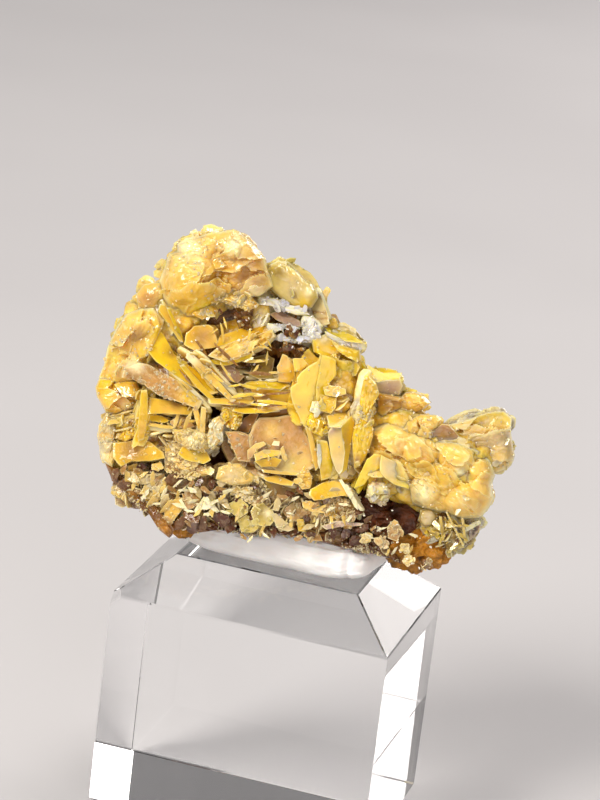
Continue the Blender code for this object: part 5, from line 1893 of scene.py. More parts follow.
LOWER_LEFT_BLADES_SHEETS: tuple[Sheet, ...] = (
    *bits(scattered((-13.6, 15.2), (3.2, 1.6), 9, 0.7, 37), -4.9, Tint.WAX, 0.9, 37, 0.12, 4.0, 12.0),
    # Dark brown slits between the blades: painted shade.
    *bits(scattered((-13.2, 14.6), (3.2, 1.6), 8, 0.5, 38), -4.8, Tint.BROWN_ROCK, 0.0, 38, 0.2, 4.0, 30.0),
    *bits(scattered((-10.4, 15.8), (2.0, 1.6), 5, 0.6, 39), -5.8, Tint.CREAM, 0.9, 39, 0.16, 80.0, 20.0),
    Sheet(
        ((-15.2, 17.7), (-12.8, 17.6), (-10.7, 17.1), (-10.8, 16.4), (-13.0, 16.3), (-15.1, 16.0)),
        -4.9, (0.05, 0.4), 0.6, Tint.HONEY, None, 0.5, folds=0.05, fold=0.6, run=-5.0,
        stains=((-13.0, 16.5, 1.4, Tint.WAX), (-12.4, 17.5, 0.8, Tint.AMBER)), sugar=6,
    ),
    Sheet(
        ((-16.1, 18.3), (-15.5, 18.4), (-15.1, 16.0), (-15.2, 13.4), (-15.8, 13.1), (-16.0, 15.0)),
        -5.6, (0.5, 0.0), 0.5, Tint.LEMON, None, 0.6, folds=0.03, stains=((-15.5, 14.2, 0.8, Tint.WAX),),
        sugar=2,
    ),
    Sheet(
        ((-19.1, 14.4), (-18.9, 14.9), (-17.6, 15.3), (-16.2, 15.9), (-16.2, 15.5), (-17.4, 14.8)),
        -4.4, (-0.2, 0.8), 0.35, Tint.CREAM, None, 0.9, sugar=4,
    ),
    Sheet(
        ((-18.3, 15.3), (-16.2, 15.5), (-16.1, 13.6), (-17.0, 12.9), (-18.2, 13.2)),
        -4.2, (-0.2, 0.1), 0.6, Tint.HONEY, Tint.DEEP, 0.4, 0.1, Section.CRUST, 0.4, 0.6, 70.0, (),
        ((-16.8, 15.0, 0.5, Tint.AMBER),), 6, 40, plates=10, plate=0.8,
    ),
    Sheet(
        ((-10.8, 17.1), (-10.2, 17.1), (-9.5, 15.1), (-10.0, 15.1)),
        -5.5, (0.3, 0.0), 0.35, Tint.WAX, None, 0.9, sugar=2,
    ),
    Sheet(
        ((-9.9, 17.4), (-9.4, 17.3), (-9.2, 14.5), (-9.8, 14.6)),
        -5.8, (0.4, 0.0), 0.35, Tint.CREAM, None, 0.9, sugar=2,
    ),
    Sheet(
        ((-12.9, 15.5), (-12.1, 16.2), (-11.2, 16.2), (-10.3, 15.3), (-11.0, 15.0), (-12.4, 15.0)),
        -4.6, (0.0, 0.5), 0.6, Tint.PEACH, None, 0.4, 0.1, folds=0.1, fold=0.8,
        stains=((-12.2, 15.9, 0.4, Tint.FROST),), sugar=10,
    ),
    Sheet(
        ((-15.0, 15.15), (-13.2, 15.1), (-12.2, 15.15), (-12.3, 14.8), (-13.6, 14.75), (-15.0, 14.85)),
        -5.1, (0.0, 1.0), 0.3, Tint.CREAM, None, 0.9, sugar=2,
    ),
    Sheet(
        ((-15.0, 15.9), (-13.8, 16.0), (-12.8, 15.6), (-13.4, 15.3), (-15.0, 15.3)),
        -4.4, (0.0, 0.6), 0.4, Tint.HONEY, None, 0.7, sugar=8,
    ),
    Sheet(
        ((-12.5, 14.8), (-11.0, 15.0), (-9.6, 15.1), (-8.6, 14.8), (-8.3, 13.4), (-9.4, 12.9),
         (-11.0, 13.1), (-12.1, 13.7)),
        -5.3, (0.1, 0.2), 1.2, Tint.CREAM, Tint.WAX, 0.7, 0.1, Section.CRUST, 0.35, 0.8, 40.0,
        ((-10.4, 14.0, 1.2, 0.5),), ((-10.2, 14.2, 1.3, Tint.RIM_AND_HIGHLIGHT),), 16, 110, plates=16, plate=0.9,
    ),
    Sheet(
        ((-9.0, 14.6), (-8.7, 16.2), (-8.0, 16.7), (-7.4, 16.0), (-7.6, 14.2), (-8.2, 13.2), (-8.9, 13.6)),
        -5.7, (0.2, 0.0), 0.9, Tint.RIM_AND_HIGHLIGHT, Tint.CREAM, 0.6, 0.2, Section.CRUST, 0.2, 0.8, 70.0, (), (), 4,
        60,
    ),
    Sheet(
        ((-11.4, 13.2), (-8.8, 13.0), (-8.3, 12.2), (-9.0, 11.7), (-11.0, 11.9), (-11.7, 12.4)),
        -5.6, (0.1, 0.7), 0.5, Tint.HONEY, None, 0.5, stains=((-9.8, 12.6, 0.9, Tint.GREENISH),), sugar=16,
    ),
    Sheet(
        ((-18.3, 12.7), (-16.6, 13.1), (-15.7, 13.5), (-14.5, 13.2), (-13.1, 12.4), (-12.9, 11.8),
         (-14.4, 11.3), (-16.2, 11.1), (-17.2, 10.4), (-18.1, 11.2)),
        -4.7, (-0.1, 0.3), 0.7, Tint.HONEY, None, 0.4, folds=0.08, stains=((-16.2, 12.2, 1.6, Tint.TAN),),
        chips=3, sugar=20,
    ),
    Sheet(
        ((-19.2, 15.7), (-19.9, 14.3), (-19.8, 13.0), (-19.1, 10.8), (-18.0, 10.2), (-17.8, 11.5),
         (-18.2, 13.2), (-18.0, 14.4)),
        -3.2, (-0.3, 0.0), 1.4, Tint.PALE, Tint.CREAM, 0.9, 0.15, Section.CRUST, 0.3, 0.9, 80.0,
        ((-19.0, 12.4, 0.8, 0.4), (-19.0, 14.2, 0.7, 0.3)), ((-19.2, 11.4, 0.7, Tint.RIM_AND_HIGHLIGHT),), 3, 60,
    ),
)

PEACH_PLATES_SHEETS: tuple[Sheet, ...] = (
    Sheet(
        ((-4.9, 15.0), (-4.5, 16.4), (-4.1, 17.0), (-2.6, 17.2), (-0.4, 17.9), (0.4, 16.8), (1.0, 15.6),
         (1.7, 14.2), (2.2, 12.8), (1.6, 12.4), (0.6, 11.9), (-1.6, 11.9), (-3.4, 12.6), (-4.6, 13.8)),
        -5.1, (0.05, 0.15), 0.5, Tint.PEACH, None, 0.5, folds=0.05, fold=2.5,
        stains=((0.9, 13.2, 1.5, Tint.CREAM), (-0.6, 12.6, 1.0, Tint.GREENISH),
         (-2.6, 15.8, 0.9, Tint.CREAM)),
        chips=3, sugar=60,
    ),
    Sheet(
        ((-7.3, 15.2), (-5.8, 15.4), (-4.6, 15.1), (-4.0, 14.2), (-4.4, 12.5), (-5.6, 12.4), (-6.3, 13.6)),
        -5.2, (0.1, 0.1), 0.5, Tint.PEACH, None, 0.6, folds=0.1, fold=1.0, chips=4, sugar=40,
    ),
    Sheet(
        ((-4.8, 13.6), (-4.1, 14.4), (-3.3, 14.7), (-3.0, 14.4), (-3.8, 13.8), (-4.3, 12.9), (-4.7, 12.7)),
        -6.1, (0.2, 0.2), 0.4, Tint.CREAM, None, 0.8, stains=((-4.4, 13.0, 0.6, Tint.PEACH),), chips=1,
        sugar=4,
    ),
    Sheet(
        ((-4.1, 13.3), (-3.2, 13.9), (-1.4, 14.0), (-1.4, 13.5), (-3.2, 13.0), (-3.9, 12.6)),
        -6.2, (0.0, 0.8), 0.4, Tint.CREAM, None, 0.8, stains=((-2.4, 13.4, 0.7, Tint.HONEY),), chips=3,
        sugar=6,
    ),
    Sheet(
        ((-4.0, 12.6), (-2.0, 13.3), (-1.2, 13.1), (-1.7, 12.3), (-3.3, 12.1)),
        -6.1, (0.0, -0.3), 0.4, Tint.HONEY, None, 0.6, stains=((-2.4, 12.6, 0.8, Tint.DEEP),), chips=2,
        sugar=4,
    ),
    Sheet(
        ((-2.5, 14.4), (-2.3, 14.9), (-1.7, 14.9), (-1.7, 14.4)),
        -5.9, (0.1, 0.3), 0.4, Tint.RIM_AND_HIGHLIGHT, None, 0.8, sugar=0,
    ),
    Sheet(
        ((-1.6, 14.2), (-1.3, 14.5), (-0.7, 13.2), (-0.9, 12.9), (-1.3, 13.2)),
        -5.9, (0.4, 0.0), 0.4, Tint.CREAM, None, 0.9, sugar=2,
    ),
    Sheet(
        ((-3.2, 11.9), (-0.6, 12.0), (0.6, 12.0), (0.4, 11.7), (-1.6, 11.6), (-3.0, 11.6)),
        -5.9, (0.0, 0.6), 0.3, Tint.CREAM, None, 1.0, sugar=4,
    ),
    Sheet(
        ((-3.0, 11.1), (-1.6, 11.5), (0.3, 11.0), (0.1, 10.6), (-1.0, 10.6), (-2.6, 10.8)),
        -5.8, (0.0, 0.9), 0.35, Tint.WAX, None, 0.9, sugar=6,
    ),
    Sheet(
        ((-2.7, 10.9), (-0.2, 10.9), (0.5, 11.7), (0.6, 10.2), (0.2, 9.6), (-1.6, 8.9), (-2.5, 9.6)),
        -4.6, (0.0, -0.3), 0.5, Tint.OLIVE, None, 0.2,
        stains=((0.0, 11.2, 0.8, Tint.AMBER), (-1.2, 9.6, 0.9, Tint.TAN)), sugar=6,
    ),
)

LOWER_DRUSE_SHEETS: tuple[Sheet, ...] = (
    *bits(
        ((-9.2, 9.9, 0.5), (-7.9, 9.8, 0.45), (-15.2, 10.6, 0.5), (-14.0, 10.2, 0.4), (-3.6, 7.1, 0.45),
         (1.9, 7.6, 0.4), (-3.7, 10.0, 0.4), (-5.4, 8.6, 0.4), (-6.6, 6.4, 0.8), (-5.5, 5.9, 0.7),
         (-1.2, 5.9, 0.5), (0.7, 6.0, 0.5), (4.6, 6.4, 0.6), (5.9, 6.6, 0.7), (7.0, 6.0, 0.7),
         (7.4, 7.2, 0.6), (6.4, 7.5, 0.5), (-0.2, 9.7, 0.5), (-7.0, 8.9, 0.4), (-8.4, 7.4, 0.4),
         (2.6, 6.0, 0.4), (6.9, 8.9, 0.5)),
        -5.5, Tint.RED_ROCK, 0.0, 1, 0.7,
    ),
    *bits(
        ((-12.0, 9.6, 0.9), (-15.0, 7.4, 0.6), (-16.6, 8.6, 0.6), (-13.4, 6.6, 0.6), (-9.6, 6.3, 0.8),
         (-8.3, 5.9, 0.7), (-10.7, 5.6, 0.7), (-17.6, 9.6, 0.5), (-14.2, 9.2, 0.4), (-12.4, 5.4, 0.6),
         (-11.6, 4.6, 0.5), (5.2, 8.2, 0.4), (3.6, 9.6, 0.4), (-4.4, 8.0, 0.3), (0.9, 10.2, 0.4),
         (8.0, 8.2, 0.5)),
        -5.5, Tint.BROWN_ROCK, 0.1, 2, 0.6,
    ),
    *bits(
        ((-12.6, 8.3, 0.4), (-11.4, 9.4, 0.35), (-10.3, 8.9, 0.4), (-9.6, 7.9, 0.35), (-8.8, 7.5, 0.4),
         (-7.4, 8.1, 0.35), (-7.9, 6.8, 0.35), (-10.9, 7.3, 0.4), (-9.9, 6.9, 0.3), (-6.3, 9.3, 0.4),
         (-4.5, 9.4, 0.35), (-13.0, 7.2, 0.35), (-14.4, 7.9, 0.4), (0.5, 9.4, 0.35), (4.2, 8.8, 0.4),
         (5.4, 9.4, 0.3), (6.2, 8.2, 0.35), (8.3, 6.6, 0.35), (3.0, 7.3, 0.3), (-2.4, 9.4, 0.35),
         (-2.0, 5.4, 0.3), (-3.4, 4.9, 0.3), (9.4, 7.4, 0.3), (12.8, 7.2, 0.3), (11.0, 5.4, 0.3),
         (-6.2, 7.2, 0.3)),
        -6.0, Tint.FROST, 0.8, 3, 0.28, 20.0, 60.0,
    ),
    *bits(
        ((-16.0, 9.6, 0.6), (-14.8, 9.4, 0.6), (-13.6, 8.4, 0.6), (-12.4, 7.4, 0.6), (-10.4, 7.9, 0.6),
         (-9.2, 8.8, 0.5), (-7.0, 10.2, 0.6), (-5.4, 10.6, 0.5), (-7.8, 8.2, 0.6), (-6.4, 8.0, 0.6),
         (-1.2, 8.8, 0.6), (1.9, 9.9, 0.5), (3.0, 10.4, 0.5), (4.4, 10.6, 0.5), (2.2, 6.8, 0.5),
         (-0.6, 6.4, 0.5)),
        -5.7, Tint.PALE, 0.8, 4, 0.55,
    ),
    # White specks on the rock: partly white grains, partly painted glints.
    *bits(
        ((8.2, 9.6, 0.07), (10.3, 9.4, 0.09), (9.9, 8.5, 0.06), (7.6, 8.6, 0.08), (10.9, 8.0, 0.07),
         (9.1, 7.5, 0.1), (9.3, 7.2, 0.08), (10.4, 7.1, 0.12), (13.4, 7.0, 0.06), (14.6, 6.2, 0.07),
         (11.2, 6.3, 0.1), (12.9, 4.4, 0.12), (12.4, 4.8, 0.1), (13.7, 4.0, 0.08), (10.2, 5.6, 0.1),
         (11.7, 5.4, 0.08)),
        -6.0, Tint.ICE_AND_GLINT, 0.8, 26, 0.7,
    ),
    Sheet(
        ((3.6, 7.6), (6.0, 8.6), (9.0, 8.4), (11.5, 7.2), (12.4, 5.4), (11.9, 4.2), (10.6, 4.6), (9.4, 4.8),
         (7.4, 4.9), (5.5, 5.1), (3.4, 5.4), (2.6, 6.2)),
        -3.9, (0.05, 0.1), 1.6, Tint.BROWN_ROCK, Tint.RED_ROCK, 0.0, 0.05, Section.CRUST, 0.4, 0.7, 0.0,
        (), ((10.6, 5.4, 0.8, Tint.AMBER), (5.0, 6.0, 0.6, Tint.TAN)), 26, 380, plates=20, plate=0.8,
    ),
    Sheet(
        ((-9.0, 7.2), (-6.0, 7.8), (-2.0, 7.4), (1.0, 7.4), (3.2, 6.8), (3.4, 5.5), (0.6, 5.7), (-2.0, 5.4),
         (-4.1, 5.2), (-6.0, 5.3), (-7.9, 5.4), (-9.4, 4.6), (-10.4, 5.2), (-10.2, 6.4)),
        -3.9, (0.0, 0.1), 1.6, Tint.BROWN_ROCK, Tint.RED_ROCK, 0.0, 0.05, Section.CRUST, 0.4, 0.7, 0.0, (),
        ((-9.0, 6.0, 0.9, Tint.LILAC), (-3.0, 6.0, 0.7, Tint.OLIVE)), 26, 380, plates=24, plate=0.8,
    ),
    *bits(
        ((-16.4, 9.4, 0.5), (-15.6, 8.8, 0.5), (-15.0, 9.8, 0.5), (-14.4, 8.6, 0.5), (-13.8, 9.4, 0.5),
         (-13.2, 8.2, 0.5), (-12.6, 9.0, 0.5), (-14.8, 7.4, 0.4), (-13.8, 7.2, 0.5), (-12.2, 7.0, 0.5),
         (-11.2, 8.4, 0.4), (-9.0, 6.8, 0.4), (-7.6, 7.4, 0.5), (-6.8, 8.6, 0.4), (-5.0, 7.2, 0.4),
         (-2.4, 5.8, 0.4), (0.4, 7.0, 0.4), (3.2, 8.8, 0.4), (5.6, 8.0, 0.4), (4.4, 7.6, 0.4),
         (10.4, 5.2, 0.3), (12.6, 5.8, 0.3)),
        -5.9, Tint.CREAM, 0.9, 5, 0.25, 75.0, 35.0,
    ),
    *bits(
        ((-16.9, 10.2, 0.5), (-15.4, 10.2, 0.4), (-13.2, 9.8, 0.4), (-11.8, 8.8, 0.4), (-10.0, 9.6, 0.4),
         (-8.6, 9.2, 0.4), (-7.2, 9.4, 0.4), (-3.0, 8.9, 0.4), (-0.8, 9.4, 0.4), (1.6, 8.0, 0.4),
         (2.6, 9.0, 0.4), (4.8, 9.2, 0.4), (5.0, 7.4, 0.3), (6.0, 7.2, 0.3), (-4.2, 5.0, 0.3),
         (1.4, 5.6, 0.4), (8.6, 7.4, 0.3), (-9.8, 5.6, 0.4)),
        -5.9, Tint.TAN, 0.6, 6, 0.4, 10.0, 60.0,
    ),
    Sheet(
        ((-18.8, 10.6), (-17.9, 10.4), (-16.4, 9.2), (-15.0, 7.7), (-13.2, 7.0), (-12.2, 6.0), (-11.2, 4.6),
         (-11.6, 4.0), (-12.6, 4.6), (-13.1, 5.8), (-14.8, 6.4), (-16.3, 7.9), (-17.9, 8.9)),
        -4.2, (-0.15, 0.2), 1.4, Tint.BROWN_ROCK, Tint.AMBER, 0.0, 0.05, Section.CRUST, 0.5, 0.8, -40.0,
        (), ((-12.2, 5.0, 0.9, Tint.ORANGE_ROCK), (-16.0, 8.0, 0.7, Tint.ORANGE_ROCK)), 6, 90,
    ),
    Sheet(
        ((-7.5, 11.6), (-6.6, 12.0), (-5.4, 12.2), (-4.6, 11.7), (-3.7, 11.2), (-3.9, 10.5), (-4.8, 10.1),
         (-6.2, 9.9), (-7.6, 10.4)),
        -5.6, (0.05, 0.2), 0.7, Tint.WAX, Tint.GREENISH, 0.5, 0.05, Section.CRUST, 0.25, 1.4, 10.0, (),
        ((-6.0, 10.8, 1.2, Tint.PALE),), 3, 40,
    ),
    Sheet(
        ((0.6, 11.9), (0.6, 10.9), (1.1, 10.3), (1.9, 10.6), (2.0, 11.8), (1.4, 12.6), (1.0, 12.8)),
        -5.6, (0.2, 0.1), 0.6, Tint.WAX, None, 0.6, 0.1, folds=0.25, fold=0.6, chips=5, sugar=30,
    ),
    Sheet(
        ((1.9, 10.5), (3.3, 11.5), (4.9, 11.9), (5.6, 11.0), (6.1, 10.4), (5.0, 10.2), (3.8, 9.8),
         (2.4, 9.4), (1.8, 9.9)),
        -5.7, (0.1, 0.4), 0.6, Tint.LEMON, None, 0.5,
        stains=((2.6, 9.8, 0.7, Tint.DEEP), (4.8, 10.9, 0.9, Tint.CREAM)), chips=3, sugar=20,
    ),
    Sheet(
        ((4.6, 11.8), (4.9, 11.9), (6.0, 10.6), (7.5, 9.0), (7.1, 9.0), (5.8, 10.2)),
        -6.0, (0.2, 0.1), 0.3, Tint.FROST, None, 1.0, 0.3, sugar=4,
    ),
    Sheet(
        ((5.3, 11.5), (5.6, 11.4), (6.7, 9.9), (6.9, 9.0), (6.5, 9.3), (5.7, 10.5)),
        -6.1, (0.2, 0.1), 0.3, Tint.RIM_AND_HIGHLIGHT, None, 1.0, 0.3, sugar=4,
    ),
    Sheet(
        ((3.2, 9.6), (4.4, 10.0), (5.8, 10.0), (6.6, 9.4), (6.0, 8.2), (5.2, 7.6), (4.0, 7.1), (3.4, 7.8),
         (3.6, 8.8)),
        -4.9, (0.1, 0.1), 1.0, Tint.PEACH, Tint.DEEP, 0.5, 0.2, Section.CRUST, 0.4, 0.5, 0.0, (),
        ((5.8, 9.4, 0.5, Tint.AMBER), (4.6, 8.0, 0.6, Tint.HONEY)), 30, 380, plates=14, plate=0.6,
    ),
    Sheet(
        ((-6.1, 8.1), (-4.9, 8.8), (-4.0, 8.2), (-4.0, 7.4), (-4.9, 6.7), (-5.9, 7.3)),
        -5.4, (0.0, 0.2), 0.4, Tint.GREENISH, None, 0.6, 0.05, chips=3, sugar=20,
    ),
    Sheet(
        ((-3.8, 7.6), (-3.4, 8.4), (-2.6, 8.6), (-1.6, 8.0), (-1.1, 7.2), (-1.6, 6.4), (-2.6, 6.2),
         (-3.4, 6.8)),
        -5.5, (0.1, 0.3), 0.5, Tint.GREENISH, None, 0.5, 0.1,
        stains=((-2.8, 7.6, 0.8, Tint.OLIVE), (-2.0, 7.6, 0.4, Tint.FROST)), chips=4, sugar=30,
    ),
    Sheet(
        ((-4.9, 6.5), (-4.2, 7.2), (-3.2, 6.8), (-2.5, 6.2), (-3.2, 5.5), (-4.4, 5.4)),
        -5.2, (0.0, 0.1), 0.4, Tint.GREENISH, None, 0.5, 0.1, chips=4, sugar=20,
    ),
    Sheet(
        ((-1.7, 7.6), (-1.2, 7.7), (0.0, 6.9), (0.8, 6.3), (0.2, 6.0), (-1.0, 6.3)),
        -5.6, (0.1, 0.3), 0.35, Tint.PALE, None, 0.9, chips=2, sugar=10,
    ),
    Sheet(
        ((-0.7, 8.0), (0.2, 8.9), (1.1, 9.1), (1.5, 8.2), (1.2, 7.1), (0.0, 7.3)),
        -5.0, (0.1, 0.1), 0.5, Tint.TAN, None, 0.4, 0.05, stains=((0.6, 8.6, 0.6, Tint.OLIVE),), chips=4,
        sugar=20,
    ),
    Sheet(
        ((0.9, 7.4), (1.6, 7.5), (2.0, 6.2), (1.2, 6.2)),
        -5.3, (0.3, 0.0), 0.4, Tint.HONEY, None, 0.6, chips=2, sugar=6,
    ),
    Sheet(
        ((1.2, 9.2), (1.4, 8.6), (2.6, 8.2), (3.7, 8.3), (3.2, 9.0), (2.0, 9.4)),
        -5.4, (0.1, 0.5), 0.4, Tint.CREAM, None, 0.7, 0.1, chips=4, sugar=20,
    ),
    Sheet(
        ((2.4, 8.3), (3.7, 8.1), (3.6, 7.0), (3.2, 6.6), (2.2, 7.7)),
        -5.2, (0.0, -0.2), 0.4, Tint.TAN, None, 0.5, stains=((2.8, 7.6, 0.6, Tint.OLIVE),), chips=3,
        sugar=14,
    ),
    Sheet(
        ((3.4, 7.0), (5.0, 7.7), (7.7, 7.8), (7.4, 7.5), (5.2, 7.1), (4.0, 6.7)),
        -5.8, (0.1, 0.2), 0.35, Tint.LILAC, None, 1.0, 0.3, sugar=10,
    ),
    Sheet(
        ((10.0, 7.7), (10.6, 8.6), (11.0, 8.4), (11.4, 7.2), (11.2, 6.4), (10.2, 6.6)),
        -5.9, (0.1, 0.1), 0.4, Tint.TAN, None, 0.8, 0.1, stains=((10.7, 8.0, 0.5, Tint.CREAM),), chips=5,
        sugar=60,
    ),
    Sheet(
        ((12.0, 5.1), (12.8, 5.2), (13.1, 4.4), (12.4, 4.0)),
        -5.8, (0.0, 0.2), 0.5, Tint.CREAM, None, 0.8, 0.3, chips=8, sugar=80,
    ),
    Sheet(
        ((9.1, 6.3), (9.9, 6.8), (10.3, 5.9), (9.6, 5.4)),
        -5.9, (0.1, 0.0), 0.4, Tint.PEACH, None, 0.8, 0.3, chips=8, sugar=60,
    ),
    Sheet(
        ((7.5, 6.6), (8.3, 6.8), (8.5, 6.1), (7.8, 5.8)),
        -5.7, (0.1, 0.1), 0.3, Tint.CREAM, None, 0.8, 0.3, chips=6, sugar=60,
    ),
    Sheet(
        ((5.6, 8.6), (6.5, 9.0), (7.0, 8.3), (6.0, 7.9)),
        -5.6, (0.1, 0.1), 0.4, Tint.AMBER, None, 0.5, 0.1, chips=6, sugar=60,
    ),
    Sheet(
        ((11.7, 6.1), (12.3, 6.3), (12.5, 5.6), (11.9, 5.4)),
        -6.0, (0.1, 0.1), 0.3, Tint.CREAM, None, 0.8, 0.3, chips=5, sugar=60,
    ),
    Sheet(
        ((8.7, 10.4), (9.3, 10.5), (9.4, 9.9), (8.9, 9.7)),
        -5.9, (0.1, 0.1), 0.4, Tint.LILAC, None, 0.8, 0.2, chips=2, sugar=10,
    ),
    Sheet(
        ((13.9, 4.9), (14.8, 5.0), (15.0, 4.3), (14.2, 3.9)),
        -5.2, (0.1, 0.1), 0.4, Tint.AMBER, None, 0.1, stains=((14.4, 4.6, 0.3, Tint.BLACK_ROCK),), chips=4,
        sugar=40,
    ),
    Sheet(
        ((-12.4, 5.8), (-11.8, 6.0), (-11.7, 5.2), (-12.3, 5.0)),
        -5.2, (0.0, 0.1), 0.3, Tint.PEACH, None, 0.6, chips=4, sugar=40,
    ),
    Sheet(
        ((2.2, 6.6), (3.4, 6.2), (3.8, 5.5), (2.6, 5.4), (1.8, 5.8)),
        -4.9, (0.0, 0.4), 0.4, Tint.TAN, None, 0.7, chips=3, sugar=10,
    ),
    Sheet(
        ((-12.5, 7.4), (-11.8, 7.6), (-11.0, 8.2), (-10.4, 7.2), (-11.0, 6.2), (-11.4, 5.5), (-12.2, 6.0)),
        -5.0, (-0.1, 0.0), 0.5, Tint.CREAM, None, 0.6, stains=((-11.6, 6.8, 0.8, Tint.WAX),), chips=3,
        sugar=10,
    ),
    Sheet(
        ((-10.8, 8.5), (-9.4, 8.8), (-8.8, 8.2), (-9.4, 7.2), (-10.2, 7.0)),
        -5.3, (0.1, 0.2), 0.4, Tint.PEACH, None, 0.6, 0.1, chips=4, sugar=20,
    ),
    Sheet(
        ((-10.4, 9.3), (-9.6, 9.2), (-9.2, 8.8), (-10.0, 8.7)),
        -5.7, (0.1, 0.2), 0.4, Tint.FROST, None, 1.0, 0.2, sugar=4,
    ),
    Sheet(
        ((-9.4, 7.0), (-8.6, 8.5), (-8.2, 8.4), (-8.6, 7.4), (-9.2, 6.6)),
        -5.8, (0.3, 0.0), 0.3, Tint.RIM_AND_HIGHLIGHT, None, 1.0, 0.2, chips=3, sugar=10,
    ),
    Sheet(
        ((-8.6, 8.2), (-8.2, 8.5), (-6.8, 7.2), (-7.1, 7.0), (-8.0, 7.4)),
        -6.0, (0.1, 0.1), 0.3, Tint.FROST, None, 1.0, 0.3, chips=4, sugar=20,
    ),
    Sheet(
        ((-11.0, 7.8), (-10.8, 8.0), (-9.8, 6.8), (-10.0, 6.6)),
        -5.8, (0.2, 0.0), 0.3, Tint.RIM_AND_HIGHLIGHT, None, 1.0, 0.2, sugar=2,
    ),
    Sheet(
        ((-16.6, 10.6), (-15.6, 11.0), (-14.9, 10.0), (-15.2, 8.6), (-16.2, 9.4)),
        -4.2, (-0.2, 0.1), 0.5, Tint.CREAM, None, 0.6, stains=((-15.8, 9.8, 0.7, Tint.WAX),), chips=6,
        sugar=20,
    ),
    Sheet(
        ((-14.2, 11.1), (-13.2, 11.4), (-12.8, 10.8), (-13.6, 10.5), (-14.1, 10.5)),
        -4.9, (0.0, 0.4), 0.4, Tint.CREAM, None, 0.8, chips=2, sugar=10,
    ),
    Sheet(
        ((-14.6, 10.0), (-13.0, 10.3), (-12.4, 9.0), (-13.4, 8.2), (-14.6, 8.8)),
        -4.6, (0.0, 0.1), 0.5, Tint.PALE, None, 0.5, 0.2, stains=((-13.6, 9.2, 0.7, Tint.TAN),), chips=10,
        sugar=30,
    ),
    Sheet(
        ((-14.8, 8.6), (-14.3, 8.7), (-13.8, 7.2), (-14.2, 6.9)),
        -4.8, (0.3, 0.0), 0.35, Tint.WAX, None, 0.9, chips=4, sugar=6,
    ),
    Sheet(
        ((-13.8, 8.6), (-13.3, 8.5), (-12.9, 7.0), (-13.4, 6.8)),
        -4.8, (0.3, 0.0), 0.35, Tint.CREAM, None, 0.9, chips=4, sugar=6,
    ),
    Sheet(
        ((-13.0, 12.4), (-12.2, 12.7), (-11.2, 12.0), (-9.4, 11.6), (-8.2, 11.6), (-8.0, 10.8),
         (-9.4, 10.2), (-11.4, 10.0), (-12.8, 10.6)),
        -5.0, (0.0, 0.1), 1.1, Tint.CREAM, Tint.TAN, 0.5, 0.2, Section.CRUST, 0.3, 0.8, 0.0, (),
        ((-11.8, 9.8, 0.6, Tint.AMBER), (-12.3, 12.0, 0.5, Tint.FROST), (-8.6, 11.0, 0.5, Tint.CREAM)), 30,
        260, plates=14, plate=0.6,
    ),
    Sheet(
        ((-5.9, 10.0), (-4.6, 10.6), (-3.4, 11.2), (-2.4, 10.2), (-2.2, 9.0), (-3.6, 8.2), (-4.9, 8.8),
         (-5.8, 9.0)),
        -4.8, (0.0, 0.1), 1.0, Tint.CREAM, Tint.TAN, 0.5, 0.5, Section.CRUST, 0.4, 0.5, 0.0, (),
        ((-3.8, 10.0, 0.5, Tint.BLACK_ROCK), (-5.3, 8.9, 0.5, Tint.AMBER)), 16, 380, plates=12, plate=0.6,
    ),
)

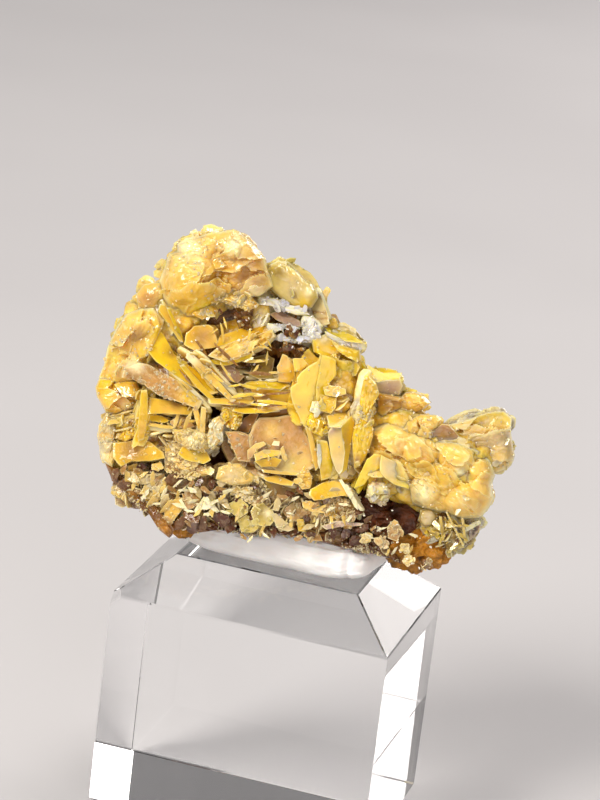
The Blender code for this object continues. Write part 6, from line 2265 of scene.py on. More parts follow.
BOXWORK_DRUSE_SHEETS: tuple[Sheet, ...] = (
    Sheet(
        ((15.0, 10.1), (15.8, 9.9), (16.8, 9.4), (17.8, 8.6), (18.4, 7.2), (17.6, 6.1), (16.8, 6.1),
         (15.6, 6.9), (14.0, 6.9), (13.2, 8.0), (14.0, 9.0)),
        -3.9, (0.1, 0.0), 1.0, Tint.HONEY, Tint.AMBER, 0.9, 0.1, Section.CRUST, 0.4, 0.7, -50.0, (),
        ((15.2, 8.4, 0.5, Tint.BROWN_ROCK), (16.2, 8.0, 0.4, Tint.OLIVE), (17.4, 7.0, 0.6, Tint.PALE)), 24,
        100, plates=20, plate=0.8,
    ),
    Sheet(
        ((13.1, 9.8), (14.2, 10.1), (14.9, 9.4), (14.5, 8.4), (13.6, 8.1), (13.0, 8.8)),
        -4.8, (0.2, 0.1), 0.6, Tint.PALE, Tint.OLIVE, 0.7, 0.05, Section.CRUST, 0.1, 1.5, 0.0,
        ((13.9, 9.1, 0.8, 0.3),), (), 0, 10,
    ),
    Sheet(
        ((15.6, 9.9), (15.8, 9.9), (17.9, 6.8), (17.7, 6.7)),
        -5.2, (0.2, 0.0), 0.2, Tint.CREAM, None, 1.0, sugar=4,
    ),
    Sheet(
        ((17.2, 9.6), (17.5, 9.5), (18.1, 7.0), (17.8, 7.1)),
        -5.0, (0.4, 0.0), 0.25, Tint.CREAM, None, 1.0, sugar=2,
    ),
    *bits(
        ((14.7, 8.6, 0.5), (16.4, 9.2, 0.4), (14.6, 7.5, 0.5), (15.4, 7.9, 0.4), (16.7, 7.9, 0.5),
         (17.3, 8.7, 0.4), (15.9, 8.6, 0.5), (16.9, 6.7, 0.5), (15.6, 7.2, 0.4), (14.0, 8.1, 0.4),
         (17.7, 7.6, 0.4), (16.3, 7.1, 0.3)),
        -4.9, Tint.WAX, 0.9, 24, 0.25, 20.0, 60.0,
    ),
    *bits(
        ((15.3, 9.3, 0.3), (16.1, 7.6, 0.35), (14.3, 7.8, 0.3), (15.2, 8.4, 0.3), (16.6, 8.6, 0.3),
         (17.1, 7.2, 0.25), (13.9, 7.3, 0.3), (15.0, 7.1, 0.3)),
        -4.7, Tint.BROWN_ROCK, 0.0, 25, 0.8,
    ),
    Sheet(
        ((15.0, 9.4), (15.3, 9.4), (15.9, 6.9), (15.6, 6.9)),
        -5.1, (0.5, 0.0), 0.25, Tint.CREAM, None, 1.0, sugar=2,
    ),
    Sheet(
        ((17.4, 8.3), (18.2, 9.0), (19.1, 9.6), (19.3, 9.2), (18.5, 8.6), (17.6, 8.0)),
        -4.4, (0.1, 0.1), 0.5, Tint.RIM_AND_HIGHLIGHT, None, 1.0, 0.1, sugar=2,
    ),
    Sheet(
        ((17.6, 8.0), (18.6, 8.6), (19.3, 9.3), (19.2, 8.6), (18.7, 7.8), (18.2, 7.2), (17.8, 7.2)),
        -4.0, (0.0, 0.0), 0.6, Tint.LILAC, None, 0.6, 0.2,
        stains=((18.7, 8.6, 0.35, Tint.BLACK_ROCK), (18.6, 8.1, 0.2, Tint.BLACK_ROCK)), sugar=6,
    ),
)


def clusters() -> list[Cluster]:
    """Every node of wulfenite, with its crystals read off the specimen."""
    r, s, t = Cut.ROUND, Cut.SCALLOPED, Cut.TABULAR
    return [
        Cluster(
            "upper_left_crust",
            Slot.CREAM,
            [
                Lump(-11.4, -0.8, 30.2, 4.0, 2.3, 3.9, Tint.CREAM),
                Lump(-16.4, -0.4, 22.0, 3.2, 2.4, 5.6, Tint.CREAM),
                Lump(-8.0, -0.2, 30.6, 3.0, 2.0, 3.2, Tint.PEACH),
                Lump(-13.6, -2.0, 25.6, 3.2, 1.8, 3.2, Tint.WAX),
            ],
            [
                Crystal(-12.5, 30.0, -3.3, 6.6, 5.9, 1.4, 75, -12, 0, r, Tint.WAX, 0.5, 0.0, 0.25, 0),
                Crystal(-10.6, 33.2, -1.8, 6.0, 3.8, 1.4, 10, -14, 0, r, Tint.CREAM, 0.9, 0.2),
                Crystal(-13.2, 32.6, -1.2, 3.0, 2.8, 1.1, 30, -6, 10, s, Tint.CREAM, 0.9, 0.3),
                Crystal(-7.6, 31.9, -2.1, 5.6, 4.8, 1.3, -52, -10, 18, s, Tint.PEACH, 0.5, 0.35),
                Crystal(-16.0, 27.5, -1.6, 4.2, 3.4, 1.2, 20, -8, -15, s, Tint.CREAM, 0.8, 0.2),
                Crystal(-17.1, 22.6, -2.0, 7.4, 5.5, 1.4, 78, -4, -22, r, Tint.WAX, 1.0, 0.2),
                Crystal(-18.0, 17.9, -1.9, 4.8, 4.2, 1.3, 60, -12, -20, r, Tint.CREAM, 1.0, 0.1),
                Crystal(-12.4, 26.7, -3.2, 3.8, 2.6, 0.9, -20, -30, 0, s, Tint.HONEY, 0.6, 0.2),
                Crystal(-14.1, 25.1, -3.8, 4.6, 2.6, 0.6, -58, 72, 0, t, Tint.HONEY, 1.0, 0.1),
                Crystal(-15.4, 21.8, -3.0, 4.8, 3.0, 1.0, 70, 20, 0, s, Tint.BRIGHT, 0.4, 0.0, 0.0, 1),
                Crystal(-9.2, 28.6, -2.4, 3.2, 1.9, 0.8, -14, -24, 0, s, Tint.WAX, 0.8, 0.5),
            ],
            rim=Rim.WAXY,
            ragged=0.035,
            relief=0.35,
            stacks=3,
            plates_on=24,
            blades_on=24,
            sugar=160,
            turn=18.0,
            deep=Tint.DEEP,
            shade=0.45,
            set_back=1.2,
            sheets=UPPER_LEFT_CRUST_SHEETS,
            seed=100,
        ),
        Cluster(
            "upper_right_plates",
            Slot.PALE,
            [
                Lump(-1.6, 0.2, 28.0, 2.7, 2.0, 2.2, Tint.RIM_AND_HIGHLIGHT),
                Lump(2.6, -0.4, 25.2, 2.6, 1.8, 2.0, Tint.GREENISH),
            ],
            [
                Crystal(-2.1, 30.2, -0.6, 7.2, 4.2, 0.8, -38, -14, 8, s, Tint.GREENISH, 0.6, 0.0, 0.2, 1),
                Crystal(0.8, 28.7, -1.2, 3.6, 2.4, 0.5, -62, 70, 0, t, Tint.PALE, 1.0, 0.1),
                Crystal(0.9, 29.8, -0.4, 2.0, 0.7, 0.6, 66, 0, 0, t, Tint.CREAM, 0.6, 0.2),
                Crystal(2.0, 27.2, -0.8, 1.8, 1.5, 0.8, -60, -20, 0, s, Tint.TAN, 0.6, 0.1),
                Crystal(-4.8, 28.6, -1.4, 4.6, 2.0, 0.8, -16, -30, 0, s, Tint.FROST, 1.0, 0.8),
                Crystal(-1.2, 28.4, -1.8, 4.2, 1.5, 0.8, -16, -26, 0, s, Tint.FROST, 1.0, 0.8),
                Crystal(0.2, 25.2, -2.2, 3.4, 1.8, 0.6, -2, -55, 0, t, Tint.LILAC, 0.8, 0.6),
                Crystal(0.7, 26.2, -2.0, 2.8, 1.6, 0.8, 70, -10, 0, s, Tint.FROST, 1.0, 0.7),
                Crystal(3.7, 25.9, -1.6, 3.8, 2.4, 0.8, -20, -60, 0, t, Tint.LEMON, 1.0, 0.3),
                Crystal(2.9, 24.7, -2.4, 4.8, 3.0, 0.8, -8, -8, 0, s, Tint.LEMON, 0.5, 0.2),
                Crystal(4.4, 23.1, -3.0, 2.9, 2.6, 0.9, 5, -8, 0, t, Tint.BRIGHT, 0.4, 0.0),
                Crystal(6.9, 22.5, -2.2, 5.4, 3.0, 0.5, 5, -64, 0, t, Tint.BRIGHT, 0.6, 0.0),
                Crystal(8.3, 21.8, -2.6, 3.2, 1.8, 0.5, -24, -20, 0, t, Tint.PALE, 0.6, 0.0),
            ],
            stacks=0,
            plates_on=20,
            blades_on=12,
            sugar=300,
            sheets=UPPER_RIGHT_PLATES_SHEETS,
            seed=200,
        ),
        Cluster(
            "lemon_blades",
            Slot.LEMON,
            [
                Lump(2.8, -3.4, 18.8, 3.2, 2.3, 4.4, Tint.HONEY),
                Lump(4.0, -4.0, 14.6, 2.8, 1.7, 3.4, Tint.HONEY),
            ],
            [
                Crystal(0.3, 20.4, -5.0, 7.2, 3.2, 0.7, 82, 8, 14, s, Tint.LEMON, 0.2, 0.0, 0.15, 1),
                Crystal(2.3, 21.8, -4.9, 4.4, 2.4, 0.8, 85, -6, 0, s, Tint.LEMON, 0.3, 0.0),
                Crystal(1.6, 14.9, -5.0, 5.4, 3.0, 0.6, -66, 60, 0, t, Tint.LEMON, 1.0, 0.1),
                Crystal(3.2, 13.7, -5.2, 4.8, 1.7, 0.7, -72, 14, 0, t, Tint.LEMON, 0.5, 0.0),
                Crystal(4.6, 15.2, -5.8, 6.2, 2.0, 1.0, -76, -28, 0, t, Tint.PALE, 0.7, 0.0),
                Crystal(3.9, 18.0, -5.4, 3.4, 1.5, 0.8, 17, -25, 0, t, Tint.HONEY, 0.5, 0.1),
                Crystal(6.3, 18.0, -4.9, 9.4, 4.0, 1.1, 88, 66, 0, s, Tint.LEMON, 0.8, 0.6),
                Crystal(3.1, 20.5, -5.4, 2.4, 1.3, 0.7, 8, -40, 0, s, Tint.CREAM, 0.6, 0.2),
            ],
            stacks=2,
            stack_spread=1.2,
            plates_on=40,
            blades_on=60,
            sugar=700,
            sheets=LEMON_BLADES_SHEETS,
            seed=300,
        ),
        Cluster(
            "right_crust",
            Slot.CREAM,
            [
                Lump(13.8, -2.6, 14.0, 6.0, 2.9, 4.2, Tint.WAX),
                Lump(9.4, -2.4, 17.4, 3.4, 2.2, 3.2, Tint.WAX),
                Lump(9.4, -4.0, 13.4, 2.6, 1.3, 2.4, Tint.WAX),
            ],
            [
                Crystal(9.2, 19.2, -3.0, 4.8, 3.6, 1.0, -5, -10, 0, s, Tint.HONEY, 0.4, 0.0),
                Crystal(11.2, 20.4, -1.6, 3.2, 2.3, 0.9, -10, -10, 12, r, Tint.CREAM, 0.8, 0.1),
                Crystal(12.8, 18.1, -3.0, 3.6, 2.8, 1.1, -15, -14, 0, r, Tint.CREAM, 0.9, 0.1),
                Crystal(9.2, 16.4, -4.4, 5.0, 2.8, 1.2, -8, -24, 0, s, Tint.WAX, 0.5, 0.1),
                Crystal(14.8, 17.3, -2.8, 3.2, 2.8, 1.0, -25, -12, 0, s, Tint.TAN, 0.6, 0.0),
                Crystal(12.8, 15.2, -5.2, 5.6, 2.8, 1.3, -18, -20, 0, s, Tint.WAX, 0.8, 0.1),
                Crystal(16.4, 15.2, -4.4, 4.8, 2.8, 1.3, 6, -18, 14, s, Tint.CREAM, 0.8, 0.1),
                Crystal(13.6, 12.6, -5.6, 5.2, 3.2, 1.3, -28, -14, 0, s, Tint.WAX, 0.7, 0.1),
                Crystal(17.2, 12.6, -5.0, 5.2, 3.4, 1.4, 12, -10, 16, r, Tint.CREAM, 0.8, 0.1),
                Crystal(15.4, 10.9, -4.8, 4.8, 2.6, 1.3, 2, 8, 0, s, Tint.CREAM, 0.8, 0.1),
                Crystal(18.9, 12.0, -3.0, 4.2, 2.8, 1.3, 75, 0, 30, r, Tint.CREAM, 1.0, 0.2),
                Crystal(7.5, 13.0, -5.6, 4.4, 1.7, 0.8, 62, 22, 0, t, Tint.BRIGHT, 0.3, 0.0),
                Crystal(10.2, 13.3, -5.4, 3.9, 2.2, 0.9, -42, -14, 0, t, Tint.PALE, 0.5, 0.0),
                Crystal(8.7, 11.2, -5.0, 2.7, 2.3, 1.0, 10, -10, 0, r, Tint.CREAM, 1.0, 0.3),
            ],
            rim=Rim.WAXY,
            ragged=0.05,
            relief=0.6,
            stacks=3,
            plates_on=20,
            blades_on=10,
            sugar=60,
            turn=18.0,
            deep=Tint.DEEP,
            shade=0.5,
            set_back=1.3,
            sheets=RIGHT_CRUST_SHEETS,
            seed=400,
        ),
        Cluster(
            "right_fan",
            Slot.PALE,
            [Lump(17.8, -0.4, 16.6, 2.4, 1.5, 2.0, Tint.CREAM)],
            [
                Crystal(18.2, 18.3, -1.0, 6.4, 4.2, 0.8, 20, -8, 10, s, Tint.PALE, 0.9, 0.2),
                Crystal(20.1, 16.2, -0.6, 3.9, 3.2, 0.8, 80, -4, 22, r, Tint.PALE, 0.8, 0.0),
            ],
            rim=Rim.STEPPED,
            relief=0.3,
            stacks=3,
            stack_spread=0.8,
            plates_on=30,
            blades_on=30,
            sugar=120,
            sheets=RIGHT_FAN_SHEETS,
            seed=500,
        ),
        Cluster(
            "centre_blades",
            Slot.HONEY,
            [
                Lump(-10.6, -2.2, 21.4, 4.4, 1.7, 3.6, Tint.AMBER),
                Lump(-4.6, -2.4, 19.2, 4.2, 1.7, 2.2, Tint.AMBER),
            ],
            [
                Crystal(-9.6, 20.5, -5.0, 7.4, 3.0, 0.5, -33, 70, 0, t, Tint.DEEP, 1.0, 0.1),
                Crystal(-11.3, 18.6, -5.0, 5.4, 2.4, 0.5, -37, 70, 0, t, Tint.HONEY, 1.0, 0.1),
                Crystal(-13.0, 21.6, -3.9, 7.2, 2.6, 0.8, -38, -32, 0, t, Tint.BRIGHT, 0.4, 0.0),
                Crystal(-13.9, 19.3, -4.4, 7.6, 2.4, 0.8, -17, -28, 0, s, Tint.PEACH, 0.5, 0.3),
                Crystal(-10.8, 24.2, -3.4, 3.3, 2.7, 1.1, 5, -14, 0, t, Tint.HONEY, 0.4, 0.1),
                Crystal(-7.0, 23.7, -4.0, 7.2, 2.4, 0.8, 29, -38, 0, s, Tint.CREAM, 0.6, 0.6),
                Crystal(-7.7, 25.6, -2.6, 4.2, 1.5, 0.7, 24, -30, 0, t, Tint.DEEP, 0.5, 0.2),
                Crystal(-7.7, 21.0, -3.6, 3.3, 1.9, 0.7, -14, -20, 0, t, Tint.TAN, 0.5, 0.1),
                Crystal(-4.2, 21.4, -3.4, 4.4, 2.8, 0.5, 8, -70, 0, s, Tint.OLIVE, 0.9, 0.0),
                Crystal(-3.2, 20.3, -3.8, 5.2, 3.0, 0.5, 2, -70, 0, s, Tint.HONEY, 1.0, 0.0),
                Crystal(-3.0, 19.2, -3.6, 4.4, 1.5, 0.8, 4, -6, 0, t, Tint.DEEP, 0.4, 0.0),
                Crystal(-4.6, 18.2, -4.2, 8.6, 3.4, 0.5, 7, -72, 0, s, Tint.HONEY, 1.0, 0.0),
                Crystal(-7.6, 18.3, -4.8, 5.4, 2.0, 0.5, 4, -62, 0, s, Tint.HONEY, 1.0, 0.1),
                Crystal(-1.9, 21.8, -4.0, 2.9, 2.1, 0.7, 80, -10, 0, s, Tint.WAX, 0.5, 0.0),
                Crystal(-6.9, 16.9, -4.2, 3.0, 2.0, 0.6, -50, 40, 0, s, Tint.DEEP, 0.8, 0.0),
            ],
            plates_on=60,
            blades_on=60,
            sugar=600,
            sheets=CENTRE_BLADES_SHEETS,
            seed=600,
        ),
        Cluster(
            "lower_left_blades",
            Slot.HONEY,
            [
                Lump(-15.6, -2.4, 14.4, 3.4, 1.9, 2.9, Tint.TAN),
                Lump(-10.4, -3.2, 14.2, 2.8, 1.6, 2.3, Tint.CREAM),
            ],
            [
                Crystal(-15.6, 15.8, -4.9, 5.4, 1.6, 0.7, 88, 30, 0, t, Tint.LEMON, 0.6, 0.0),
                Crystal(-12.9, 17.1, -4.0, 5.0, 2.4, 0.7, -4, -46, 0, t, Tint.CREAM, 0.6, 0.1),
                Crystal(-13.6, 15.1, -4.6, 3.6, 2.6, 0.5, 3, -70, 0, t, Tint.CREAM, 0.8, 0.1),
                Crystal(-11.3, 15.5, -4.6, 2.5, 1.6, 0.6, -10, -30, 0, t, Tint.TAN, 0.6, 0.1),
                Crystal(-9.5, 15.7, -5.0, 3.0, 1.8, 0.4, 85, 62, 0, t, Tint.HONEY, 1.0, 0.0),
                Crystal(-8.1, 14.9, -4.9, 3.8, 2.0, 0.6, 66, 52, 0, s, Tint.FROST, 0.8, 0.6),
                Crystal(-10.6, 13.5, -5.0, 3.8, 2.6, 0.8, 20, -14, 0, s, Tint.CREAM, 0.7, 0.4),
                Crystal(-18.2, 13.1, -2.4, 5.2, 3.4, 1.2, 85, -6, -24, r, Tint.CREAM, 1.0, 0.3),
                Crystal(-17.4, 15.4, -3.8, 3.4, 2.2, 0.5, 12, -70, 0, t, Tint.CREAM, 1.0, 0.1),
                Crystal(-15.8, 12.4, -4.4, 4.6, 2.3, 0.8, 5, -22, 0, t, Tint.HONEY, 0.5, 0.1),
                Crystal(-17.2, 11.2, -3.4, 3.0, 2.2, 0.7, -30, 10, 0, t, Tint.WAX, 0.6, 0.1),
            ],
            plates_on=60,
            blades_on=90,
            sugar=600,
            sheets=LOWER_LEFT_BLADES_SHEETS,
            seed=700,
        ),
        Cluster(
            "peach_plates",
            Slot.PEACH,
            [Lump(-2.2, -3.6, 13.8, 3.8, 1.3, 2.6, Tint.PEACH)],
            [
                Crystal(-1.7, 15.0, -4.7, 6.6, 5.2, 0.6, -12, -14, 0, t, Tint.PEACH, 0.4, 0.05, 0.1, 1),
                Crystal(-6.0, 13.4, -4.3, 3.5, 2.1, 0.7, -52, -10, 0, t, Tint.PEACH, 0.7, 0.1),
                Crystal(-2.8, 13.6, -5.7, 2.8, 1.5, 0.6, 20, -36, 0, s, Tint.HONEY, 0.8, 0.2),
                Crystal(-2.5, 12.6, -5.7, 3.0, 1.7, 0.5, 8, -50, 0, s, Tint.PEACH, 0.8, 0.2),
                Crystal(-0.3, 12.7, -5.2, 3.8, 1.7, 0.6, -5, -16, 0, t, Tint.WAX, 0.6, 0.1),
                Crystal(-1.5, 11.4, -5.0, 4.2, 2.4, 0.5, -10, -62, 0, t, Tint.TAN, 0.8, 0.1),
            ],
            stacks=1,
            stack_spread=1.2,
            plates_on=30,
            blades_on=60,
            sugar=500,
            sheets=PEACH_PLATES_SHEETS,
            seed=800,
        ),
        Cluster(
            "lower_druse",
            Slot.TAN,
            [
                Lump(-13.2, -2.4, 8.8, 4.2, 2.0, 2.5, Tint.TAN),
                Lump(-7.8, -3.4, 8.6, 4.0, 1.5, 2.6, Tint.TAN),
                Lump(-1.8, -3.6, 8.0, 4.0, 1.4, 2.4, Tint.OLIVE),
                Lump(3.4, -3.4, 8.6, 3.2, 1.6, 2.6, Tint.PEACH),
            ],
            [
                Crystal(-6.1, 10.9, -4.9, 3.4, 2.4, 0.7, 4, -12, 0, t, Tint.CREAM, 0.5, 0.2),
                Crystal(3.7, 10.9, -4.9, 3.6, 2.0, 0.7, 16, -20, 0, t, Tint.LEMON, 0.5, 0.0),
                Crystal(6.0, 10.1, -4.9, 3.9, 1.6, 0.5, -52, 50, 0, t, Tint.FROST, 1.0, 0.3),
                Crystal(-5.2, 7.6, -4.8, 3.0, 2.0, 0.6, -15, -14, 0, t, Tint.GREENISH, 0.4, 0.1),
                Crystal(-2.7, 7.2, -4.9, 3.0, 2.2, 0.6, -30, 10, 0, t, Tint.GREENISH, 0.4, 0.1),
                Crystal(-0.2, 8.1, -4.9, 3.0, 1.5, 0.5, -22, -30, 0, t, Tint.CREAM, 0.6, 0.1),
                Crystal(2.6, 7.3, -4.8, 3.6, 1.5, 0.5, -12, -30, 0, t, Tint.CREAM, 0.6, 0.2),
                Crystal(-11.5, 6.8, -4.0, 2.6, 1.7, 0.7, 80, 10, 0, t, Tint.CREAM, 0.6, 0.1),
                Crystal(-8.6, 8.2, -5.0, 3.2, 1.3, 0.5, -42, 30, 0, t, Tint.FROST, 1.0, 0.5),
            ],
            stacks=2,
            plates_on=160,
            plate_size=(0.4, 1.3),
            blades_on=430,
            blade_size=(0.5, 1.9),
            blade_turn=50.0,
            sugar=1500,
            deep=Tint.BROWN_ROCK,
            shade=0.95,
            mix=(
                Tint.CREAM, Tint.TAN, Tint.TAN, Tint.HONEY, Tint.OLIVE, Tint.AMBER, Tint.BROWN_ROCK,
                Tint.FROST, Tint.WAX, Tint.PEACH, Tint.AMBER,
            ),
            sheets=LOWER_DRUSE_SHEETS,
            seed=900,
        ),
        Cluster(
            "boxwork_druse",
            Slot.PALE,
            [Lump(16.4, -2.8, 8.2, 2.3, 2.0, 2.0, Tint.OLIVE)],
            [
                Crystal(14.2, 9.0, -4.0, 3.0, 2.4, 0.6, 60, 30, 0, t, Tint.GREENISH, 0.6, 0.1),
                Crystal(16.6, 8.6, -4.6, 3.8, 2.0, 0.5, -52, 60, 0, t, Tint.GREENISH, 1.0, 0.1),
                Crystal(15.4, 7.7, -4.6, 3.4, 2.0, 0.5, 20, -66, 0, t, Tint.PALE, 0.8, 0.2),
                Crystal(17.5, 7.4, -4.2, 2.8, 2.0, 0.6, 72, 44, 0, t, Tint.GREENISH, 0.9, 0.1),
                Crystal(18.3, 9.0, -3.2, 3.0, 2.0, 0.7, 40, -10, 20, t, Tint.FROST, 1.0, 0.2),
            ],
            plates_on=30,
            blades_on=50,
            blade_size=(0.5, 1.4),
            sugar=200,
            deep=Tint.BROWN_ROCK,
            mix=(Tint.HONEY, Tint.WAX, Tint.OLIVE, Tint.CREAM, Tint.DEEP),
            sheets=BOXWORK_DRUSE_SHEETS,
            seed=1000,
        ),
        Cluster(
            "back_druse",
            Slot.HONEY,
            [Lump(-7.0, 6.8, 21.0, 5.2, 1.5, 5.2, Tint.WAX)],
            [
                Crystal(-5.2, 22.6, 8.0, 4.6, 3.4, 0.8, -40, 168, 0, t, Tint.HONEY, 0.7, 0.1),
                Crystal(-9.2, 19.6, 8.0, 4.8, 3.4, 0.8, 70, 200, 0, s, Tint.WAX, 0.7, 0.1),
                Crystal(-5.8, 18.4, 7.8, 3.8, 2.8, 0.7, 10, 215, 0, t, Tint.HONEY, 0.7, 0.1),
                Crystal(-7.2, 21.4, 8.4, 4.4, 3.0, 0.6, -65, 115, 0, t, Tint.HONEY, 0.9, 0.1),
            ],
            back=-1.0,
            set_back=0.0,
            seed=1100,
        ),
    ]


@dataclass
class Ironrock:
    """The limonite matrix: worked lumps, dark and glossy at the lower right."""

    lumps: tuple[Lump, ...] = (
        Lump(-1.0, 2.6, 9.6, 16.4, 6.0, 4.8, Tint.BROWN_ROCK),
        Lump(-7.5, 3.0, 20.0, 10.2, 4.4, 10.0, Tint.AMBER),
        Lump(11.2, 1.6, 12.4, 7.4, 4.4, 5.2, Tint.BROWN_ROCK),
        Lump(12.9, -2.2, 6.3, 4.2, 3.4, 2.9, Tint.ORANGE_ROCK),
        Lump(-11.0, -2.6, 5.6, 2.3, 2.4, 1.5, Tint.ORANGE_ROCK),
        Lump(9.2, -2.8, 8.7, 4.8, 3.0, 3.0, Tint.RED_ROCK),
        Lump(2.2, 2.4, 20.4, 4.6, 3.4, 5.4, Tint.AMBER),
        Lump(-2.2, -1.2, 25.4, 2.8, 2.2, 2.8, Tint.AMBER),
    )
    rows: int = 72
    rough: float = 0.75
    crease: float = 60.0
    seed: int = 7

    def build(self) -> bpy.types.Object:
        """Makes the matrix as one piece."""
        shape = lumps_shape(list(self.lumps), self.rows, self.rough, Grain(self.seed), True)
        shape.points = STAND.world(shape.points)
        piece = shape.build("limonite_rock", Ironstone(), self.crease)
        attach(piece, "root")
        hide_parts("limonite_matrix")
        LOG.info("limonite_rock: %d faces", len(piece.data.polygons))
        return piece


def signed_power(value: Array, power: float) -> Array:
    """The size of each value to a power, with the value's own sign."""
    return np.sign(value) * np.abs(value) ** power


@dataclass
class Putty:
    """The strip of putty, pressed between the block and the stone."""

    width: float = 19.3
    depth: float = 9.0
    low: float = 26.02
    high: float = 30.0
    square: float = 0.42
    side: float = 0.4
    top: float = 0.6
    fold_at: float = 7.6
    fold_width: float = 0.35
    fold_depth: float = 0.45
    rows: int = 90
    crease: float = 80.0
    seed: int = 21

    def build(self) -> bpy.types.Object:
        """Makes the putty.

        A superellipsoid: signed powers of the sines and cosines of two angles, wider at mid height, with
        slow swells, a thumb's hollow in front and fine stretch marks that run along it.
        """
        sectors = 4 * self.rows
        polar = np.linspace(0.0, math.pi, self.rows + 2)[1:-1]
        turn = np.linspace(0.0, FULL_TURN, sectors, endpoint=False)
        ring = signed_power(np.sin(polar), self.side)[:, None]
        x = ring * signed_power(np.cos(turn), self.square)
        y = ring * signed_power(np.sin(turn), self.square)
        z = np.broadcast_to(signed_power(np.cos(polar), self.top)[:, None], x.shape)
        cube = np.stack([x, y, z], axis=-1).reshape(-1, 3)
        cube = np.concatenate([[[0.0, 0.0, 1.0]], cube, [[0.0, 0.0, -1.0]]])
        half = np.array([self.width, self.depth, self.high - self.low]) / 2.0
        points = cube * half + np.array([0.0, 0.0, (self.high + self.low) / 2.0])
        grain = Grain(self.seed)
        sway = np.stack([grain.layered(points + shift, 5.0, 2) for shift in (0.0, 17.0, 31.0)], axis=-1)
        free = smooth(self.low, self.low + 1.2, points[:, 2])[:, None]
        points += sway * np.array([0.5, 0.3, 0.5]) * free
        marks = np.abs(grain.layered(points * np.array([0.35, 1.0, 1.5]) + 50.0, 1.6, 3))[:, None]
        points += np.array([0.0, -0.3, 0.25]) * marks * free
        fold = np.exp(-(((points[:, 0] - self.fold_at) / self.fold_width) ** 2)) * (points[:, 1] < 0)
        points[:, 1] += self.fold_depth * fold
        quads, tris = grid_faces(self.rows, sectors, 1)
        shape = Shape(points * MM, quads, tris, np.ones((len(points), 3)), np.zeros(len(points)))
        piece = shape.build("putty_strip", PuttyFinish(), self.crease)
        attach(piece, "root")
        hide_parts("putty")
        LOG.info("putty_strip: %d faces", len(piece.data.polygons))
        return piece


@dataclass
class Block:
    """The clear display block, whose solid stays and gets its finish."""

    node: str = "acrylic_block"

    def build(self, nodes: dict[str, bpy.types.Object]) -> bpy.types.Object:
        """Dresses the block's solid."""
        solid = nodes[self.node]
        for slot in solid.material_slots:
            slot.material = Acrylic().material()
        LOG.info("%s: dressed", self.node)
        return solid


@dataclass(frozen=True)
class Lamp:
    """A soft square light: its place and side in metres, its power in watts and its colour."""

    name: str
    place: tuple[float, float, float]
    size: float
    power: float
    color: tuple[float, float, float]


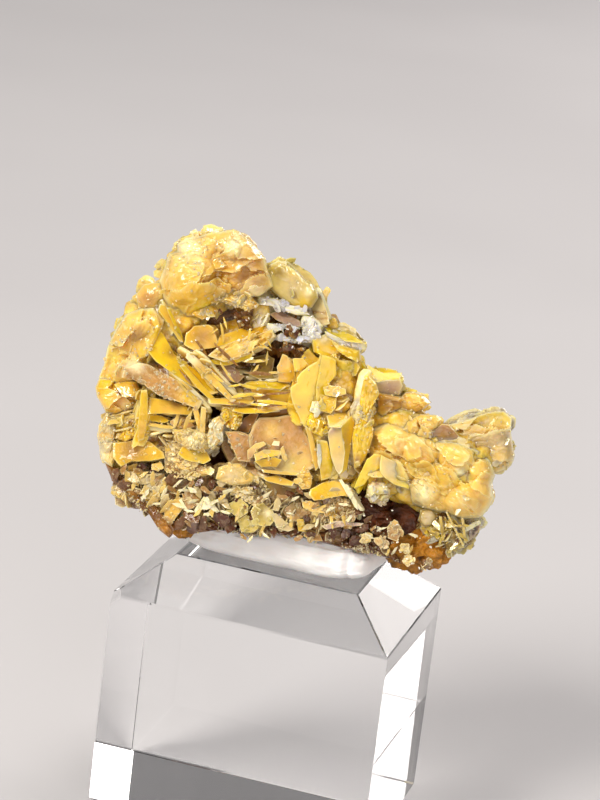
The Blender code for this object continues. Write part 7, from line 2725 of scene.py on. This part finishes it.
@dataclass
class Studio:
    """The sweep, the lights and the camera at the photograph's angle."""

    azimuth: float = math.radians(15.2)
    elevation: float = math.radians(18.6)
    roll: float = math.atan2(0.121, 0.9927)
    lens: float = 135.0
    distance: float = 0.3
    shoulder: float = 0.0222
    aim_across: float = -0.00022
    aim_up: float = 0.01922
    lit: tuple[float, float, float] = (0.0, 0.0, 0.04)
    sky: tuple[float, float, float] = (0.94, 0.91, 0.88)
    sky_strength: float = 0.32
    lamps: tuple[Lamp, ...] = (
        Lamp("key", (-0.24, -0.38, 0.42), 0.20, 3.45, (1.0, 0.95, 0.88)),
        Lamp("fill", (0.36, -0.40, 0.16), 0.40, 1.15, (1.0, 0.95, 0.92)),
        Lamp("top", (0.05, 0.16, 0.50), 0.30, 1.2, (1.0, 0.95, 0.90)),
        Lamp("back", (0.16, 0.55, 0.217), 0.22, 1.1, (1.0, 0.94, 0.91)),
    )

    def camera(self) -> bpy.types.Object:
        """Adds the camera: it looks along the photograph's line of sight, with the photograph's roll."""
        a, e = self.azimuth, self.elevation
        across = Vector((math.cos(a), math.sin(a), 0.0))
        back = Vector((math.sin(a) * math.cos(e), -math.cos(a) * math.cos(e), math.sin(e)))
        up = Vector((-math.sin(a) * math.sin(e), math.cos(a) * math.sin(e), math.cos(e)))
        target = Vector((0.0, 0.0, self.shoulder)) + across * self.aim_across + up * self.aim_up
        right = across * math.cos(self.roll) + up * math.sin(self.roll)
        top = up * math.cos(self.roll) - across * math.sin(self.roll)
        turned = Matrix((right, top, back)).transposed().to_4x4()
        data = bpy.data.cameras.new("camera")
        data.lens = self.lens
        data.sensor_width = 36.0
        data.clip_start = 0.01
        camera = bpy.data.objects.new("camera", data)
        camera.matrix_world = Matrix.Translation(target + back * self.distance) @ turned
        bpy.context.scene.collection.objects.link(camera)
        bpy.context.scene.camera = camera
        return camera

    def light(self, lamp: Lamp) -> bpy.types.Object:
        """Adds a light that looks at the specimen.

        Args:
            lamp: what it is like.

        Returns:
            The light.
        """
        data = bpy.data.lights.new(lamp.name, "AREA")
        data.size = lamp.size
        data.energy = lamp.power
        data.color = lamp.color
        made = bpy.data.objects.new(lamp.name, data)
        made.location = lamp.place
        aim = Vector(self.lit) - Vector(lamp.place)
        made.rotation_euler = aim.to_track_quat("-Z", "Y").to_euler()
        bpy.context.scene.collection.objects.link(made)
        return made

    def sweep(self) -> bpy.types.Object:
        """Adds the pale floor, which curves up far behind: a flat run, a quarter turn and a rise."""
        near, reach, bend, rise, half, below = -1.2, 1.2, 0.5, 1.6, 3.0, 0.0003
        turn = np.linspace(0.0, math.pi / 2.0, 25)
        run = np.concatenate([[near], reach + bend * np.sin(turn), [reach + bend]])
        level = np.concatenate([[0.0], bend * (1.0 - np.cos(turn)), [rise]]) - below
        left = np.stack([np.full_like(run, -half), run, level], axis=-1)
        right = left * np.array([-1.0, 1.0, 1.0])
        points = np.concatenate([left, right])
        count = len(run)
        row = np.arange(count - 1)
        quads = np.stack([row, row + count, row + count + 1, row + 1], axis=-1)
        no_tris = np.zeros((0, 3), int)
        shape = Shape(points, quads, no_tris, np.ones((len(points), 3)), np.zeros(len(points)))
        floor = shape.build("sweep", Backdrop(), 80.0)
        return floor

    def build(self) -> None:
        """Adds everything that isn't the object."""
        scene = bpy.context.scene
        self.camera()
        self.sweep()
        for lamp in self.lamps:
            self.light(lamp)
        world = bpy.data.worlds.new("studio")
        world.use_nodes = True
        shade = world.node_tree.nodes["Background"]
        shade.inputs["Color"].default_value = (*self.sky, 1.0)
        shade.inputs["Strength"].default_value = self.sky_strength
        scene.world = world
        scene.view_settings.view_transform = "Standard"


def main() -> None:
    """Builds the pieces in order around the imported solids."""
    logging.basicConfig(level=logging.INFO, format="%(name)s %(message)s")
    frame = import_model()
    Studio().build()
    Block().build(frame["nodes"])
    Putty().build()
    Ironrock().build()
    for cluster in clusters():
        cluster.build()
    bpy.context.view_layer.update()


if __name__ == "__main__":
    main()
